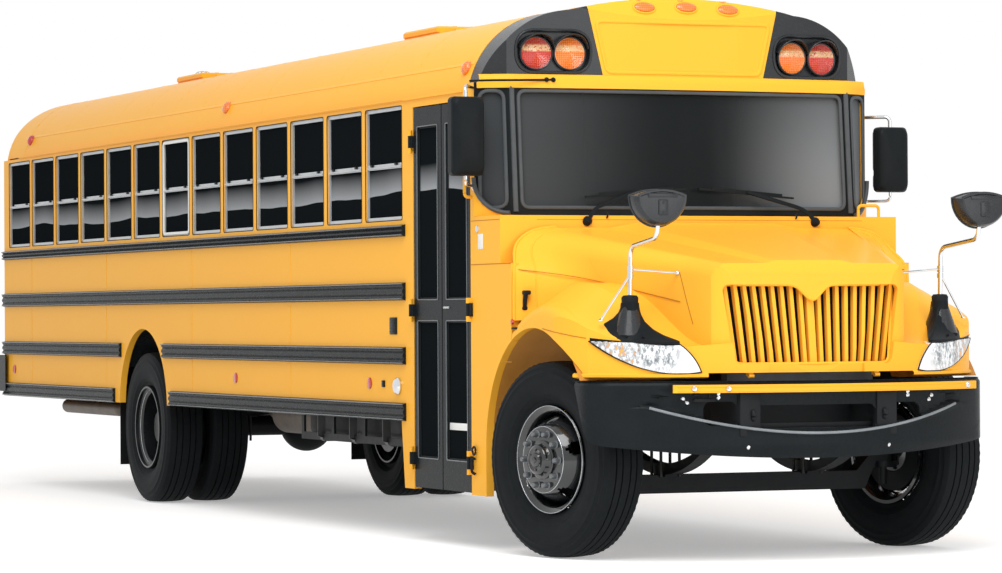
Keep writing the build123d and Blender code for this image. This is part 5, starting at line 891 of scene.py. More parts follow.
class BUS_OT_body_seams(bpy.types.Operator):
    """Adds the side panels' laps and rivets, the rails' rolled edges with a painted highlight and the roof's
    seams
    """

    bl_idname = "bus.body_seams"
    bl_label = "Body seams"

    def execute(self, context):
        self.laps()
        self.rivets()
        self.rail_edges()
        self.roof_seams()
        return {"FINISHED"}

    def laps(self):
        """Narrow upright laps where one side panel covers the next."""
        form = Form()
        for side in (-1, 1):
            for number in (3, 6, 9, 12):
                x = WINDOW_FRONT + 0.032 - number * WINDOW_PITCH
                for low, high in ((0.802, 1.008), (1.131, 1.37), (1.5, 1.757)):
                    if abs(x - REAR_AXLE) < 0.7 and low < 1.2:
                        continue
                    path = [at(x, side * HALF, low), at(x, side * HALF, high)]
                    form.sweep(path, strip(0.03, 0.0016), up=(0, side, 0))
            path = [at(RAILS_RIGHT_END - 0.005, side * HALF, 2.553), at(TAIL_X + 0.5, side * HALF, 2.553)]
            form.sweep(path, strip(0.006, 0.016), up=(0, side, 0))
        form.piece("side_laps", "bus_body", "body_yellow")

    def rivets(self):
        """Rows of rivets along the panels' edges."""
        form = Form()
        for side in (-1, 1):
            rows = []
            front = SIDE_FRONT[side] - 0.05
            for z in (1.022, 1.118, 1.482, 1.772, 1.838):
                rows.append((z, front, TAIL_X + 0.06, 0.167))
            for z, start, end, pitch in rows:
                count = int((start - end) / pitch)
                for step in range(count):
                    x = start - step * pitch
                    if abs(x - REAR_AXLE) < 0.72 and z < 1.13:
                        continue
                    form.dome(at(x, side * HALF, z), (0, side, 0), 0.0052, 0.0022, 6)
            for number in (3, 6, 9, 12):
                x = WINDOW_FRONT + 0.032 - number * WINDOW_PITCH
                for step in range(5):
                    for low, high in ((1.145, 1.36), (1.515, 1.74)):
                        z = low + (high - low) * step / 4
                        for shift in (-0.008, 0.008):
                            form.dome(
                                at(x + shift, side * (HALF + 0.0016), z), (0, side, 0), 0.0045, 0.002, 6
                            )
        for step in range(17):
            form.dome(at(-1.79, -HALF, 0.36 + step * 0.126), (0, -1, 0), 0.0055, 0.0024, 6)
        form.piece("side_rivets", "bus_body", "body_yellow")

    def rail_edges(self):
        """The rolled ribs that stiffen each black rail, coloured pale grey as a painted highlight."""
        form = Form()
        rails = ((1.759, 1.829), (1.388, 1.493), (1.015, 1.118), (0.688, 0.793))
        for side in (-1, 1):
            for low, high in rails:
                spans = [(SIDE_FRONT[side] - 0.004, TAIL_X + 0.002)]
                if low < 1.2:
                    gap = (-0.67, 0.655) if low < 0.8 else (-0.51, 0.5)
                    spans = [(spans[0][0], REAR_AXLE + gap[1]), (REAR_AXLE + gap[0], spans[0][1])]
                for start, end in spans:
                    for z, width in ((high - 0.008, 0.007), (low + 0.010, 0.005)):
                        path = [at(start, side * 1.241, z), at(end, side * 1.241, z)]
                        form.sweep(path, strip(width, 0.005), up=(0, side, 0))
        form.piece("rail_ribs", "bus_body", "rail_edge", slot="body_black")

    def roof_seams(self):
        """Lapped roof sheets with a long joint along each shoulder."""
        form = Form()
        for number in range(WINDOWS):
            x = WINDOW_FRONT + 0.032 - number * WINDOW_PITCH
            if min(abs(x + 3.9), abs(x + 8.7)) < 0.36:
                continue
            rows = []
            for shift, lift in ((-0.014, -0.003), (-0.014, 0.0012), (0.014, 0.0012), (0.014, -0.003)):
                rows.append([at(x + shift, y, z) for y, z in roof_arch(lift)])
            form.rows(rows)
        for side in (-1, 1):
            rows = []
            for height, lift in ((2.700, -0.003), (2.704, 0.0022), (2.716, 0.0022), (2.720, -0.003)):
                y = 1.188 - (1.188 - 1.035) * ((height - 2.56) / 0.29) ** 1.75
                rows.append([at(x, side * (y + lift), height) for x in (-0.96, -3.5, -6.0, -8.5, -10.21)])
            form.rows(rows)
        form.piece("roof_seams", "bus_body", "body_yellow")


class BUS_OT_side_fittings(bpy.types.Operator):
    """Adds reflectors, side lamps, plates, caps, the lock and the grab handles"""

    bl_idname = "bus.side_fittings"
    bl_label = "Side fittings"

    def execute(self, context):
        self.reflectors()
        self.marker_lamps()
        self.plates()
        self.roof_strobe()
        self.hatch_trim()
        return {"FINISHED"}

    def reflectors(self):
        """Red reflectors on the lower side panels and at the back."""
        red = Form()
        for side in (-1, 1):
            for x in SIDE_REFLECTORS:
                place = at(x, side * HALF, SIDE_REFLECTOR_Z)
                profile = [(0.034, 0.0), (0.034, 0.006), (0.028, 0.009), (0.0, 0.0105)]
                red.lathe(place, (0, side, 0), profile, 20)
        for y in (-0.95, 0.95):
            red.lathe(at(TAIL_X, y, 1.09), (-1, 0, 0), [(0.04, 0.0), (0.04, 0.006), (0.0, 0.01)], 20)
        red.piece("side_reflectors", "bus_body", "red_lens", slot="lamp_lens")

    def marker_lamps(self):
        """Small amber lamps along the eaves, the rear pair red."""
        amber, red = Form(), Form()
        for side in (-1, 1):
            for form, x, z in ((amber, -1.047, 2.684), (amber, -5.296, 2.686), (red, -10.12, 2.684)):
                y = side * (1.188 - 0.153 * ((z - 2.56) / 0.29) ** 1.75)
                lift = Vector((0, side, 0.35)).normalized()
                profile = [(0.042, -0.006), (0.042, 0.008), (0.034, 0.022), (0.018, 0.03), (0.0, 0.032)]
                form.lathe(at(x, y, z), lift, profile, 16)
        amber.piece("side_markers", "bus_body", "amber_lens", slot="lamp_lens")
        red.piece("rear_side_markers", "bus_body", "red_lens", slot="lamp_lens")

    def plates(self):
        """The heater vent, the fuel cap and the lock beside the entrance door, and grab handles."""
        form = Form()
        form.block(at(-2.105, -HALF - 0.008, 1.19), at(-1.995, -HALF + 0.002, 1.29), 0.004)
        for step in range(5):
            z = 1.203 + step * 0.017
            form.block(at(-2.095, -HALF - 0.012, z), at(-2.005, -HALF - 0.007, z + 0.007), 0.0015)
        form.block(at(-2.238, -HALF - 0.01, 0.88), at(-2.198, -HALF + 0.002, 0.92), 0.004)
        form.piece("side_vent", "bus_body", "body_black")
        bright = Form()
        bright.lathe(
            at(-1.972, -HALF, 0.89),
            (0, -1, 0),
            [(0.05, 0.0), (0.05, 0.012), (0.038, 0.026), (0.0, 0.03)],
            28,
        )
        bright.lathe(at(-0.746, -HALF, 1.776), (0, -1, 0), [(0.02, 0.0), (0.019, 0.006), (0.0, 0.007)], 20)
        bright.piece("side_caps", "bus_body", "bright_metal")
        plate = Form()
        plate.block(at(-0.739, -HALF - 0.002, 1.664), at(-0.668, -HALF + 0.001, 1.748), 0.002)
        plate.piece("blank_cowl_plate", "bus_body", "pale_frame", slot="sash_bright")
        grips = Form()
        right = [(-0.83, -1.21, 1.955), (-0.83, -1.262, 1.955), (-0.83, -1.262, 2.08), (-0.83, -1.21, 2.08)]
        left = [(-0.46, 1.0, 1.84), (-0.46, 1.0, 1.91), (-0.46, 1.13, 1.91), (-0.46, 1.13, 1.84)]
        for places in (right, left):
            grips.tube(rounded([at(*place) for place in places], 0.025), 0.009, 8)
        grips.piece("grab_handles", "bus_body", "body_yellow")

    def roof_strobe(self):
        """The clear flashing lamp near the roof's back, inside its wire guard."""
        x, top = -9.35, 3.078
        base = Form()
        base.lathe(
            at(x, 0, top - 0.01), (0, 0, 1), [(0.075, 0.0), (0.075, 0.02), (0.06, 0.03), (0.0, 0.03)], 28
        )
        base.piece("strobe_base", "bus_body", "body_black")
        lens = Form()
        profile = [
            (0.042, 0.018), (0.045, 0.03), (0.044, 0.06), (0.038, 0.085), (0.022, 0.098), (0.0, 0.102)
        ]
        lens.lathe(at(x, 0, top), (0, 0, 1), profile, 24)
        lens.piece("strobe_lens", "bus_body", "headlamp_lens")
        guard = Form()
        for turn in range(3):
            angle = math.pi * turn / 3
            c, s = math.cos(angle), math.sin(angle)
            path = [
                at(x + c * r, s * r, top + h)
                for r, h in ((0.068, 0.01), (0.066, 0.12), (-0.066, 0.12), (-0.068, 0.01))
            ]
            guard.tube(rounded(path, 0.05), 0.0035, 6)
        guard.tube([at(x + px, py, top + 0.06) for px, py in ring(0.068, 24)], 0.0035, 6, closed=True)
        guard.piece("strobe_guard", "bus_body", "bright_metal")

    def hatch_trim(self):
        """Pressed ribs and an outer release on each roof hatch lid."""
        for name in ("roof_hatch_front", "roof_hatch_rear"):
            low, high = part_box("hatch_lid_" + name.split("_")[2])
            top = high[2]
            ribs = Form()
            for y in (-0.18, -0.06, 0.06, 0.18):
                ribs.sweep(
                    rounded([Vector((low[0] + 0.08, y, top)), Vector((low[0] + 0.57, y, top))], 0.01),
                    strip(0.03, 0.006),
                    up=(0, 0, 1),
                )
            ribs.piece(f"{name}_ribs", name, "body_yellow")
            knob = Form()
            profile = [(0.045, 0.0), (0.045, 0.008), (0.02, 0.012), (0.018, 0.024), (0.0, 0.026)]
            knob.lathe(Vector((low[0] + 0.05, 0, top - 0.001)), (0, 0, 1), profile, 20)
            knob.piece(f"{name}_release", name, "body_black")


# Side windows


def frame_path(x, y, z, half_wide, half_high, radius):
    """A rounded upright rectangle in a side wall's plane."""
    corners = [
        at(x - half_wide, y, z - half_high),
        at(x + half_wide, y, z - half_high),
        at(x + half_wide, y, z + half_high),
        at(x - half_wide, y, z + half_high),
    ]
    return rounded(corners, radius, 4, closed=True)


class BUS_OT_windows(bpy.types.Operator):
    """Adds the window seals, sash rails and latches, and the emergency windows' pale frames"""

    bl_idname = "bus.windows"
    bl_label = "Side windows"

    def execute(self, context):
        seals, lips, latches, pale = Form(), Form(), Form(), Form()
        for side in (-1, 1):
            y = side * HALF
            for number in range(WINDOWS):
                x = window_middle(number)
                seals.sweep(
                    frame_path(x, y, 2.188, 0.303, 0.332, 0.02), strip(0.005, 0.002), True, (0, side, 0)
                )
                inner = side * 1.2065
                lips.sweep(
                    [at(x - 0.275, inner, 2.172), at(x + 0.275, inner, 2.172)],
                    strip(0.012, 0.014),
                    up=(0, side, 0),
                )
                for shift in (-0.2, 0.2):
                    latches.block(
                        at(x + shift - 0.018, inner - 0.004, 2.18),
                        at(x + shift + 0.018, inner + side * 0.016, 2.192),
                        0.002,
                    )
                if number == EMERGENCY_WINDOW:
                    path = frame_path(x, side * 1.211, 2.188, 0.285, 0.314, 0.03)
                    pale.sweep(path, strip(0.02, 0.010), True, (0, side, 0))
        seals.piece("window_seals", "bus_body", "rubber_seal", slot="trim_black")
        lips.piece("sash_lips", "bus_body", "sash_bright")
        latches.piece("sash_latches", "bus_body", "trim_black")
        pale.piece("emergency_window_frames", "bus_body", "pale_frame", slot="sash_bright")
        return {"FINISHED"}


# Windscreen


def screen_at(y, z, proud=0.0):
    """A place on the windscreen frame's face, or just ahead of it."""
    if abs(y) <= 1.06:
        return at(screen_x(y, z) + proud, y, z)
    side = 1 if y > 0 else -1
    return at(screen_x(y, z) + proud * 0.7, y + side * proud * 0.7, z)


def screen_path(low_y, high_y, low_z, high_z, radius, proud, steps=14):
    """A rounded rectangle on the windscreen's face."""
    corners = [(low_y, low_z), (high_y, low_z), (high_y, high_z), (low_y, high_z)]
    flat = rounded([Vector((y, z, 0)) for y, z in corners], radius, 6, closed=True)
    path = []
    for index, point in enumerate(flat):
        after = flat[(index + 1) % len(flat)]
        count = steps if (after - point).length > 0.3 else 1
        for step in range(count):
            spot = point.lerp(after, step / count)
            path.append(screen_at(spot.x, spot.y, proud))
    return path


class BUS_OT_windscreen(bpy.types.Operator):
    """Adds the windscreen's rubber seal, its corners, the wipers and the cowl's seams and rivets"""

    bl_idname = "bus.windscreen"
    bl_label = "Windscreen"

    def execute(self, context):
        self.seal()
        self.corners()
        self.wipers()
        self.vents()
        return {"FINISHED"}

    def seal(self):
        """A black rubber bead round the main glass and round each corner glass."""
        form = Form()
        round_bead = [(0.011 * a, 0.008 * u) for a, u in ring(1.0, 8)]
        form.sweep(screen_path(-1.0, 1.0, 1.893, 2.542, 0.045, 0.002), round_bead, True, (1, 0, 0))
        for side in (-1, 1):
            low, high = sorted((side * 1.078, side * 1.194))
            form.sweep(
                screen_path(low, high, 1.893, 2.542, 0.05, 0.002, 6), round_bead, True, (0.7, 0.7 * side, 0)
            )
            form.sweep(
                [screen_at(side * 1.038, z, 0.0) for z in (1.87, 2.1, 2.35, 2.565)],
                strip(0.028, 0.014),
                up=(1, 0, 0),
            )
        form.piece("windscreen_seal", "bus_body", "screen_rubber", slot="trim_black")

    def corners(self):
        """Yellow sheet outside the round lower corners of the corner glass."""
        form = Form()
        trim = Form()
        for side in (-1, 1):
            edge = []
            for step in range(9):
                angle = math.pi / 2 * step / 8
                y = 1.219 - 0.155 * (1 - math.sin(angle))
                z = 1.862 + 0.20 * (1 - math.cos(angle))
                edge.append((y, z))
            inner = [screen_at(side * y, z, 0.012) for y, z in edge]
            outer = [
                screen_at(side * y, 1.846, 0.006)
                for y, _ in edge[:-1]
            ] + [screen_at(side * 1.219, 1.846, 0.006)]
            rim = [screen_at(side * y, z, -0.01) for y, z in edge]
            form.rows([outer, inner, rim])
            trim.sweep(inner, [(0.013 * a, 0.013 * u) for a, u in ring(1.0, 8)], up=(0.7, 0.7 * side, 0))
        form.piece("windscreen_corners", "bus_body", "body_yellow")
        trim.piece("windscreen_corner_seals", "bus_body", "screen_rubber", slot="trim_black")

    def wipers(self):
        """Two wipers parked towards the middle, each an arm, a blade and its rubber."""
        form = Form()
        for side in (-1, 1):
            y = side * 0.702
            base = at(-0.42, y, 1.812)
            form.lathe(
                base, (1, 0, 0.35), [(0.026, -0.006), (0.026, 0.016), (0.015, 0.028), (0.0, 0.03)], 16
            )
            tip = screen_at(y - side * 0.36, 1.985, 0.045)
            bend = at(-0.47, y - side * 0.055, 1.885)
            form.sweep(
                rounded([base + Vector((0.018, 0, 0)), bend + Vector((0.03, 0, 0.0)), tip], 0.05),
                [(0.010 * a, 0.005 * u) for a, u in BOX],
                up=(1, 0, 0.3),
            )
            start, end = y - side * 0.06, y - side * 0.66
            blade = []
            for step in range(9):
                spot = start + (end - start) * step / 8
                blade.append(screen_at(spot, 1.952 + 0.006 * step, 0.03))
            form.sweep(blade, [(0.005 * a, 0.012 * u) for a, u in BOX], up=(1, 0, 0))
            form.sweep(
                [point + Vector((0.008, 0, 0.008)) for point in blade[1:-1]],
                [(0.009 * a, 0.004 * u) for a, u in BOX],
                up=(1, 0, 0),
            )
            nozzle = at(-0.425, y + side * -0.12, 1.83)
            form.tube(
                rounded([nozzle, nozzle + Vector((0.02, 0, 0.012)), nozzle + Vector((0.01, 0, 0.03))], 0.01),
                0.005,
                8,
            )
        form.piece("wipers", "bus_body", "trim_black")

    def vents(self):
        """The ledge's seams and rivets under the glass, and the cowl's side seams; the seams are strips in a
        painted shade.
        """
        form = Form()
        for side in (-1, 1):
            form.sweep(
                [at(-0.272, side * (HALF + 0.0005), 1.58), at(-0.845, side * (HALF + 0.0005), 1.58)],
                strip(0.005, 0.0012),
                up=(0, side, 0),
            )
            form.sweep(
                [at(-0.272, side * HALF, 1.045), at(-0.4, side * HALF, 1.045)],
                strip(0.004, 0.0012),
                up=(0, side, 0),
            )
            form.sweep(
                [at(-0.421, side * 1.0, 1.822), at(-0.421, 0, 1.822)], strip(0.004, 0.0012), up=(1, 0, 0)
            )
            form.sweep(
                [at(-0.425, side * HALF, 1.822), at(-0.845, side * HALF, 1.822)],
                strip(0.004, 0.0012),
                up=(0, side, 0),
            )
        form.piece("cowl_seams", "bus_body", "seam_shade", slot="body_yellow")
        studs = Form()
        for side in (-1, 1):
            for step in range(14):
                studs.dome(at(-0.83, side * HALF, 0.38 + step * 0.108), (0, side, 0), 0.0055, 0.0022, 6)
            for step in range(9):
                y = side * (0.08 + step * 0.125)
                studs.dome(at(-0.42, y, 1.834), (1, 0, 0), 0.005, 0.002, 6)
        studs.piece("cowl_rivets", "bus_body", "body_yellow")


# Roof cap and warning lamps


class BUS_OT_cap(bpy.types.Operator):
    """Adds the sign's border, the brow markers, the lamp visors and lenses, and the cap's seams"""

    bl_idname = "bus.cap"
    bl_label = "Roof cap"

    def execute(self, context):
        self.sign()
        self.visors()
        self.lens_detail()
        self.rear_lamps()
        self.seams()
        return {"FINISHED"}

    def keystone(self, low, high, foot, head, radius, proud, steps=8):
        """A rounded keystone outline on the front cap's face."""
        corners = [(-foot, low), (foot, low), (head, high), (-head, high)]
        flat = rounded([Vector((y, z, 0)) for y, z in corners], radius, 5, closed=True)
        path = []
        for index, point in enumerate(flat):
            after = flat[(index + 1) % len(flat)]
            count = steps if (after - point).length > 0.25 else 1
            for step in range(count):
                spot = point.lerp(after, step / count)
                path.append(at(cap_x(spot.x) + proud, spot.x, spot.y))
        return path

    def sign(self):
        """A raised border round the blank sign panel, and the ledge between the cap and the windscreen."""
        border = Form()
        bead = [(0.011 * a, 0.007 * u) for a, u in ring(1.0, 8)]
        border.sweep(self.keystone(2.652, 2.937, 0.473, 0.538, 0.035, 0.0), bead, True, (1, 0, 0))
        border.piece("sign_border", "bus_body", "body_yellow")
        ledge = Form()
        rows = []
        for height, on_screen, proud in (
            (2.556, True, -0.004), (2.558, True, 0.014), (2.588, True, 0.016), (2.60, False, 0.02),
            (2.628, False, 0.014),
            (2.634, False, 0.006), (2.634, False, -0.02),
        ):
            row = []
            for step in range(49):
                y = -1.2 + 2.4 * step / 48
                if on_screen:
                    row.append(screen_at(y, height, proud))
                else:
                    front = cap_x(y) if abs(y) < 1.06 else cap_x(1.06) - 0.55 * (abs(y) - 1.06)
                    row.append(at(front + proud, y, height))
            rows.append(row)
        ledge.rows(rows)
        ledge.piece("cap_ledge", "bus_body", "body_yellow", smooth=60.0)
        self.markers()

    def markers(self):
        """Three amber oval lamps on the cap's brow, each in a yellow rim."""
        lenses, rims = Form(), Form()
        for y, z in ((-0.236, 3.018), (0.024, 3.024), (0.282, 3.016)):
            hit, spot, out, _ = frame["nodes"]["front_cap"].ray_cast(at(1.0, y, z), (-1, 0, 0))
            if not hit:
                raise RuntimeError("the cap's brow was not found")
            across = Vector((0, 1, 0))
            over = out.cross(across).normalized()
            rows = []
            for share, lift in ((1.0, 0.0), (1.0, 0.008), (0.9, 0.014), (0.5, 0.019), (0.02, 0.021)):
                oval = [across * 0.062 * a * share + over * 0.03 * u * share for a, u in ring(1.0, 28)]
                rows.append([spot + out * lift + point for point in oval])
            lenses.rows(rows, closed=True)
            rim = [spot + out * 0.002 + across * 0.067 * a + over * 0.035 * u for a, u in ring(1.0, 28)]
            rims.sweep(rim, [(0.006 * a, 0.006 * u) for a, u in ring(1.0, 6)], True, out)
        lenses.piece("brow_markers", "bus_body", "amber_lens", slot="lamp_lens")
        rims.piece("brow_marker_rims", "bus_body", "body_yellow")

    def visors(self):
        """An arched brow over each lamp and a raised rim round each pocket."""
        form = Form()
        for side in (-1, 1):
            for lamp_y in (0.886, 0.69):
                rows = []
                for step in range(13):
                    angle = math.radians(15 + 150 * step / 12)
                    y = side * lamp_y + 0.101 * math.cos(angle)
                    z = 2.752 + 0.101 * math.sin(angle)
                    reach = 0.012 + 0.048 * math.sin(angle) ** 1.5
                    root = cap_x(y) - 0.03
                    outer_y = side * lamp_y + 0.107 * math.cos(angle)
                    outer_z = 2.752 + 0.107 * math.sin(angle)
                    rows.append(
                        [
                            at(root, y, z),
                            at(root + 0.03 + reach, y, z - 0.001),
                            at(root + 0.03 + reach + 0.003, (y + outer_y) / 2, (z + outer_z) / 2),
                            at(root + 0.03 + reach, outer_y, outer_z),
                            at(root, outer_y, outer_z),
                        ]
                    )
                form.rows(rows)
            middle = side * 0.788
            corners = [
                (middle - 0.22, 2.644), (middle + 0.22, 2.644), (middle + 0.22, 2.88), (middle - 0.22, 2.88)
            ]
            path = []
            for point in rounded([Vector((y, z, 0)) for y, z in corners], 0.16, 8, closed=True):
                path.append(at(cap_x(point.x) + 0.001, point.x, point.y))
            form.sweep(path, [(0.009 * a, 0.008 * u) for a, u in ring(1.0, 8)], True, (1, 0, 0))
        form.piece("lamp_visors", "bus_body", "pod_black")

    def lens_detail(self):
        """Bezels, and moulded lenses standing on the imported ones: red outside, amber inside."""
        bezel = Form()
        for side in (-1, 1):
            for lamp_y, look in ((0.886, "warning_red"), (0.69, "warning_amber")):
                y = side * lamp_y
                face = cap_x(y) - 0.008
                tilt = Vector((1, side * 0.11, 0))
                bezel.lathe(
                    at(face, y, 2.752),
                    tilt,
                    [(0.094, -0.016), (0.096, 0.004), (0.092, 0.007), (0.087, 0.005), (0.086, -0.01)],
                    36,
                )
                lens = Form()
                profile = [(0.088, -0.004)]
                for step in range(12):
                    radius = 0.086 * (1 - step / 12)
                    crown = 0.014 * (1 - (radius / 0.088) ** 2)
                    profile += [(radius, crown + 0.0015), (radius - 0.003, crown)]
                profile.append((0.0, 0.015))
                lens.lathe(at(face, y, 2.752), tilt, profile, 36)
                side_word = "right" if side < 0 else "left"
                place_word = "outer" if look == "warning_red" else "inner"
                name = f"warning_lens_{side_word}_{place_word}"
                lens.piece(name, "bus_body", look, slot="lamp_lens")
        bezel.piece("warning_bezels", "bus_body", "pod_black")

    def rear_lamps(self):
        """Ribbed lenses and bezels of the lamps at the back."""
        bezel = Form()
        places = []
        low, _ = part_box("lamps")
        for side in (-1, 1):
            places += [(side * 1.085, 1.56, "red_lens"), (side * 1.085, 1.29, "amber_lens")]
        for y, z, look in places:
            lens = Form()
            profile = [(0.088, -0.004)]
            for step in range(10):
                radius = 0.086 * (1 - step / 10)
                profile += [(radius, 0.008 + 0.004 * (1 - radius / 0.086)), (radius - 0.004, 0.006)]
            profile.append((0.0, 0.012))
            lens.lathe(Vector((low[0], y, z)), (-1, 0, 0), profile, 32)
            side = "right" if y < 0 else "left"
            lens.piece(
                f"tail_lens_{side}_{'upper' if z > 1.4 else 'lower'}", "bus_body", look, slot="lamp_lens"
            )
            ring_profile = [(0.09, -0.03), (0.102, -0.028), (0.104, 0.0), (0.098, 0.008), (0.089, 0.004)]
            bezel.lathe(Vector((low[0], y, z)), (-1, 0, 0), ring_profile, 32)
        bezel.piece("tail_bezels", "bus_body", "body_black")

    def seams(self):
        """The front and rear caps' joints to the roof, and their rivets."""
        form = Form()
        for x in (-0.957, -10.213):
            rows = []
            for shift, lift in ((-0.012, -0.003), (-0.012, 0.002), (0.012, 0.002), (0.012, -0.003)):
                rows.append([at(x + shift, y, z) for y, z in roof_arch(lift)])
            form.rows(rows)
        form.piece("cap_joints", "bus_body", "body_yellow")
        studs = Form()
        for x in (-0.975, -10.195):
            for y, z in roof_arch(0.001)[::2]:
                out = Vector((0, y, max(z - 2.2, 0.2)))
                studs.dome(at(x, y, z), out, 0.0055, 0.0025, 6)
        for step in range(16):
            y = -0.46 + 0.92 * step / 15
            studs.dome(at(cap_x(y), y, 2.615), (1, 0, 0), 0.004, 0.0018, 6)
        studs.piece("cap_rivets", "bus_body", "body_yellow")


# Hood and front end


def lamp_outline(steps=14):
    """The headlamp's outline as half-widths and heights, from its outer tip round by the top."""
    top = [(1.128 + (0.745 - 1.128) * step / steps, 1.16 - 0.014 * step / steps) for step in range(steps)]
    inner = arc_through((0.745, 1.146), (0.682, 1.085), (0.635, 0.998), steps)
    lower = arc_through((0.635, 0.998), (0.93, 1.024), (1.128, 1.16), steps * 2)
    return top + inner[:-1] + lower[:-1]


def fender_at(side, y, z, proud):
    """A place on the front corner of a fender or just ahead of it."""
    ahead = corner_x(y - 0.01), corner_x(y + 0.01)
    slope = (ahead[1] - ahead[0]) / 0.02
    out = Vector((1, -side * slope, 0)).normalized()
    return at(corner_x(y), side * y, z) + out * proud


class BUS_OT_hood(bpy.types.Operator):
    """Adds the hood's seams, latches, liner, the grille's screen and the headlamps' insides"""

    bl_idname = "bus.hood"
    bl_label = "Hood"

    def execute(self, context):
        self.seams()
        self.latches()
        self.grille()
        self.headlamps()
        self.liners()
        return {"FINISHED"}

    def seams(self):
        """Fine joints in a painted shade: the fender's top line and the hood's side line."""
        form = Form()
        section = strip(0.0045, 0.0012)
        for side in (-1, 1):
            out = Vector((0.36, side, 0)).normalized()
            path = []
            for step in range(15):
                x = -0.255 + 0.915 * step / 14
                z = 1.545 - 0.198 * (x + 0.255)
                flare = 0.2 * max(0.0, (0.141 - x) / 0.4) ** 2.4
                path.append(at(x, side * (hood_half(x) + flare + 0.002), z) + out * 0.0022)
            form.sweep(path, section, up=out)
            corner = [at(0.655, side * hood_half(0.655), 1.52), at(0.705, side * hood_half(0.705), 1.36)]
            corner += [at(0.745, side * hood_half(0.745), 1.245)]
            form.sweep([point + out * 0.0008 for point in corner], section, up=out)
            line = [at(x, side * (HALF + 0.001), z) for x, z in ((0.16, 1.226), (0.3, 1.21))]
            line += [fender_at(side, y, z, 0.002) for y, z in ((1.205, 1.2), (1.18, 1.188), (1.14, 1.176))]
            form.sweep(line, section, up=(0.2, side, 0))
        form.piece("hood_seams", "hood", "seam_shade", slot="body_yellow")
        self.rear_bead()

    def rear_bead(self):
        """The rolled bead across the top of the hood's rear edge."""
        band = Form()
        for side in (-1, 1):
            x = -0.392
            half, top = hood_half(x), hood_top(x)
            edge = [(half - 0.12, top), (0.62, top), (0.58, top), (0.43, top + 0.026), (0.0, top + 0.026)]
            rows = []
            for shift, lift in ((-0.006, -0.003), (-0.006, 0.005), (0.006, 0.005), (0.006, -0.003)):
                row = []
                for y, z in edge:
                    out = Vector(
                        (0, y - 0.62 if y > 0.6 else 0, 0.18 if z > top - 0.12 else 0.0001)
                    ).normalized()
                    row.append(at(x + shift, side * (y + out.y * lift), z + out.z * lift))
                rows.append(row)
            band.rows(rows)
        band.piece("hood_rear_bead", "hood", "body_yellow")

    def latches(self):
        """Black rubber draw latches at the hood's rear corners, and a small bumper stop."""
        form = Form()
        nut = Form()
        for side in (-1, 1):
            x, y = -0.212, side * 1.14
            path = [
                at(x - 0.03, y + side * 0.01, 1.335),
                at(x, y + side * 0.024, 1.37),
                at(x + 0.012, y + side * 0.022, 1.415),
            ]
            form.sweep(
                rounded(path, 0.03), [(0.016 * a, 0.012 * u) for a, u in ring(1.0, 8)], up=(0, side, 0)
            )
            form.block(
                at(x - 0.02, min(y, y + side * 0.034), 1.408),
                at(x + 0.04, max(y, y + side * 0.034), 1.432),
                0.008,
            )
            form.block(
                at(x - 0.05, min(y, y + side * 0.03), 1.325),
                at(x - 0.005, max(y, y + side * 0.03), 1.347),
                0.006,
            )
            form.block(
                at(-0.262, min(side * 1.19, side * 1.224), 1.222),
                at(-0.19, max(side * 1.19, side * 1.224), 1.234),
                0.004,
            )
            nut.lathe(
                at(-0.258, side * 1.214, 1.262), (0, side, 0), [(0.015, 0.0), (0.014, 0.01), (0.0, 0.012)], 6
            )
        form.piece("hood_latches", "hood", "rubber_seal", slot="trim_black")
        nut.piece("hood_nuts", "hood", "red_lens", slot="lamp_lens")

    def grille(self):
        """The dark wire screen behind the bars, and the mouth's moulded edge."""
        mesh = Form()
        for step in range(58):
            y = -0.5 + step / 57
            lean = 0.455 + 0.064
            if abs(y) > lean:
                continue
            mesh.sweep(
                [at(0.795, y, 1.04), at(0.79, y, 1.45)],
                [(0.0015 * a, 0.0015 * u) for a, u in BOX],
                up=(1, 0, 0),
            )
        for step in range(34):
            z = 1.042 + step * 0.0122
            half = 0.45 + 0.06 * (z - 1.04) / 0.41
            mesh.sweep(
                [at(0.797, -half, z), at(0.797, half, z)],
                [(0.0012 * a, 0.0018 * u) for a, u in BOX],
                up=(1, 0, 0),
            )
        mesh.piece("grille_screen", "hood", "chassis_black", slot="trim_black")
        backing = Form()
        rows = []
        for x, half, low, high in ((0.775, 0.47, 1.045, 1.44), (0.775, 0.40, 1.10, 1.40)):
            rows.append([at(x, -half, low), at(x, half, low), at(x, half, high), at(x, -half, high)])
        made = backing.rows(rows, closed=True)
        backing.face(made[1])
        backing.piece("grille_backing", "hood", "flap_rubber", slot="trim_black")
        edge = Form()
        corners = [
            (-0.455, 1.036), (0.455, 1.036), (0.519, 1.451), (0.095, 1.451), (0.0, 1.356), (-0.095, 1.451),
            (-0.519, 1.451),
        ]
        flat = rounded([Vector((y, z, 0)) for y, z in corners], 0.045, 5, closed=True)
        path = []
        for index, point in enumerate(flat):
            after = flat[(index + 1) % len(flat)]
            count = 8 if (after - point).length > 0.2 else 1
            for step in range(count):
                spot = point.lerp(after, step / count)
                front = 0.965 - (2.0 - math.sqrt(4.0 - spot.x**2)) - 0.06 * (spot.y - 0.992) / 0.508
                if abs(spot.x) > 0.44:
                    front -= 0.16 * (abs(spot.x) - 0.44)
                path.append(at(front - 0.004, spot.x, spot.y))
        edge.sweep(path, [(0.009 * a, 0.009 * u) for a, u in ring(1.0, 8)], True, (1, 0, 0))
        edge.piece("grille_edge", "hood", "body_yellow")
        screws = Form()
        for y in (-0.41, -0.15, 0.15, 0.41):
            front = 0.965 - (2.0 - math.sqrt(4.0 - y**2)) - 0.008
            screws.lathe(
                at(front - 0.006, y, 1.022), (1, 0, 0), [(0.008, 0.0), (0.008, 0.006), (0.0, 0.009)], 12
            )
        screws.piece("grille_screws", "hood", "bright_metal")

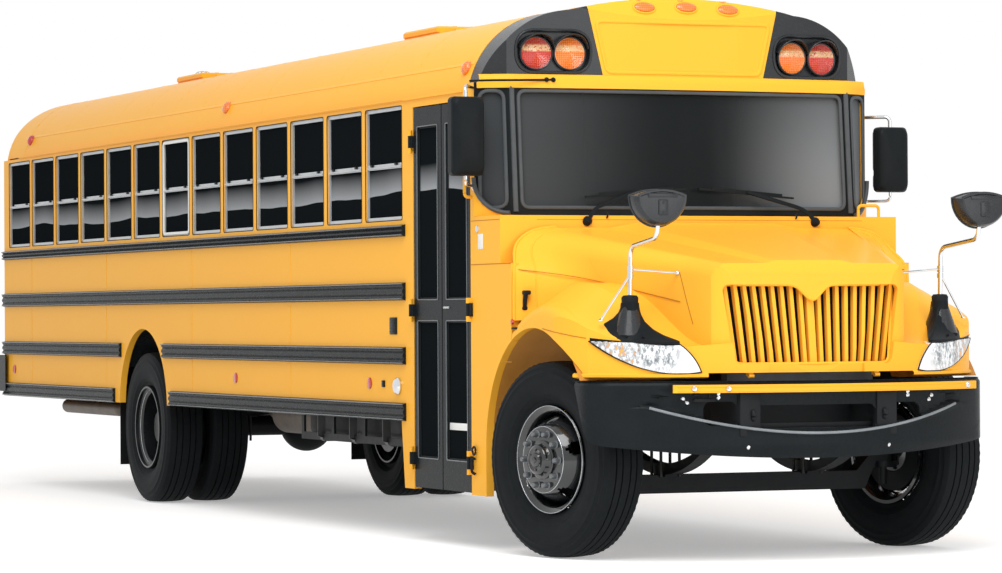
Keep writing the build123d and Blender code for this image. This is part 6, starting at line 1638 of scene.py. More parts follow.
    def headlamps(self):
        """Each headlamp: its black rim, two fine bright rings and the yellow ledge below the nose."""
        rim, bowls, ledge = Form(), Form(), Form()
        for side in (-1, 1):
            path = [fender_at(side, y, z, 0.008) for y, z in lamp_outline()]
            rim.sweep(path, [(0.0035 * a, 0.004 * u) for a, u in ring(1.0, 6)], True, (1, 0.6 * side, 0))
            for y, z, radius in ((0.965, 1.092, 0.042), (0.80, 1.075, 0.056)):
                spot = fender_at(side, y, z, 0.0078)
                slope = fender_at(side, y, z, 1.0) - fender_at(side, y, z, 0.0)
                bowls.lathe(
                    spot, slope, [(radius, 0.0), (radius - 0.001, 0.0025), (radius - 0.004, 0.0)], 36
                )
            rows = []
            for z, proud in ((0.993, 0.0), (0.985, 0.012), (0.972, 0.012), (0.966, -0.01)):
                rows.append([fender_at(side, 0.6 + 0.048 * step, z, proud) for step in range(13)])
            ledge.rows(rows)
        rim.piece("headlamp_rims", "hood", "rubber_seal", slot="trim_black")
        bowls.piece("headlamp_bowls", "hood", "bright_metal")
        ledge.piece("headlamp_ledges", "hood", "body_yellow")

    def liners(self):
        """A ribbed inner liner in each front arch, in a darker orange that is a painted shade inside the
        arch.
        """
        form = Form()
        for side in (-1, 1):
            rows = []
            for y in (0.66, 0.70, 0.705, 0.95, 0.955, 1.18):
                depth = 0.004 if y in (0.705, 0.95) else 0.0
                row = []
                for step in range(25):
                    angle = math.radians(36 + 132 * step / 24)
                    r = 0.6585 - depth
                    row.append(at(0.025 + r * math.cos(angle), side * y, 0.568 + r * math.sin(angle)))
                rows.append(row)
            form.rows(rows)
        form.piece("arch_liners", "hood", "liner_shade", slot="body_yellow")


class BUS_OT_crossview(bpy.types.Operator):
    """Adds the cross-view mirrors' moulded feet, collars, stays, bowls, rims and glass"""

    bl_idname = "bus.crossview"
    bl_label = "Cross-view mirrors"

    def execute(self, context):
        foot, collar, stays, rims, glass, caps = Form(), Form(), Form(), Form(), Form(), Form()
        for side in (-1, 1):
            self.foot(foot, side)
            profile = [(0.036, 0.0), (0.044, 0.006), (0.045, 0.034), (0.036, 0.046), (0.012, 0.048)]
            collar.lathe(at(0.625, side * 0.92, 1.352), (0, 0, 1), profile, 28)
            self.stays(stays, side)
            self.head(rims, glass, caps, side)
        foot.piece("crossview_feet", "hood", "trim_black")
        collar.piece("crossview_collars", "hood", "rubber_seal", slot="trim_black")
        stays.piece("crossview_stays", "hood", "bright_metal")
        rims.piece("crossview_rims", "hood", "pod_black")
        caps.piece("crossview_clamps", "hood", "pod_black")
        glass.piece("crossview_glass", "hood", "mirror_glass", slot="bright_metal")
        return {"FINISHED"}

    def foot(self, form, side):
        """A flared three-cornered foot that follows the headlamp's upper edge."""
        corners = [
            (0.47, 1.17, 1.21),
            (0.60, 1.115, 1.168),
            (0.745, 0.95, 1.158),
            (0.86, 0.72, 1.152),
            (0.70, 0.80, 1.2),
            (0.55, 0.88, 1.262),
        ]
        outline = rounded([Vector((x, side * y, z)) for x, y, z in corners], 0.05, 5, closed=True)
        middle = Vector((0.625, side * 0.92, 0))
        outline.sort(key=lambda point: math.atan2((point - middle).y, (point - middle).x))
        rows = []
        for share in (0.0, 0.12, 0.3, 0.5, 0.7, 0.86, 1.0):
            row = []
            for point in outline:
                spread = (1 - share) ** 2.6
                flat = Vector((point.x, point.y, 0)) - middle
                reach = flat.length * spread + (0.062 - 0.014 * share) * (1 - spread)
                spot = middle + flat.normalized() * reach
                height = point.z + (1.36 - point.z) * share**1.15
                row.append(at(spot.x, spot.y, height))
            rows.append(row)
        form.rows([[point - Vector((0, 0, 0.02)) for point in rows[0]]] + rows, closed=True)
        for x, y in ((0.745, 0.9), (0.70, 0.975), (0.62, 1.06)):
            form.dome(at(x, side * y, 1.178), (0.6, side * 0.5, 0.8), 0.008, 0.012, 10)

    def stays(self, form, side):
        """Two thin round stays from the pole to the hood and to the fender, with flat bolted ends."""
        pole = at(0.632, side * 0.92, 1.535)
        hood_end = at(0.64, side * (hood_half(0.64) + 0.004), 1.515)
        low_end = at(0.60, side * 1.075, 1.272)
        form.tube([pole, hood_end], 0.0055, 8)
        form.tube([at(0.63, side * 0.925, 1.5), low_end], 0.0055, 8)
        form.lathe(
            at(0.632, side * 0.92, 1.518),
            (0, 0, 1),
            [(0.0125, 0.0), (0.017, 0.0), (0.017, 0.034), (0.0125, 0.034)],
            20,
        )
        form.lathe(
            at(0.631, side * 0.92, 1.486),
            (0, 0, 1),
            [(0.0125, 0.0), (0.017, 0.0), (0.017, 0.026), (0.0125, 0.026)],
            20,
        )
        form.lathe(
            hood_end - Vector((0, side * 0.005, 0)),
            (0.3, side, 0),
            [(0.014, 0.0), (0.014, 0.005), (0.008, 0.012), (0.0, 0.013)],
            14,
        )
        form.lathe(
            low_end - Vector((0, 0, 0.004)),
            (0, 0.3 * side, 1),
            [(0.014, 0.0), (0.014, 0.006), (0.0, 0.012)],
            14,
        )

    def head(self, rims, glass, caps, side):
        """A flat-topped mirror head: rim, black bowl, clamp and the domed glass on its rear face."""
        y, z = side * 0.94, 1.905
        arc = arc_through((-0.152, 0.0), (0.0, -0.155), (0.152, 0.0), 20)
        crown = arc_through((0.152, 0.0), (0.0, 0.03), (-0.152, 0.0), 10)
        outline = arc + crown[1:-1]
        path = [at(1.001, y + a, z + b) for a, b in outline]
        rims.sweep(path, [(0.007 * a, 0.006 * u) for a, u in ring(1.0, 8)], True, (1, 0, 0))
        inner = [at(1.0805, y + a * 0.84, z + b * 0.84 + 0.001) for a, b in outline]
        rims.sweep(inner, [(0.008 * a, 0.004 * u) for a, u in ring(1.0, 6)], True, (1, 0, 0))
        bowl = []
        for share, reach in (
            (1.0, 1.0), (1.0, 1.012), (0.985, 1.045), (0.93, 1.068), (0.84, 1.083), (0.5, 1.088),
            (0.02, 1.089),
        ):
            bowl.append([at(reach, y + a * share, z + (b + 0.05) * share - 0.05) for a, b in outline])
        rims.rows(bowl, closed=True)
        rows = []
        for step in range(7):
            share = 1 - step / 6
            bulge = 0.012 * (1 - share**2)
            rows.append(
                [
                    at(0.999 - bulge, y + a * 0.95 * share, z + (b + 0.05) * 0.95 * share - 0.05)
                    for a, b in outline
                ]
            )
        made = glass.rows(rows, closed=True)
        bmesh.ops.remove_doubles(glass.bm, verts=made[-1], dist=1e-5)
        caps.block(at(1.075, y - 0.028, z - 0.10), at(1.094, y + 0.028, z - 0.02), 0.006)
        caps.block(at(1.07, y - 0.085, z - 0.012), at(1.09, y + 0.085, z + 0.014), 0.008)
        for shift in (-0.035, -0.085):
            caps.dome(at(1.093, y, z + shift), (1, 0, 0), 0.008, 0.005, 10)


class BUS_OT_bumper(bpy.types.Operator):
    """Adds the bumper's lip in a pale grey that is a painted highlight, its bolts, latch and hooks, and the
    crossing arm's bolts and ribs
    """

    bl_idname = "bus.bumper"
    bl_label = "Front bumper"

    def execute(self, context):
        # The lip's pale grey is a painted highlight.
        lip = Form()
        path = []
        for step in range(49):
            run = -0.9 + 1.8 * step / 48
            z = 0.676 + 0.15 * (run / 0.94) ** 2
            place, out = bumper_plan(run)
            spot = place + out * 0.0045
            path.append(at(spot.x, spot.y, z))
        lip.sweep(path, [(0.0075 * a, 0.006 * u) for a, u in ring(1.0, 8)], up=(1, 0, 0))
        lip.piece("bumper_lip", "bus_body", "bumper_edge", slot="body_black")
        bolts = Form()
        for side in (-1, 1):
            for y, z in ((0.73, 0.86), (0.71, 0.838), (0.555, 0.885), (0.555, 0.865), (0.411, 0.607)):
                front = bow_x(y, 2.0, 1.022 if z < 0.65 else 1.004)
                bolts.lathe(
                    at(front - 0.002, side * y, z),
                    (1, side * y / 2, 0),
                    [(0.0125, 0.0), (0.0125, 0.004), (0.008, 0.009), (0.0, 0.01)],
                    14,
                )
        bolts.piece("bumper_bolts", "bus_body", "bright_metal")
        latch = Form()
        face = bow_x(0.63, 2.0, 1.004)
        latch.block(at(face - 0.004, -0.69, 0.842), at(face + 0.018, -0.57, 0.86), 0.004)
        latch.block(at(face - 0.004, -0.69, 0.874), at(face + 0.012, -0.66, 0.884), 0.003)
        latch.tube(
            rounded(
                [
                    at(face + 0.02, -0.605, 0.865),
                    at(face + 0.024, -0.605, 0.925),
                    at(face + 0.05, -0.605, 0.93),
                ],
                0.015,
            ),
            0.006,
            8,
        )
        for side in (-1, 1):
            hook = [
                at(0.90, side * 0.385, 0.74),
                at(0.99, side * 0.385, 0.75),
                at(0.995, side * 0.385, 0.79),
                at(0.90, side * 0.385, 0.80),
            ]
            latch.tube(rounded(hook, 0.03), 0.014, 10)
        latch.piece("bumper_hooks", "bus_body", "chassis_black", slot="body_black")
        arm = Form()
        for y in (-0.70, -0.53, 0.98):
            front = bow_x(y, 2.036, 1.066)
            arm.lathe(
                at(front - 0.001, y, 0.911),
                (1, y / 2, 0),
                [(0.017, 0.0), (0.017, 0.004), (0.012, 0.011), (0.0, 0.013)],
                18,
            )
        arm.piece("arm_bolts", "crossing_arm", "bright_metal")
        ribs = Form()
        for z in (0.90, 0.922):
            path = [
                at(bow_x(y, 2.036, 1.066), y, z)
                for y in [-0.78 + 1.83 * step / 30 for step in range(31)]
            ]
            ribs.sweep(path, strip(0.006, 0.003), up=(1, 0, 0))
        ribs.piece("arm_ribs", "crossing_arm", "body_yellow")
        return {"FINISHED"}


# Wheels

TYRE_R = 0.527
TYRE_WIDE = 0.279
STEER = math.radians(14)


def tyre_profile():
    """A ribbed road tyre's section as (radius, along the axle), outer bead to inner bead."""
    half = TYRE_WIDE / 2
    wall = [
        (0.287, 0.088), (0.294, 0.097), (0.302, 0.099), (0.308, 0.103), (0.316, 0.106), (0.320, 0.112),
        (0.345, 0.124),
        (0.351, 0.1285), (0.357, 0.1285), (0.372, 0.134), (0.40, 0.1385), (0.43, 0.139), (0.452, 0.1365),
        (0.456, 0.138),
        (0.462, 0.1375), (0.466, 0.134), (0.486, 0.129), (0.49, 0.1305), (0.495, 0.1295), (0.500, 0.126),
        (0.513, 0.119),
        (0.519, 0.1135),
    ]
    wall = [(radius, min(out, half)) for radius, out in wall]
    tread = []
    edges = (0.112, 0.072, 0.063, 0.031, 0.022)
    crown = lambda out: TYRE_R - 0.0005 - 0.006 * (out / 0.112) ** 2
    for index, out in enumerate(edges):
        tread.append((crown(out), out))
        if index in (1, 3):
            tread += [(crown(out) - 0.013, out - 0.0015), (crown(out) - 0.013, edges[index + 1] + 0.0015)]
    side = wall + tread
    return side + [(radius, -out) for radius, out in reversed(side)]


class BUS_OT_tyres(bpy.types.Operator):
    """Replaces the plain tyres with ribbed ones that have rings on their side walls"""

    bl_idname = "bus.tyres"
    bl_label = "Tyres"

    def execute(self, context):
        for side, word in ((-1, "right"), (1, "left")):
            low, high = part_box(f"front_tyre_{word}")
            form = Form()
            axis = Vector((-math.sin(STEER), math.cos(STEER), 0))
            self.tyre(form, (Vector(low) + Vector(high)) / 2, axis)
            tyre = form.piece(f"front_tread_{word}", f"front_wheel_{word}", "tyre_rubber", smooth=32.0)
            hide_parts(f"front_tyre_{word}")
            form = Form()
            for out in (1.065, 0.735):
                self.tyre(form, at(REAR_AXLE, side * out, TYRE_R), Vector((0, 1, 0)))
            tyre = form.piece(f"rear_treads_{word}", f"rear_wheels_{word}", "tyre_rubber", smooth=32.0)
            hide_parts(f"rear_tyres_{word}")
        return {"FINISHED"}

    def tyre(self, form, centre, axis):
        """One tyre, its shoulder ribs cut by small slots."""
        centre = Vector((centre.x, centre.y, TYRE_R))
        side = Vector((0, 0, 1))
        other = axis.cross(side)
        steps = 144
        rings = []
        for radius, out in tyre_profile():
            ring_points = []
            for step in range(steps):
                angle = 2 * math.pi * step / steps
                notch = 0.0035 if step % 2 and 0.1 < abs(out) < 0.125 and radius > 0.5 else 0.0
                sipe = 0.0012 if step % 3 == 0 and abs(out) in (
                    0.072, 0.063, 0.031, 0.022
                ) and radius > 0.515 else 0.0
                reach = radius - notch - sipe
                spot = centre + axis * out + reach * (math.cos(angle) * side + math.sin(angle) * other)
                ring_points.append(spot)
            rings.append(ring_points)
        form.rows(rings, closed=True, looped=False)


class BUS_OT_rear_wheels(bpy.types.Operator):
    """Adds nut caps, and rim beads whose bright grey is a painted highlight, to the rear wheels"""

    bl_idname = "bus.rear_wheels"
    bl_label = "Rear wheels"

    def execute(self, context):
        for side, word in ((-1, "right"), (1, "left")):
            self.rear(f"rear_wheels_{word}", at(REAR_AXLE, side * 1.065, TYRE_R), Vector((0, side, 0)), word)
        return {"FINISHED"}

    def around(self, axis, angle):
        """A direction square to an axle."""
        upright = Vector((0, 0, 1))
        return math.cos(angle) * upright + math.sin(angle) * axis.cross(upright)

    def rear(self, body, centre, axis, word):
        nuts, beads = Form(), Form()
        for step in range(10):
            out = self.around(axis, 2 * math.pi * (step + 0.5) / 10)
            spot = centre + axis * -0.155 + out * 0.142
            nuts.lathe(
                spot, axis, [(0.022, 0.0), (0.022, 0.008), (0.0175, 0.01), (0.017, 0.03), (0.0, 0.034)], 12
            )
        nuts.piece(f"rear_nut_caps_{word}", body, "nut_grey", slot="wheel_grey")
        # The rim beads' bright grey is a painted highlight on the rims' edges.
        for radius, out, thick in ((0.281, 0.104, 0.004), (0.262, 0.09, 0.003)):
            path = [
                centre + axis * out + self.around(axis, 2 * math.pi * step / 64) * radius
                for step in range(64)
            ]
            beads.sweep(path, [(thick * a, thick * u) for a, u in ring(1.0, 6)], True, axis)
        beads.piece(f"rear_rim_beads_{word}", body, "rim_edge", slot="wheel_grey")


# Doors


class BUS_OT_entrance(bpy.types.Operator):
    """Adds the entrance leaves' bright glazing frames, rubber lips, latch and hinge covers"""

    bl_idname = "bus.entrance"
    bl_label = "Entrance door"

    def execute(self, context):
        for name in ("front", "rear"):
            body = f"entrance_leaf_{name}"
            low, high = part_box(f"door_glass_{name}")
            y = -1.216
            left, right = low[0], high[0]
            bright, seal = Form(), Form()
            for bottom, top in ((0.484, 1.27), (1.39, 2.384)):
                corners = [(left, bottom), (right, bottom), (right, top), (left, top)]
                path = rounded([Vector((x, y, z)) for x, z in corners], 0.012, 3, closed=True)
                bright.sweep(path, strip(0.006, 0.004), True, (0, -1, 0))
                path = rounded([Vector((x, y + 0.012, z)) for x, z in corners], 0.016, 3, closed=True)
                seal.sweep(path, strip(0.024, 0.004), True, (0, -1, 0))
            meet = left - 0.055 if name == "front" else right + 0.055
            inward = 0.0045 if name == "rear" else -0.0045
            seal.sweep(
                [Vector((meet + inward * 0.2, -1.199, 0.318)), Vector((meet + inward * 0.2, -1.199, 2.49))],
                [(0.0045 * a, 0.017 * u) for a, u in ring(1.0, 8)],
                up=(0, -1, 0),
            )
            bright.piece(f"entrance_frames_{name}", body, "door_edge", slot="sash_bright")
            seal.piece(f"entrance_seals_{name}", body, "rubber_seal", slot="trim_black")
            if name == "front":
                fittings, sheet = Form(), Form()
                fittings.block(
                    Vector((left - 0.03, -1.225, 1.338)), Vector((left + 0.05, -1.2155, 1.35)), 0.003
                )
                sheet.block(
                    Vector((left + 0.02, -1.206, 0.655)), Vector((right - 0.012, -1.2, 0.695)), 0.001
                )
                sheet.piece("entrance_blank_strip", body, "pale_frame", slot="sash_bright")
                fittings.piece("entrance_latch", body, "sash_bright")
        posts = Form()
        for z in (0.43, 1.28, 2.25):
            posts.block(at(-0.846, -1.235, z + 0.012), at(-0.818, -1.2185, z + 0.088), 0.004)
        hook = [
            at(-0.785, -1.225, 0.505),
            at(-0.785, -1.245, 0.505),
            at(-0.785, -1.245, 0.43),
            at(-0.785, -1.225, 0.42),
        ]
        posts.tube(rounded(hook, 0.02), 0.008, 8)
        posts.tube(
            [at(-0.785, -1.232, 0.55) + Vector((0.022 * a, 0, 0.022 * u)) for a, u in ring(1.0, 16)],
            0.006,
            6,
            closed=True,
        )
        posts.piece("door_post_hardware", "bus_body", "chassis_black", slot="body_black")
        return {"FINISHED"}


class BUS_OT_rear_door(bpy.types.Operator):
    """Adds the emergency door's seals and bead, the rear wall's rivets, the rear windows' seals and a blank
    plate in its holder
    """

    bl_idname = "bus.rear_door"
    bl_label = "Emergency door"

    def execute(self, context):
        face = AXLE_X + TAIL_X
        seal, frame_bead, studs = Form(), Form(), Form()
        for bottom, top in ((1.33, 1.70), (1.87, 2.354)):
            corners = [(-0.354, bottom), (0.354, bottom), (0.354, top), (-0.354, top)]
            path = rounded([Vector((face - 0.002, y, z)) for y, z in corners], 0.04, 5, closed=True)
            seal.sweep(path, [(0.012 * a, 0.008 * u) for a, u in ring(1.0, 8)], True, (-1, 0, 0))
        corners = [(-0.455, 1.1), (0.455, 1.1), (0.455, 2.455), (-0.455, 2.455)]
        path = rounded([Vector((face, y, z)) for y, z in corners], 0.05, 5, closed=True)
        frame_bead.sweep(path, strip(0.014, 0.006), True, (-1, 0, 0))
        seal.piece("rear_door_seals", "emergency_door", "rubber_seal", slot="trim_black")
        frame_bead.piece("rear_door_bead", "emergency_door", "body_yellow")
        for step in range(22):
            z = 0.8 + step * 0.077
            for y in (-1.19, 1.19, -0.50, 0.50):
                if abs(y) < 1 and z > 2.45:
                    continue
                studs.dome(at(TAIL_X, y, z), (-1, 0, 0), 0.0052, 0.0024, 6)
        studs.piece("rear_wall_rivets", "bus_body", "body_yellow")
        panes = Form()
        for side in (-1, 1):
            corners = [(0.6, 1.87), (1.11, 1.87), (1.11, 2.4), (0.6, 2.4)]
            path = rounded([at(TAIL_X - 0.001, side * y, z) for y, z in corners], 0.05, 5, closed=True)
            panes.sweep(path, [(0.012 * a, 0.008 * u) for a, u in ring(1.0, 8)], True, (-1, 0, 0))
        panes.piece("rear_window_seals", "bus_body", "rubber_seal", slot="trim_black")
        plate = Form()
        plate.block(at(TAIL_X - 0.012, 0.66, 0.98), at(TAIL_X + 0.002, 0.97, 1.135), 0.006)
        plate.piece("blank_plate_holder", "bus_body", "body_black")
        sheet = Form()
        sheet.block(at(TAIL_X - 0.0145, 0.672, 0.99), at(TAIL_X - 0.011, 0.958, 1.125), 0.001)
        sheet.piece("blank_plate", "bus_body", "pale_frame", slot="sash_bright")
        return {"FINISHED"}


class BUS_OT_side_mirrors(bpy.types.Operator):
    """Adds the side mirrors' glass, shells and stays"""

    bl_idname = "bus.side_mirrors"
    bl_label = "Side mirrors"

    def execute(self, context):
        glass, shells, rods, stay = Form(), Form(), Form(), Form()
        for side, x, low, high, wide in ((-1, -0.64, 2.065, 2.5, 0.19), (1, -0.69, 1.995, 2.37, 0.19)):
            y = side * 1.33
            back = x - 0.045
            split = low + (high - low) * 0.3
            for bottom, top, bulge in (
                (split + 0.008, high - 0.02, 0.0), (low + 0.02, split - 0.008, 0.014)
            ):
                corners = [(y - wide / 2 + 0.014, bottom), (y + wide / 2 - 0.014, bottom)]
                corners += [(y + wide / 2 - 0.014, top), (y - wide / 2 + 0.014, top)]
                outline = rounded([Vector((a, b, 0)) for a, b in corners], 0.02, 4, closed=True)
                middle = Vector((y, (bottom + top) / 2, 0))
                rows = []
                for step in range(5):
                    share = 1 - step / 4
                    row = []
                    for point in outline:
                        spot = middle + (point - middle) * share
                        row.append(at(back - 0.002 - bulge * (1 - share**2), spot.x, spot.y))
                    rows.append(row)
                made = glass.rows(rows, closed=True)
                bmesh.ops.remove_doubles(glass.bm, verts=made[-1], dist=1e-5)
                bead = [at(back - 0.003, point.x, point.y) for point in outline]
                shells.sweep(bead, [(0.006 * a, 0.005 * u) for a, u in ring(1.0, 6)], True, (-1, 0, 0))
            front = x + 0.045
            half, mid = wide / 2, (low + high) / 2
            corners = [(y - half, low), (y + half, low), (y + half, high), (y - half, high)]
            outline = rounded([Vector((a, b, 0)) for a, b in corners], 0.05, 6, closed=True)
            rows = []
            for share, lift in (
                (1.0, -0.03), (0.99, -0.006), (0.93, 0.006), (0.8, 0.014), (0.5, 0.021), (0.05, 0.023)
            ):
                tall = 0.4 + 0.6 * share if share > 0.5 else share
                rows.append(
                    [at(front + lift, y + (p.x - y) * share, mid + (p.y - mid) * tall) for p in outline]
                )
            made = shells.rows(rows, closed=True)
            shells.face(made[-1])
            for z in (low + 0.06, high - 0.05):
                shells.dome(at(front + 0.006, y + 0.05, z), (1, 0, 0), 0.007, 0.004, 10)
            if side < 0:
                arm = [at(-0.60, -1.32, 2.585), at(-0.63, -1.2, 2.592), at(-0.655, -0.80, 2.603)]
                stay.tube(rounded(arm, 0.06), 0.006, 8)
                for y_clip in (-0.80, -0.84):
                    stay.dome(at(-0.648, y_clip, 2.603), (1, 0, 0), 0.014, 0.012, 10)
            lower = [at(x, y, low + 0.01), at(x, y, low - 0.05), at(-0.80, side * 1.222, low - 0.05)]
            rods.tube(rounded(lower, 0.03), 0.009, 10)
            rods.lathe(
                at(-0.80, side * 1.2185, low - 0.05),
                (0, side, 0),
                [(0.024, 0.0), (0.024, 0.006), (0.012, 0.012), (0.0, 0.012)],
                14,
            )
        glass.piece("side_mirror_glass", "bus_body", "mirror_glass", slot="bright_metal")
        shells.piece("side_mirror_shells", "bus_body", "trim_black")
        rods.piece("side_mirror_stays", "bus_body", "bright_metal")
        stay.piece("side_mirror_tie", "bus_body", "trim_black")
        return {"FINISHED"}


class BUS_OT_stop_arm(bpy.types.Operator):
    """Adds the stop arm's pale border, its lamps and their rims, and leaves its face blank"""

    bl_idname = "bus.stop_arm"
    bl_label = "Stop arm"

    def execute(self, context):
        low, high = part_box("stop_arm")
        middle = Vector((low[0] + 0.2285, 0, 1.625))
        border, lamps, rims = Form(), Form(), Form()
        for y, out in ((high[1] + 0.0005, 1), (low[1] + 0.005, -1)):
            path = []
            for step in range(8):
                angle = math.radians(22.5 + 45 * step)
                path.append(Vector((middle.x + 0.232 * math.cos(angle), y, 1.625 + 0.232 * math.sin(angle))))
            if out > 0:
                border.sweep(path, strip(0.02, 0.0015), True, (0, out, 0))
            for z in (1.735, 1.515):
                spot = Vector((middle.x, y - out * 0.001, z))
                lamps.lathe(spot, (0, out, 0), [(0.04, 0.0), (0.04, 0.008), (0.03, 0.016), (0.0, 0.02)], 24)
                rims.lathe(
                    spot, (0, out, 0), [(0.041, 0.0), (0.048, 0.0), (0.047, 0.009), (0.041, 0.009)], 24
                )
        border.piece("stop_arm_border", "stop_arm", "pale_frame", slot="sash_bright")
        lamps.piece("stop_arm_lamps", "stop_arm", "red_lens", slot="lamp_lens")
        rims.piece("stop_arm_rims", "stop_arm", "body_black")
        return {"FINISHED"}


# Hood's flared rear edge

FLARE_EDGE = (
    (-0.255, 1.206, 1.27), (-0.257, 1.206, 1.36), (-0.259, 1.205, 1.46), (-0.263, 1.202, 1.54),
    (-0.29, 1.188, 1.595),
    (-0.35, 1.166, 1.64), (-0.384, 1.14, 1.685), (-0.388, 1.102, 1.725), (-0.39, 1.045, 1.757),
    (-0.392, 0.97, 1.773),
    (-0.394, 0.90, 1.7785),
)
FLARE_LONG = 0.40


def hood_wall(x, share):
    """A place on the hood's side, from low on its wall (0) over its shoulder to its top (1)."""
    half, top = hood_half(x), hood_top(x)
    shoulder = 0.12 - 0.045 * (x + 0.262) / 1.037
    if share < 0.6:
        return half, 1.27 + (top - shoulder - 1.27) * share / 0.6
    angle = math.pi / 2 * (share - 0.6) / 0.4
    return half - shoulder + shoulder * math.cos(angle), top - shoulder + shoulder * math.sin(angle)


class BUS_OT_hood_flare(bpy.types.Operator):
    """Adds the hood's flared rear edge with its double bead, which meets the cowl"""

    bl_idname = "bus.hood_flare"
    bl_label = "Hood flare"

    def execute(self, context):
        skin, bead = Form(), Form()
        for side in (-1, 1):
            rows = []
            for index, (edge_x, edge_y, edge_z) in enumerate(FLARE_EDGE):
                share = index / (len(FLARE_EDGE) - 1)
                row = []
                root_y, root_z = hood_wall(edge_x, share)
                for step in range(13):
                    t = step / 12
                    x = edge_x + FLARE_LONG * (1 - t)
                    y, z = hood_wall(x, share)
                    grow = t**2.4
                    y += (edge_y - root_y) * grow + 0.0015
                    z += (edge_z - root_z) * grow + 0.0015 * share
                    row.append(at(x, side * y, z))
                rows.append(row)
            skin.rows(rows)
            for back, radius in ((12, 0.0085), (10, 0.0045)):
                path = rounded([row[back] for row in rows], 0.03, 3)
                bead.sweep(path, [(radius * a, radius * u) for a, u in ring(1.0, 8)], up=(1, 0, 0))
        skin.piece("hood_flare", "hood", "body_yellow", smooth=70.0)
        bead.piece("hood_flare_bead", "hood", "body_yellow")
        return {"FINISHED"}


# Front bumper shell

BUMPER_TURN = 1.10
BUMPER_CORNER = 0.17
BUMPER_TOP = 0.95
BUMPER_SLOTS = ((-0.019, 0.728, 0.762, 0.122), (0.542, 0.217, 0.780, 0.096), (-0.552, 0.175, 0.781, 0.125))


def bumper_plan(run):
    """A place on the bumper's plan line, by its run from the middle, and the outward direction there."""
    side = 1 if run >= 0 else -1
    run = abs(run)
    start = math.asin(BUMPER_TURN / 2.0)
    if run <= BUMPER_TURN:
        angle = math.asin(run / 2.0)
        return Vector(
            (1.03 - 2.0 + 2.0 * math.cos(angle), side * run, 0)
        ), Vector((math.cos(angle), side * math.sin(angle), 0))
    centre_x = 1.03 - 2.0 + (2.0 - BUMPER_CORNER) * math.cos(start)
    centre_y = (2.0 - BUMPER_CORNER) * math.sin(start)
    angle = min(start + (run - BUMPER_TURN) / BUMPER_CORNER, math.pi / 2)
    past = max(0.0, run - BUMPER_TURN - (math.pi / 2 - start) * BUMPER_CORNER)
    place = Vector(
        (
            centre_x + BUMPER_CORNER * math.cos(angle) - past,
            side * (centre_y + BUMPER_CORNER * math.sin(angle)),
            0,
        )
    )
    return place, Vector((math.cos(angle), side * math.sin(angle), 0))


def smooth_step(value):
    """0 below 0, 1 above 1, and smooth between."""
    value = min(max(value, 0.0), 1.0)
    return value * value * (3 - 2 * value)


def bumper_relief(run, z):
    """How far the bumper's face stands out: a sunken upper panel over a rolled lip, with soft edges."""
    wide = abs(run)
    out = -0.012 * smooth_step((z - 0.925) / 0.025) - 0.02 * smooth_step((0.62 - z) / 0.07)
    if wide < 0.955:
        lip = 0.83 - 0.15 * math.sqrt(max(0.0, 1 - (wide / 0.955) ** 2)) if wide > 0.90 else None
        if lip is None:
            share = (wide / 0.94) ** 2
            lip = 0.68 + 0.15 * share
        roof = 0.938 - 0.108 * smooth_step((wide - 0.76) / 0.19)
        sunk = smooth_step((z - lip) / 0.016) * smooth_step((roof - z) / 0.02)
        out -= 0.026 * sunk
        out += 0.007 * math.exp(-(((z - lip + 0.004) / 0.009) ** 2)) * smooth_step((0.95 - wide) / 0.06)
    return out


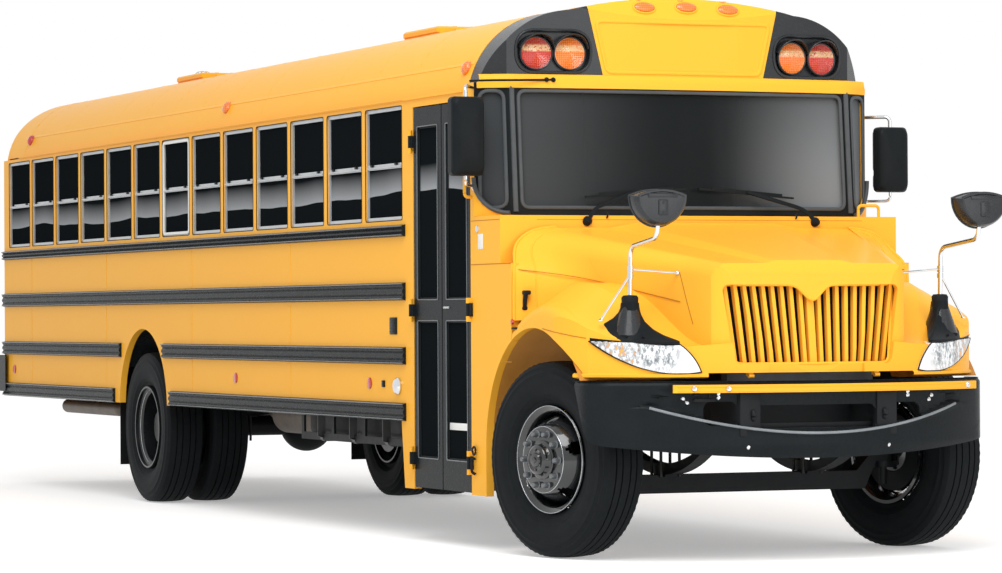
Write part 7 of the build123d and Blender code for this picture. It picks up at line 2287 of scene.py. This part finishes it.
class BUS_OT_bumper_shell(bpy.types.Operator):
    """Replaces the plain bumper with a moulded shell that has a rolled lip, slots and turned ends"""

    bl_idname = "bus.bumper_shell"
    bl_label = "Bumper shell"

    def execute(self, context):
        form = Form()
        bm = form.bm
        low = [(run, 0.545 + 0.0557 * run**2) for run in [-1.13 + 2.26 * step / 30 for step in range(31)]]
        right = [(1.17, 0.625), (1.215, 0.65), (1.245, 0.70), (1.29, 0.80), (1.36, BUMPER_TOP)]
        outline = low + right + [(-run, z) for run, z in reversed(right)]
        loops = [outline]
        for mid, wide, height, high in BUMPER_SLOTS:
            corners = [(mid - wide / 2, height - high / 2), (mid + wide / 2, height - high / 2)]
            corners += [(mid + wide / 2, height + high / 2), (mid - wide / 2, height + high / 2)]
            loop = rounded([Vector((run, z, 0)) for run, z in corners], 0.045, 6, closed=True)
            loops.append([(point.x, point.y) for point in loop])
        edges = []
        for loop in loops:
            verts = [bm.verts.new((0, run, z)) for run, z in loop]
            edges += [bm.edges.new((verts[index - 1], vert)) for index, vert in enumerate(verts)]
        bmesh.ops.triangle_fill(bm, use_beauty=True, use_dissolve=False, edges=edges)
        cuts = [((0, -1.35 + 0.045 * step, 0), (0, 1, 0)) for step in range(61)]
        cuts += [((0, 0, 0.55 + 0.01 * step), (0, 0, 1)) for step in range(40)]
        for place, normal in cuts:
            geometry = bm.verts[:] + bm.edges[:] + bm.faces[:]
            bmesh.ops.bisect_plane(bm, geom=geometry, plane_co=place, plane_no=normal, dist=1e-5)
        for vert in bm.verts:
            run, z = vert.co.y, vert.co.z
            place, out = bumper_plan(run)
            spot = place + out * bumper_relief(run, z)
            vert.co = at(spot.x, spot.y, z)
        bmesh.ops.recalc_face_normals(bm, faces=bm.faces)
        bmesh.ops.solidify(bm, geom=bm.faces[:], thickness=0.012)
        rows = []
        for back in (0.004, 0.03, 0.075):
            row = []
            for step in range(73):
                place, out = bumper_plan(-1.34 + 2.68 * step / 72)
                spot = place - out * back
                row.append(at(spot.x, spot.y, BUMPER_TOP - (0.002 if back < 0.07 else 0.03)))
            rows.append(row)
        form.rows(rows)
        shell = form.piece("bumper_shell", "bus_body", "body_black", smooth=35.0)
        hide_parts("front_bumper")
        frame_form = Form()
        for side in (-1, 1):
            frame_form.block(at(0.62, side * 0.34, 0.66), at(0.985, side * 0.46, 0.90), 0.008)
        frame_form.block(at(0.93, -0.46, 0.86), at(0.955, 0.46, 0.885), 0.004)
        frame_form.block(at(0.90, -0.36, 0.70), at(0.93, 0.36, 0.73), 0.004)
        frame_form.piece("bumper_brackets", "bus_body", "chassis_black")
        return {"FINISHED"}


# Front wheels

FRONT_RIM = (
    (0.268, -0.118), (0.287, -0.116), (0.287, -0.098), (0.262, -0.085), (0.252, -0.04), (0.248, 0.03),
    (0.256, 0.075),
    (0.263, 0.088), (0.279, 0.095), (0.2865, 0.100), (0.289, 0.107), (0.2855, 0.1115), (0.279, 0.109),
    (0.272, 0.102),
    (0.262, 0.098), (0.254, 0.086), (0.246, 0.055), (0.238, 0.02), (0.238, -0.08), (0.268, -0.118),
)
FRONT_DISC = (
    (0.239, 0.000), (0.238, 0.018), (0.236, 0.036), (0.231, 0.056), (0.224, 0.075), (0.215, 0.094),
    (0.205, 0.112),
    (0.196, 0.127), (0.187, 0.141), (0.180, 0.151), (0.174, 0.157), (0.168, 0.158), (0.10, 0.158),
)
FRONT_HUB = (
    (0.104, 0.155), (0.104, 0.166), (0.098, 0.169), (0.090, 0.168), (0.084, 0.172), (0.081, 0.196),
    (0.076, 0.205),
    (0.062, 0.209), (0.058, 0.206), (0.040, 0.206), (0.036, 0.214), (0.018, 0.216), (0.016, 0.222),
    (0.0, 0.223),
)


class BUS_OT_front_wheels(bpy.types.Operator):
    """Replaces the plain front wheels with pressed discs that have hand holes, hubs and nut caps"""

    bl_idname = "bus.front_wheels"
    bl_label = "Front wheels"

    def execute(self, context):
        for side, word in ((-1, "right"), (1, "left")):
            axis = Vector((-math.sin(STEER), math.cos(STEER), 0)) * side
            low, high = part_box(f"front_tyre_{word}")
            centre = (Vector(low) + Vector(high)) / 2
            centre.z = TYRE_R
            self.wheel(f"front_wheel_{word}", centre, axis, word)
        return {"FINISHED"}

    def wheel(self, body, centre, axis, word):
        rim = Form()
        upright = Vector((0, 0, 1))
        across = axis.cross(upright)

        def spot(radius, out, angle):
            return centre + axis * out + radius * (math.cos(angle) * upright + math.sin(angle) * across)

        rings = [
            [spot(radius, out, 2 * math.pi * step / 96) for step in range(96)]
            for radius, out in FRONT_RIM
        ]
        rim.rows(rings, closed=True)
        disc = Form()
        steps = 150
        made = []
        for radius, out in FRONT_DISC:
            made.append(
                [disc.bm.verts.new(spot(radius, out, 2 * math.pi * step / steps)) for step in range(steps)]
            )
        half_open = {2: 1, 3: 3, 4: 4, 5: 4, 6: 3, 7: 1}
        for index, (outer, inner) in enumerate(zip(made, made[1:])):
            for step in range(steps):
                away = abs((step + 15) % 30 - 15 + 0.5)
                if index in half_open and away < half_open[index] + 0.4:
                    continue
                after = (step + 1) % steps
                disc.face((outer[step], outer[after], inner[after], inner[step]))
        bmesh.ops.recalc_face_normals(disc.bm, faces=disc.bm.faces)
        bmesh.ops.solidify(disc.bm, geom=disc.bm.faces[:], thickness=0.009)
        disc.piece(f"front_disc_{word}", body, "wheel_gloss", smooth=50.0, slot="wheel_grey")
        shell = rim.piece(f"front_rim_{word}", body, "wheel_gloss", smooth=50.0, slot="wheel_grey")
        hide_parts(f"front_wheel_{word}")
        hub = Form()
        hub.lathe(centre, axis, FRONT_HUB, 56)
        for step in range(6):
            angle = 2 * math.pi * step / 6
            hub.lathe(spot(0.05, 0.205, angle), axis, [(0.006, 0.0), (0.006, 0.005), (0.0, 0.006)], 6)
        hub.lathe(centre, axis, [(0.10, -0.08), (0.12, -0.06), (0.12, 0.10), (0.10, 0.15), (0.0, 0.15)], 32)
        hub.piece(f"front_hub_{word}", body, "wheel_gloss", smooth=50.0, slot="wheel_grey")
        nuts = Form()
        for step in range(10):
            angle = 2 * math.pi * (step + 0.5) / 10
            profile = [
                (0.0215, 0.0),
                (0.0215, 0.004),
                (0.0165, 0.007),
                (0.0155, 0.030),
                (0.0115, 0.0385),
                (0.0, 0.041),
            ]
            nuts.lathe(spot(0.142, 0.156, angle), axis, profile, 14)
        nuts.piece(f"front_nut_caps_{word}", body, "nut_grey", slot="wheel_grey")
        # The rim beads' bright grey is a painted highlight on the rim's edges.
        beads = Form()
        for radius, out, thick in ((0.1775, 0.1545, 0.0024), (0.2862, 0.1125, 0.0028)):
            path = [spot(radius, out, 2 * math.pi * step / 72) for step in range(72)]
            beads.sweep(path, [(thick * a, thick * u) for a, u in ring(1.0, 6)], True, axis)
        beads.piece(f"front_rim_beads_{word}", body, "rim_edge", slot="wheel_grey")
        valve = Form()
        root = spot(0.246, 0.06, 2.2)
        valve.tube([root, root + axis * 0.03, root + axis * 0.055 - across * 0.006], 0.004, 8)
        valve.piece(f"front_valve_{word}", body, "bright_metal")


# Seats

SEAT_ROWS = 13
SEAT_FRONT = -2.05
FLOOR_TOP = 1.065


def padded_shape(points, low, high, voxel, pressure, cap):
    """A padded form: a side outline widened between two planes, remeshed, and swelled as cloth."""
    form = Form()
    form.slab([Vector((x, low, z)) for x, z in points], (0, high - low, 0))
    bmesh.ops.recalc_face_normals(form.bm, faces=form.bm.faces)
    bmesh.ops.bevel(form.bm, geom=form.bm.edges[:], offset=0.028, segments=2, profile=0.6, affect="EDGES")
    pad = form.object("pad", 60.0)
    remesh = pad.modifiers.new("remesh", "REMESH")
    remesh.mode = "VOXEL"
    remesh.voxel_size = voxel
    pad.data = evaluated(pad)
    start = [vert.co.copy() for vert in pad.data.vertices]
    cloth = pad.modifiers.new("cloth", "CLOTH")
    cloth.settings.use_pressure = True
    cloth.settings.uniform_pressure_force = pressure
    cloth.settings.effector_weights.gravity = 0.0
    cloth.settings.quality = 5
    cloth.point_cache.frame_start = 1
    cloth.point_cache.frame_end = 20
    for step in range(1, 21):
        bpy.context.scene.frame_set(step)
    swelled = evaluated(pad)
    bpy.context.scene.frame_set(1)
    pad.modifiers.clear()
    for vert, place, grown in zip(pad.data.vertices, start, swelled.vertices):
        move = grown.co - place
        vert.co = place + move * min(1.0, cap / max(move.length, 1e-6))
    sub = pad.modifiers.new("subdivision", "SUBSURF")
    sub.levels = 1
    mesh = evaluated(pad)
    bpy.data.objects.remove(pad)
    return mesh


def evaluated(piece):
    """The mesh of an object with its modifiers applied."""
    graph = bpy.context.evaluated_depsgraph_get()
    graph.update()
    mesh = bpy.data.meshes.new_from_object(piece.evaluated_get(graph))
    piece.modifiers.clear()
    return mesh


class BUS_OT_seats(bpy.types.Operator):
    """Replaces the plain seats with padded benches, a driver's seat and their legs"""

    bl_idname = "bus.seats"
    bl_label = "Seats"

    def execute(self, context):
        cushion = [(-0.01, 1.41), (-0.01, 1.50), (-0.40, 1.485), (-0.43, 1.41)]
        back = [(-0.42, 1.43), (-0.485, 2.055), (-0.545, 2.055), (-0.505, 1.43)]
        wide = (0.205, 1.165)
        shapes = [padded_shape(points, *wide, 0.052, 3.0, 0.012) for points in (cushion, back)]
        for side, word in ((-1, "right"), (1, "left")):
            for name, shape in zip(("cushions", "backs"), shapes):
                form = Form()
                for row in range(SEAT_ROWS):
                    shift = at(SEAT_FRONT - row * WINDOW_PITCH, 0, 0)
                    made = {}
                    for vert in shape.vertices:
                        y = vert.co.y * side
                        made[vert.index] = form.bm.verts.new((vert.co.x + shift.x, y, vert.co.z))
                    for polygon in shape.polygons:
                        form.face([made[index] for index in polygon.vertices])
                piece = form.piece(f"bench_{name}_{word}", "bus_body", "seat_cover", smooth=180.0)
                if word == "right" and name == "cushions":
                    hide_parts("seats")
        for name, points in (
            ("cushion", [(-1.27, 1.47), (-1.27, 1.555), (-1.62, 1.54), (-1.65, 1.47)]),
            ("back", [(-1.665, 1.5), (-1.755, 2.10), (-1.825, 2.10), (-1.745, 1.5)]),
        ):
            shape = padded_shape(points, 0.395, 0.845, 0.04, 3.0, 0.012)
            form = Form()
            made = {vert.index: form.bm.verts.new(vert.co + at(0, 0, 0)) for vert in shape.vertices}
            for polygon in shape.polygons:
                form.face([made[index] for index in polygon.vertices])
            piece = form.piece(f"driver_{name}", "bus_body", "seat_cover", smooth=180.0)
        self.legs()
        return {"FINISHED"}

    def legs(self):
        """The benches' tube legs with feet, and the driver's seat pedestal."""
        form = Form()
        for side in (-1, 1):
            for row in range(SEAT_ROWS):
                x = SEAT_FRONT - row * WINDOW_PITCH
                for share in (0.1, 0.75):
                    leg_x = x - share * 0.56 - 0.02
                    form.tube([at(leg_x, side * 0.245, FLOOR_TOP), at(leg_x, side * 0.245, 1.42)], 0.015, 8)
                    form.block(
                        at(leg_x - 0.03, side * 0.245 - 0.03, FLOOR_TOP),
                        at(leg_x + 0.03, side * 0.245 + 0.03, 1.07),
                        0.0,
                    )
                form.tube([at(x - 0.07, side * 0.245, 1.405), at(x - 0.47, side * 0.245, 1.405)], 0.014, 8)
                form.tube([at(x - 0.07, side * 1.15, 1.405), at(x - 0.47, side * 1.15, 1.405)], 0.014, 8)
        form.lathe(
            at(-1.5, 0.62, FLOOR_TOP),
            (0, 0, 1),
            [(0.09, 0.0), (0.09, 0.02), (0.05, 0.05), (0.05, 0.405), (0.12, 0.41)],
            24,
        )
        form.piece("seat_frames", "bus_body", "chassis_black")


# Cabin


class BUS_OT_cabin(bpy.types.Operator):
    """Adds the aisle's ribbed runner, the stanchion, the dash's dials and the wheel's grip"""

    bl_idname = "bus.cabin"
    bl_label = "Cabin"

    def execute(self, context):
        runner = Form()
        for step in range(11):
            y = -0.165 + 0.033 * step
            runner.sweep(
                [at(-1.9, y, FLOOR_TOP + 0.001), at(-10.5, y, FLOOR_TOP + 0.001)], strip(0.012, 0.004)
            )
        runner.piece("aisle_runner", "bus_body", "flap_rubber", slot="floor_covering")
        rail = Form()
        for places in (
            [(-1.85, -0.2, FLOOR_TOP), (-1.85, -0.2, 1.95), (-1.85, -1.15, 1.95)],
            [(-1.80, 0.25, FLOOR_TOP), (-1.80, 0.25, 2.1), (-1.80, 1.15, 2.1)],
            [(-0.93, -1.12, 1.1), (-0.93, -1.12, 1.9), (-1.02, -1.05, 2.0)],
        ):
            rail.tube(rounded([at(*place) for place in places], 0.08), 0.014, 10)
        rail.piece("stanchions", "bus_body", "bright_metal")
        dials = Form()
        for y in (0.48, 0.62, 0.76):
            place = at(-0.802, y, 1.69)
            dials.lathe(
                place,
                (-1, 0, 0),
                [(0.055, -0.002), (0.055, 0.012), (0.049, 0.015), (0.046, 0.006), (0.0, 0.006)],
                28,
            )
        dials.piece("dash_dials", "bus_body", "rim_edge", slot="bright_metal")
        grip = Form()
        turn = math.radians(-25)
        ahead = Vector((math.cos(turn), 0, -math.sin(turn)))
        centre = at(-0.98, 0.62, 1.8)
        path = []
        for step in range(48):
            angle = 2 * math.pi * step / 48
            path.append(centre + ahead * 0.225 * math.cos(angle) + Vector((0, 0.225 * math.sin(angle), 0)))
        grip.sweep(
            path, [(0.0165 * a, 0.0165 * u) for a, u in ring(1.0, 10)], True, ahead.cross(Vector((0, 1, 0)))
        )
        grip.piece("steering_grip", "bus_body", "trim_black")
        return {"FINISHED"}


# Chassis


class BUS_OT_chassis(bpy.types.Operator):
    """Adds spring bolts, tank straps and rail bolts below the floor"""

    bl_idname = "bus.chassis"
    bl_label = "Chassis"

    def execute(self, context):
        low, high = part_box("fuel_tank")
        straps = Form()
        for share in (0.2, 0.5, 0.8):
            x = low[0] + (high[0] - low[0]) * share
            path = [
                Vector((x, low[1] - 0.004, high[2] - 0.02)), Vector((x, low[1] - 0.004, low[2] - 0.004)),
                Vector((x, high[1] + 0.004, low[2] - 0.004)), Vector((x, high[1] + 0.004, high[2] - 0.02)),
            ]
            straps.sweep(rounded(path, 0.03), [(0.025 * a, 0.003 * u) for a, u in BOX], up=(0, 0, 1))
        straps.piece("tank_straps", "bus_body", "core_metal")
        bolts = Form()
        for side in (-1, 1):
            for step in range(34):
                x = 0.3 - step * 0.32
                for z in (0.80, 0.90):
                    bolts.lathe(
                        at(x, side * 0.455, z),
                        (0, side, 0),
                        [(0.012, -0.03), (0.012, 0.008), (0.0, 0.009)],
                        6,
                    )
            for x in (-0.06, 0.06, REAR_AXLE - 0.07, REAR_AXLE + 0.07):
                y = 0.43 if x > -1 else 0.5
                bar = [at(x, side * (y - 0.055), 0.42), at(x, side * (y - 0.055), 0.78)]
                other = [at(x, side * (y + 0.055), 0.42), at(x, side * (y + 0.055), 0.78)]
                bolts.tube(bar, 0.009, 8)
                bolts.tube(other, 0.009, 8)
        bolts.piece("rail_bolts", "bus_body", "bare_iron")
        return {"FINISHED"}


# Running

OPERATORS = (
    BUS_OT_finishes,
    BUS_OT_stage,
    BUS_OT_body_seams,
    BUS_OT_side_fittings,
    BUS_OT_windows,
    BUS_OT_windscreen,
    BUS_OT_cap,
    BUS_OT_hood,
    BUS_OT_crossview,
    BUS_OT_bumper,
    BUS_OT_tyres,
    BUS_OT_rear_wheels,
    BUS_OT_entrance,
    BUS_OT_rear_door,
    BUS_OT_side_mirrors,
    BUS_OT_stop_arm,
    BUS_OT_hood_flare,
    BUS_OT_bumper_shell,
    BUS_OT_front_wheels,
    BUS_OT_seats,
    BUS_OT_cabin,
    BUS_OT_chassis,
)


class BUS_PT_panel(bpy.types.Panel):
    """Lists the steps that dress the bus"""

    bl_idname = "BUS_PT_panel"
    bl_label = "School bus"
    bl_space_type = "VIEW_3D"
    bl_region_type = "UI"
    bl_category = "School bus"

    def draw(self, context):
        for group in (context.scene.bus_colours, context.scene.bus_stage):
            for name in group.__annotations__:
                self.layout.prop(group, name)
        for operator in OPERATORS:
            self.layout.operator(operator.bl_idname)


CLASSES = (BusColours, BusStage, *OPERATORS, BUS_PT_panel)


def register():
    """Adds the classes and the scene's properties."""
    for item in CLASSES:
        bpy.utils.register_class(item)
    bpy.types.Scene.bus_colours = bpy.props.PointerProperty(type=BusColours)
    bpy.types.Scene.bus_stage = bpy.props.PointerProperty(type=BusStage)


def unregister():
    """Takes the scene's properties and the classes away."""
    del bpy.types.Scene.bus_stage
    del bpy.types.Scene.bus_colours
    for item in reversed(CLASSES):
        bpy.utils.unregister_class(item)


def main():
    """Dresses the bus."""
    register()
    for operator in OPERATORS:
        group, name = operator.bl_idname.split(".")
        getattr(getattr(bpy.ops, group), name)()


if __name__ == "__main__":
    main()
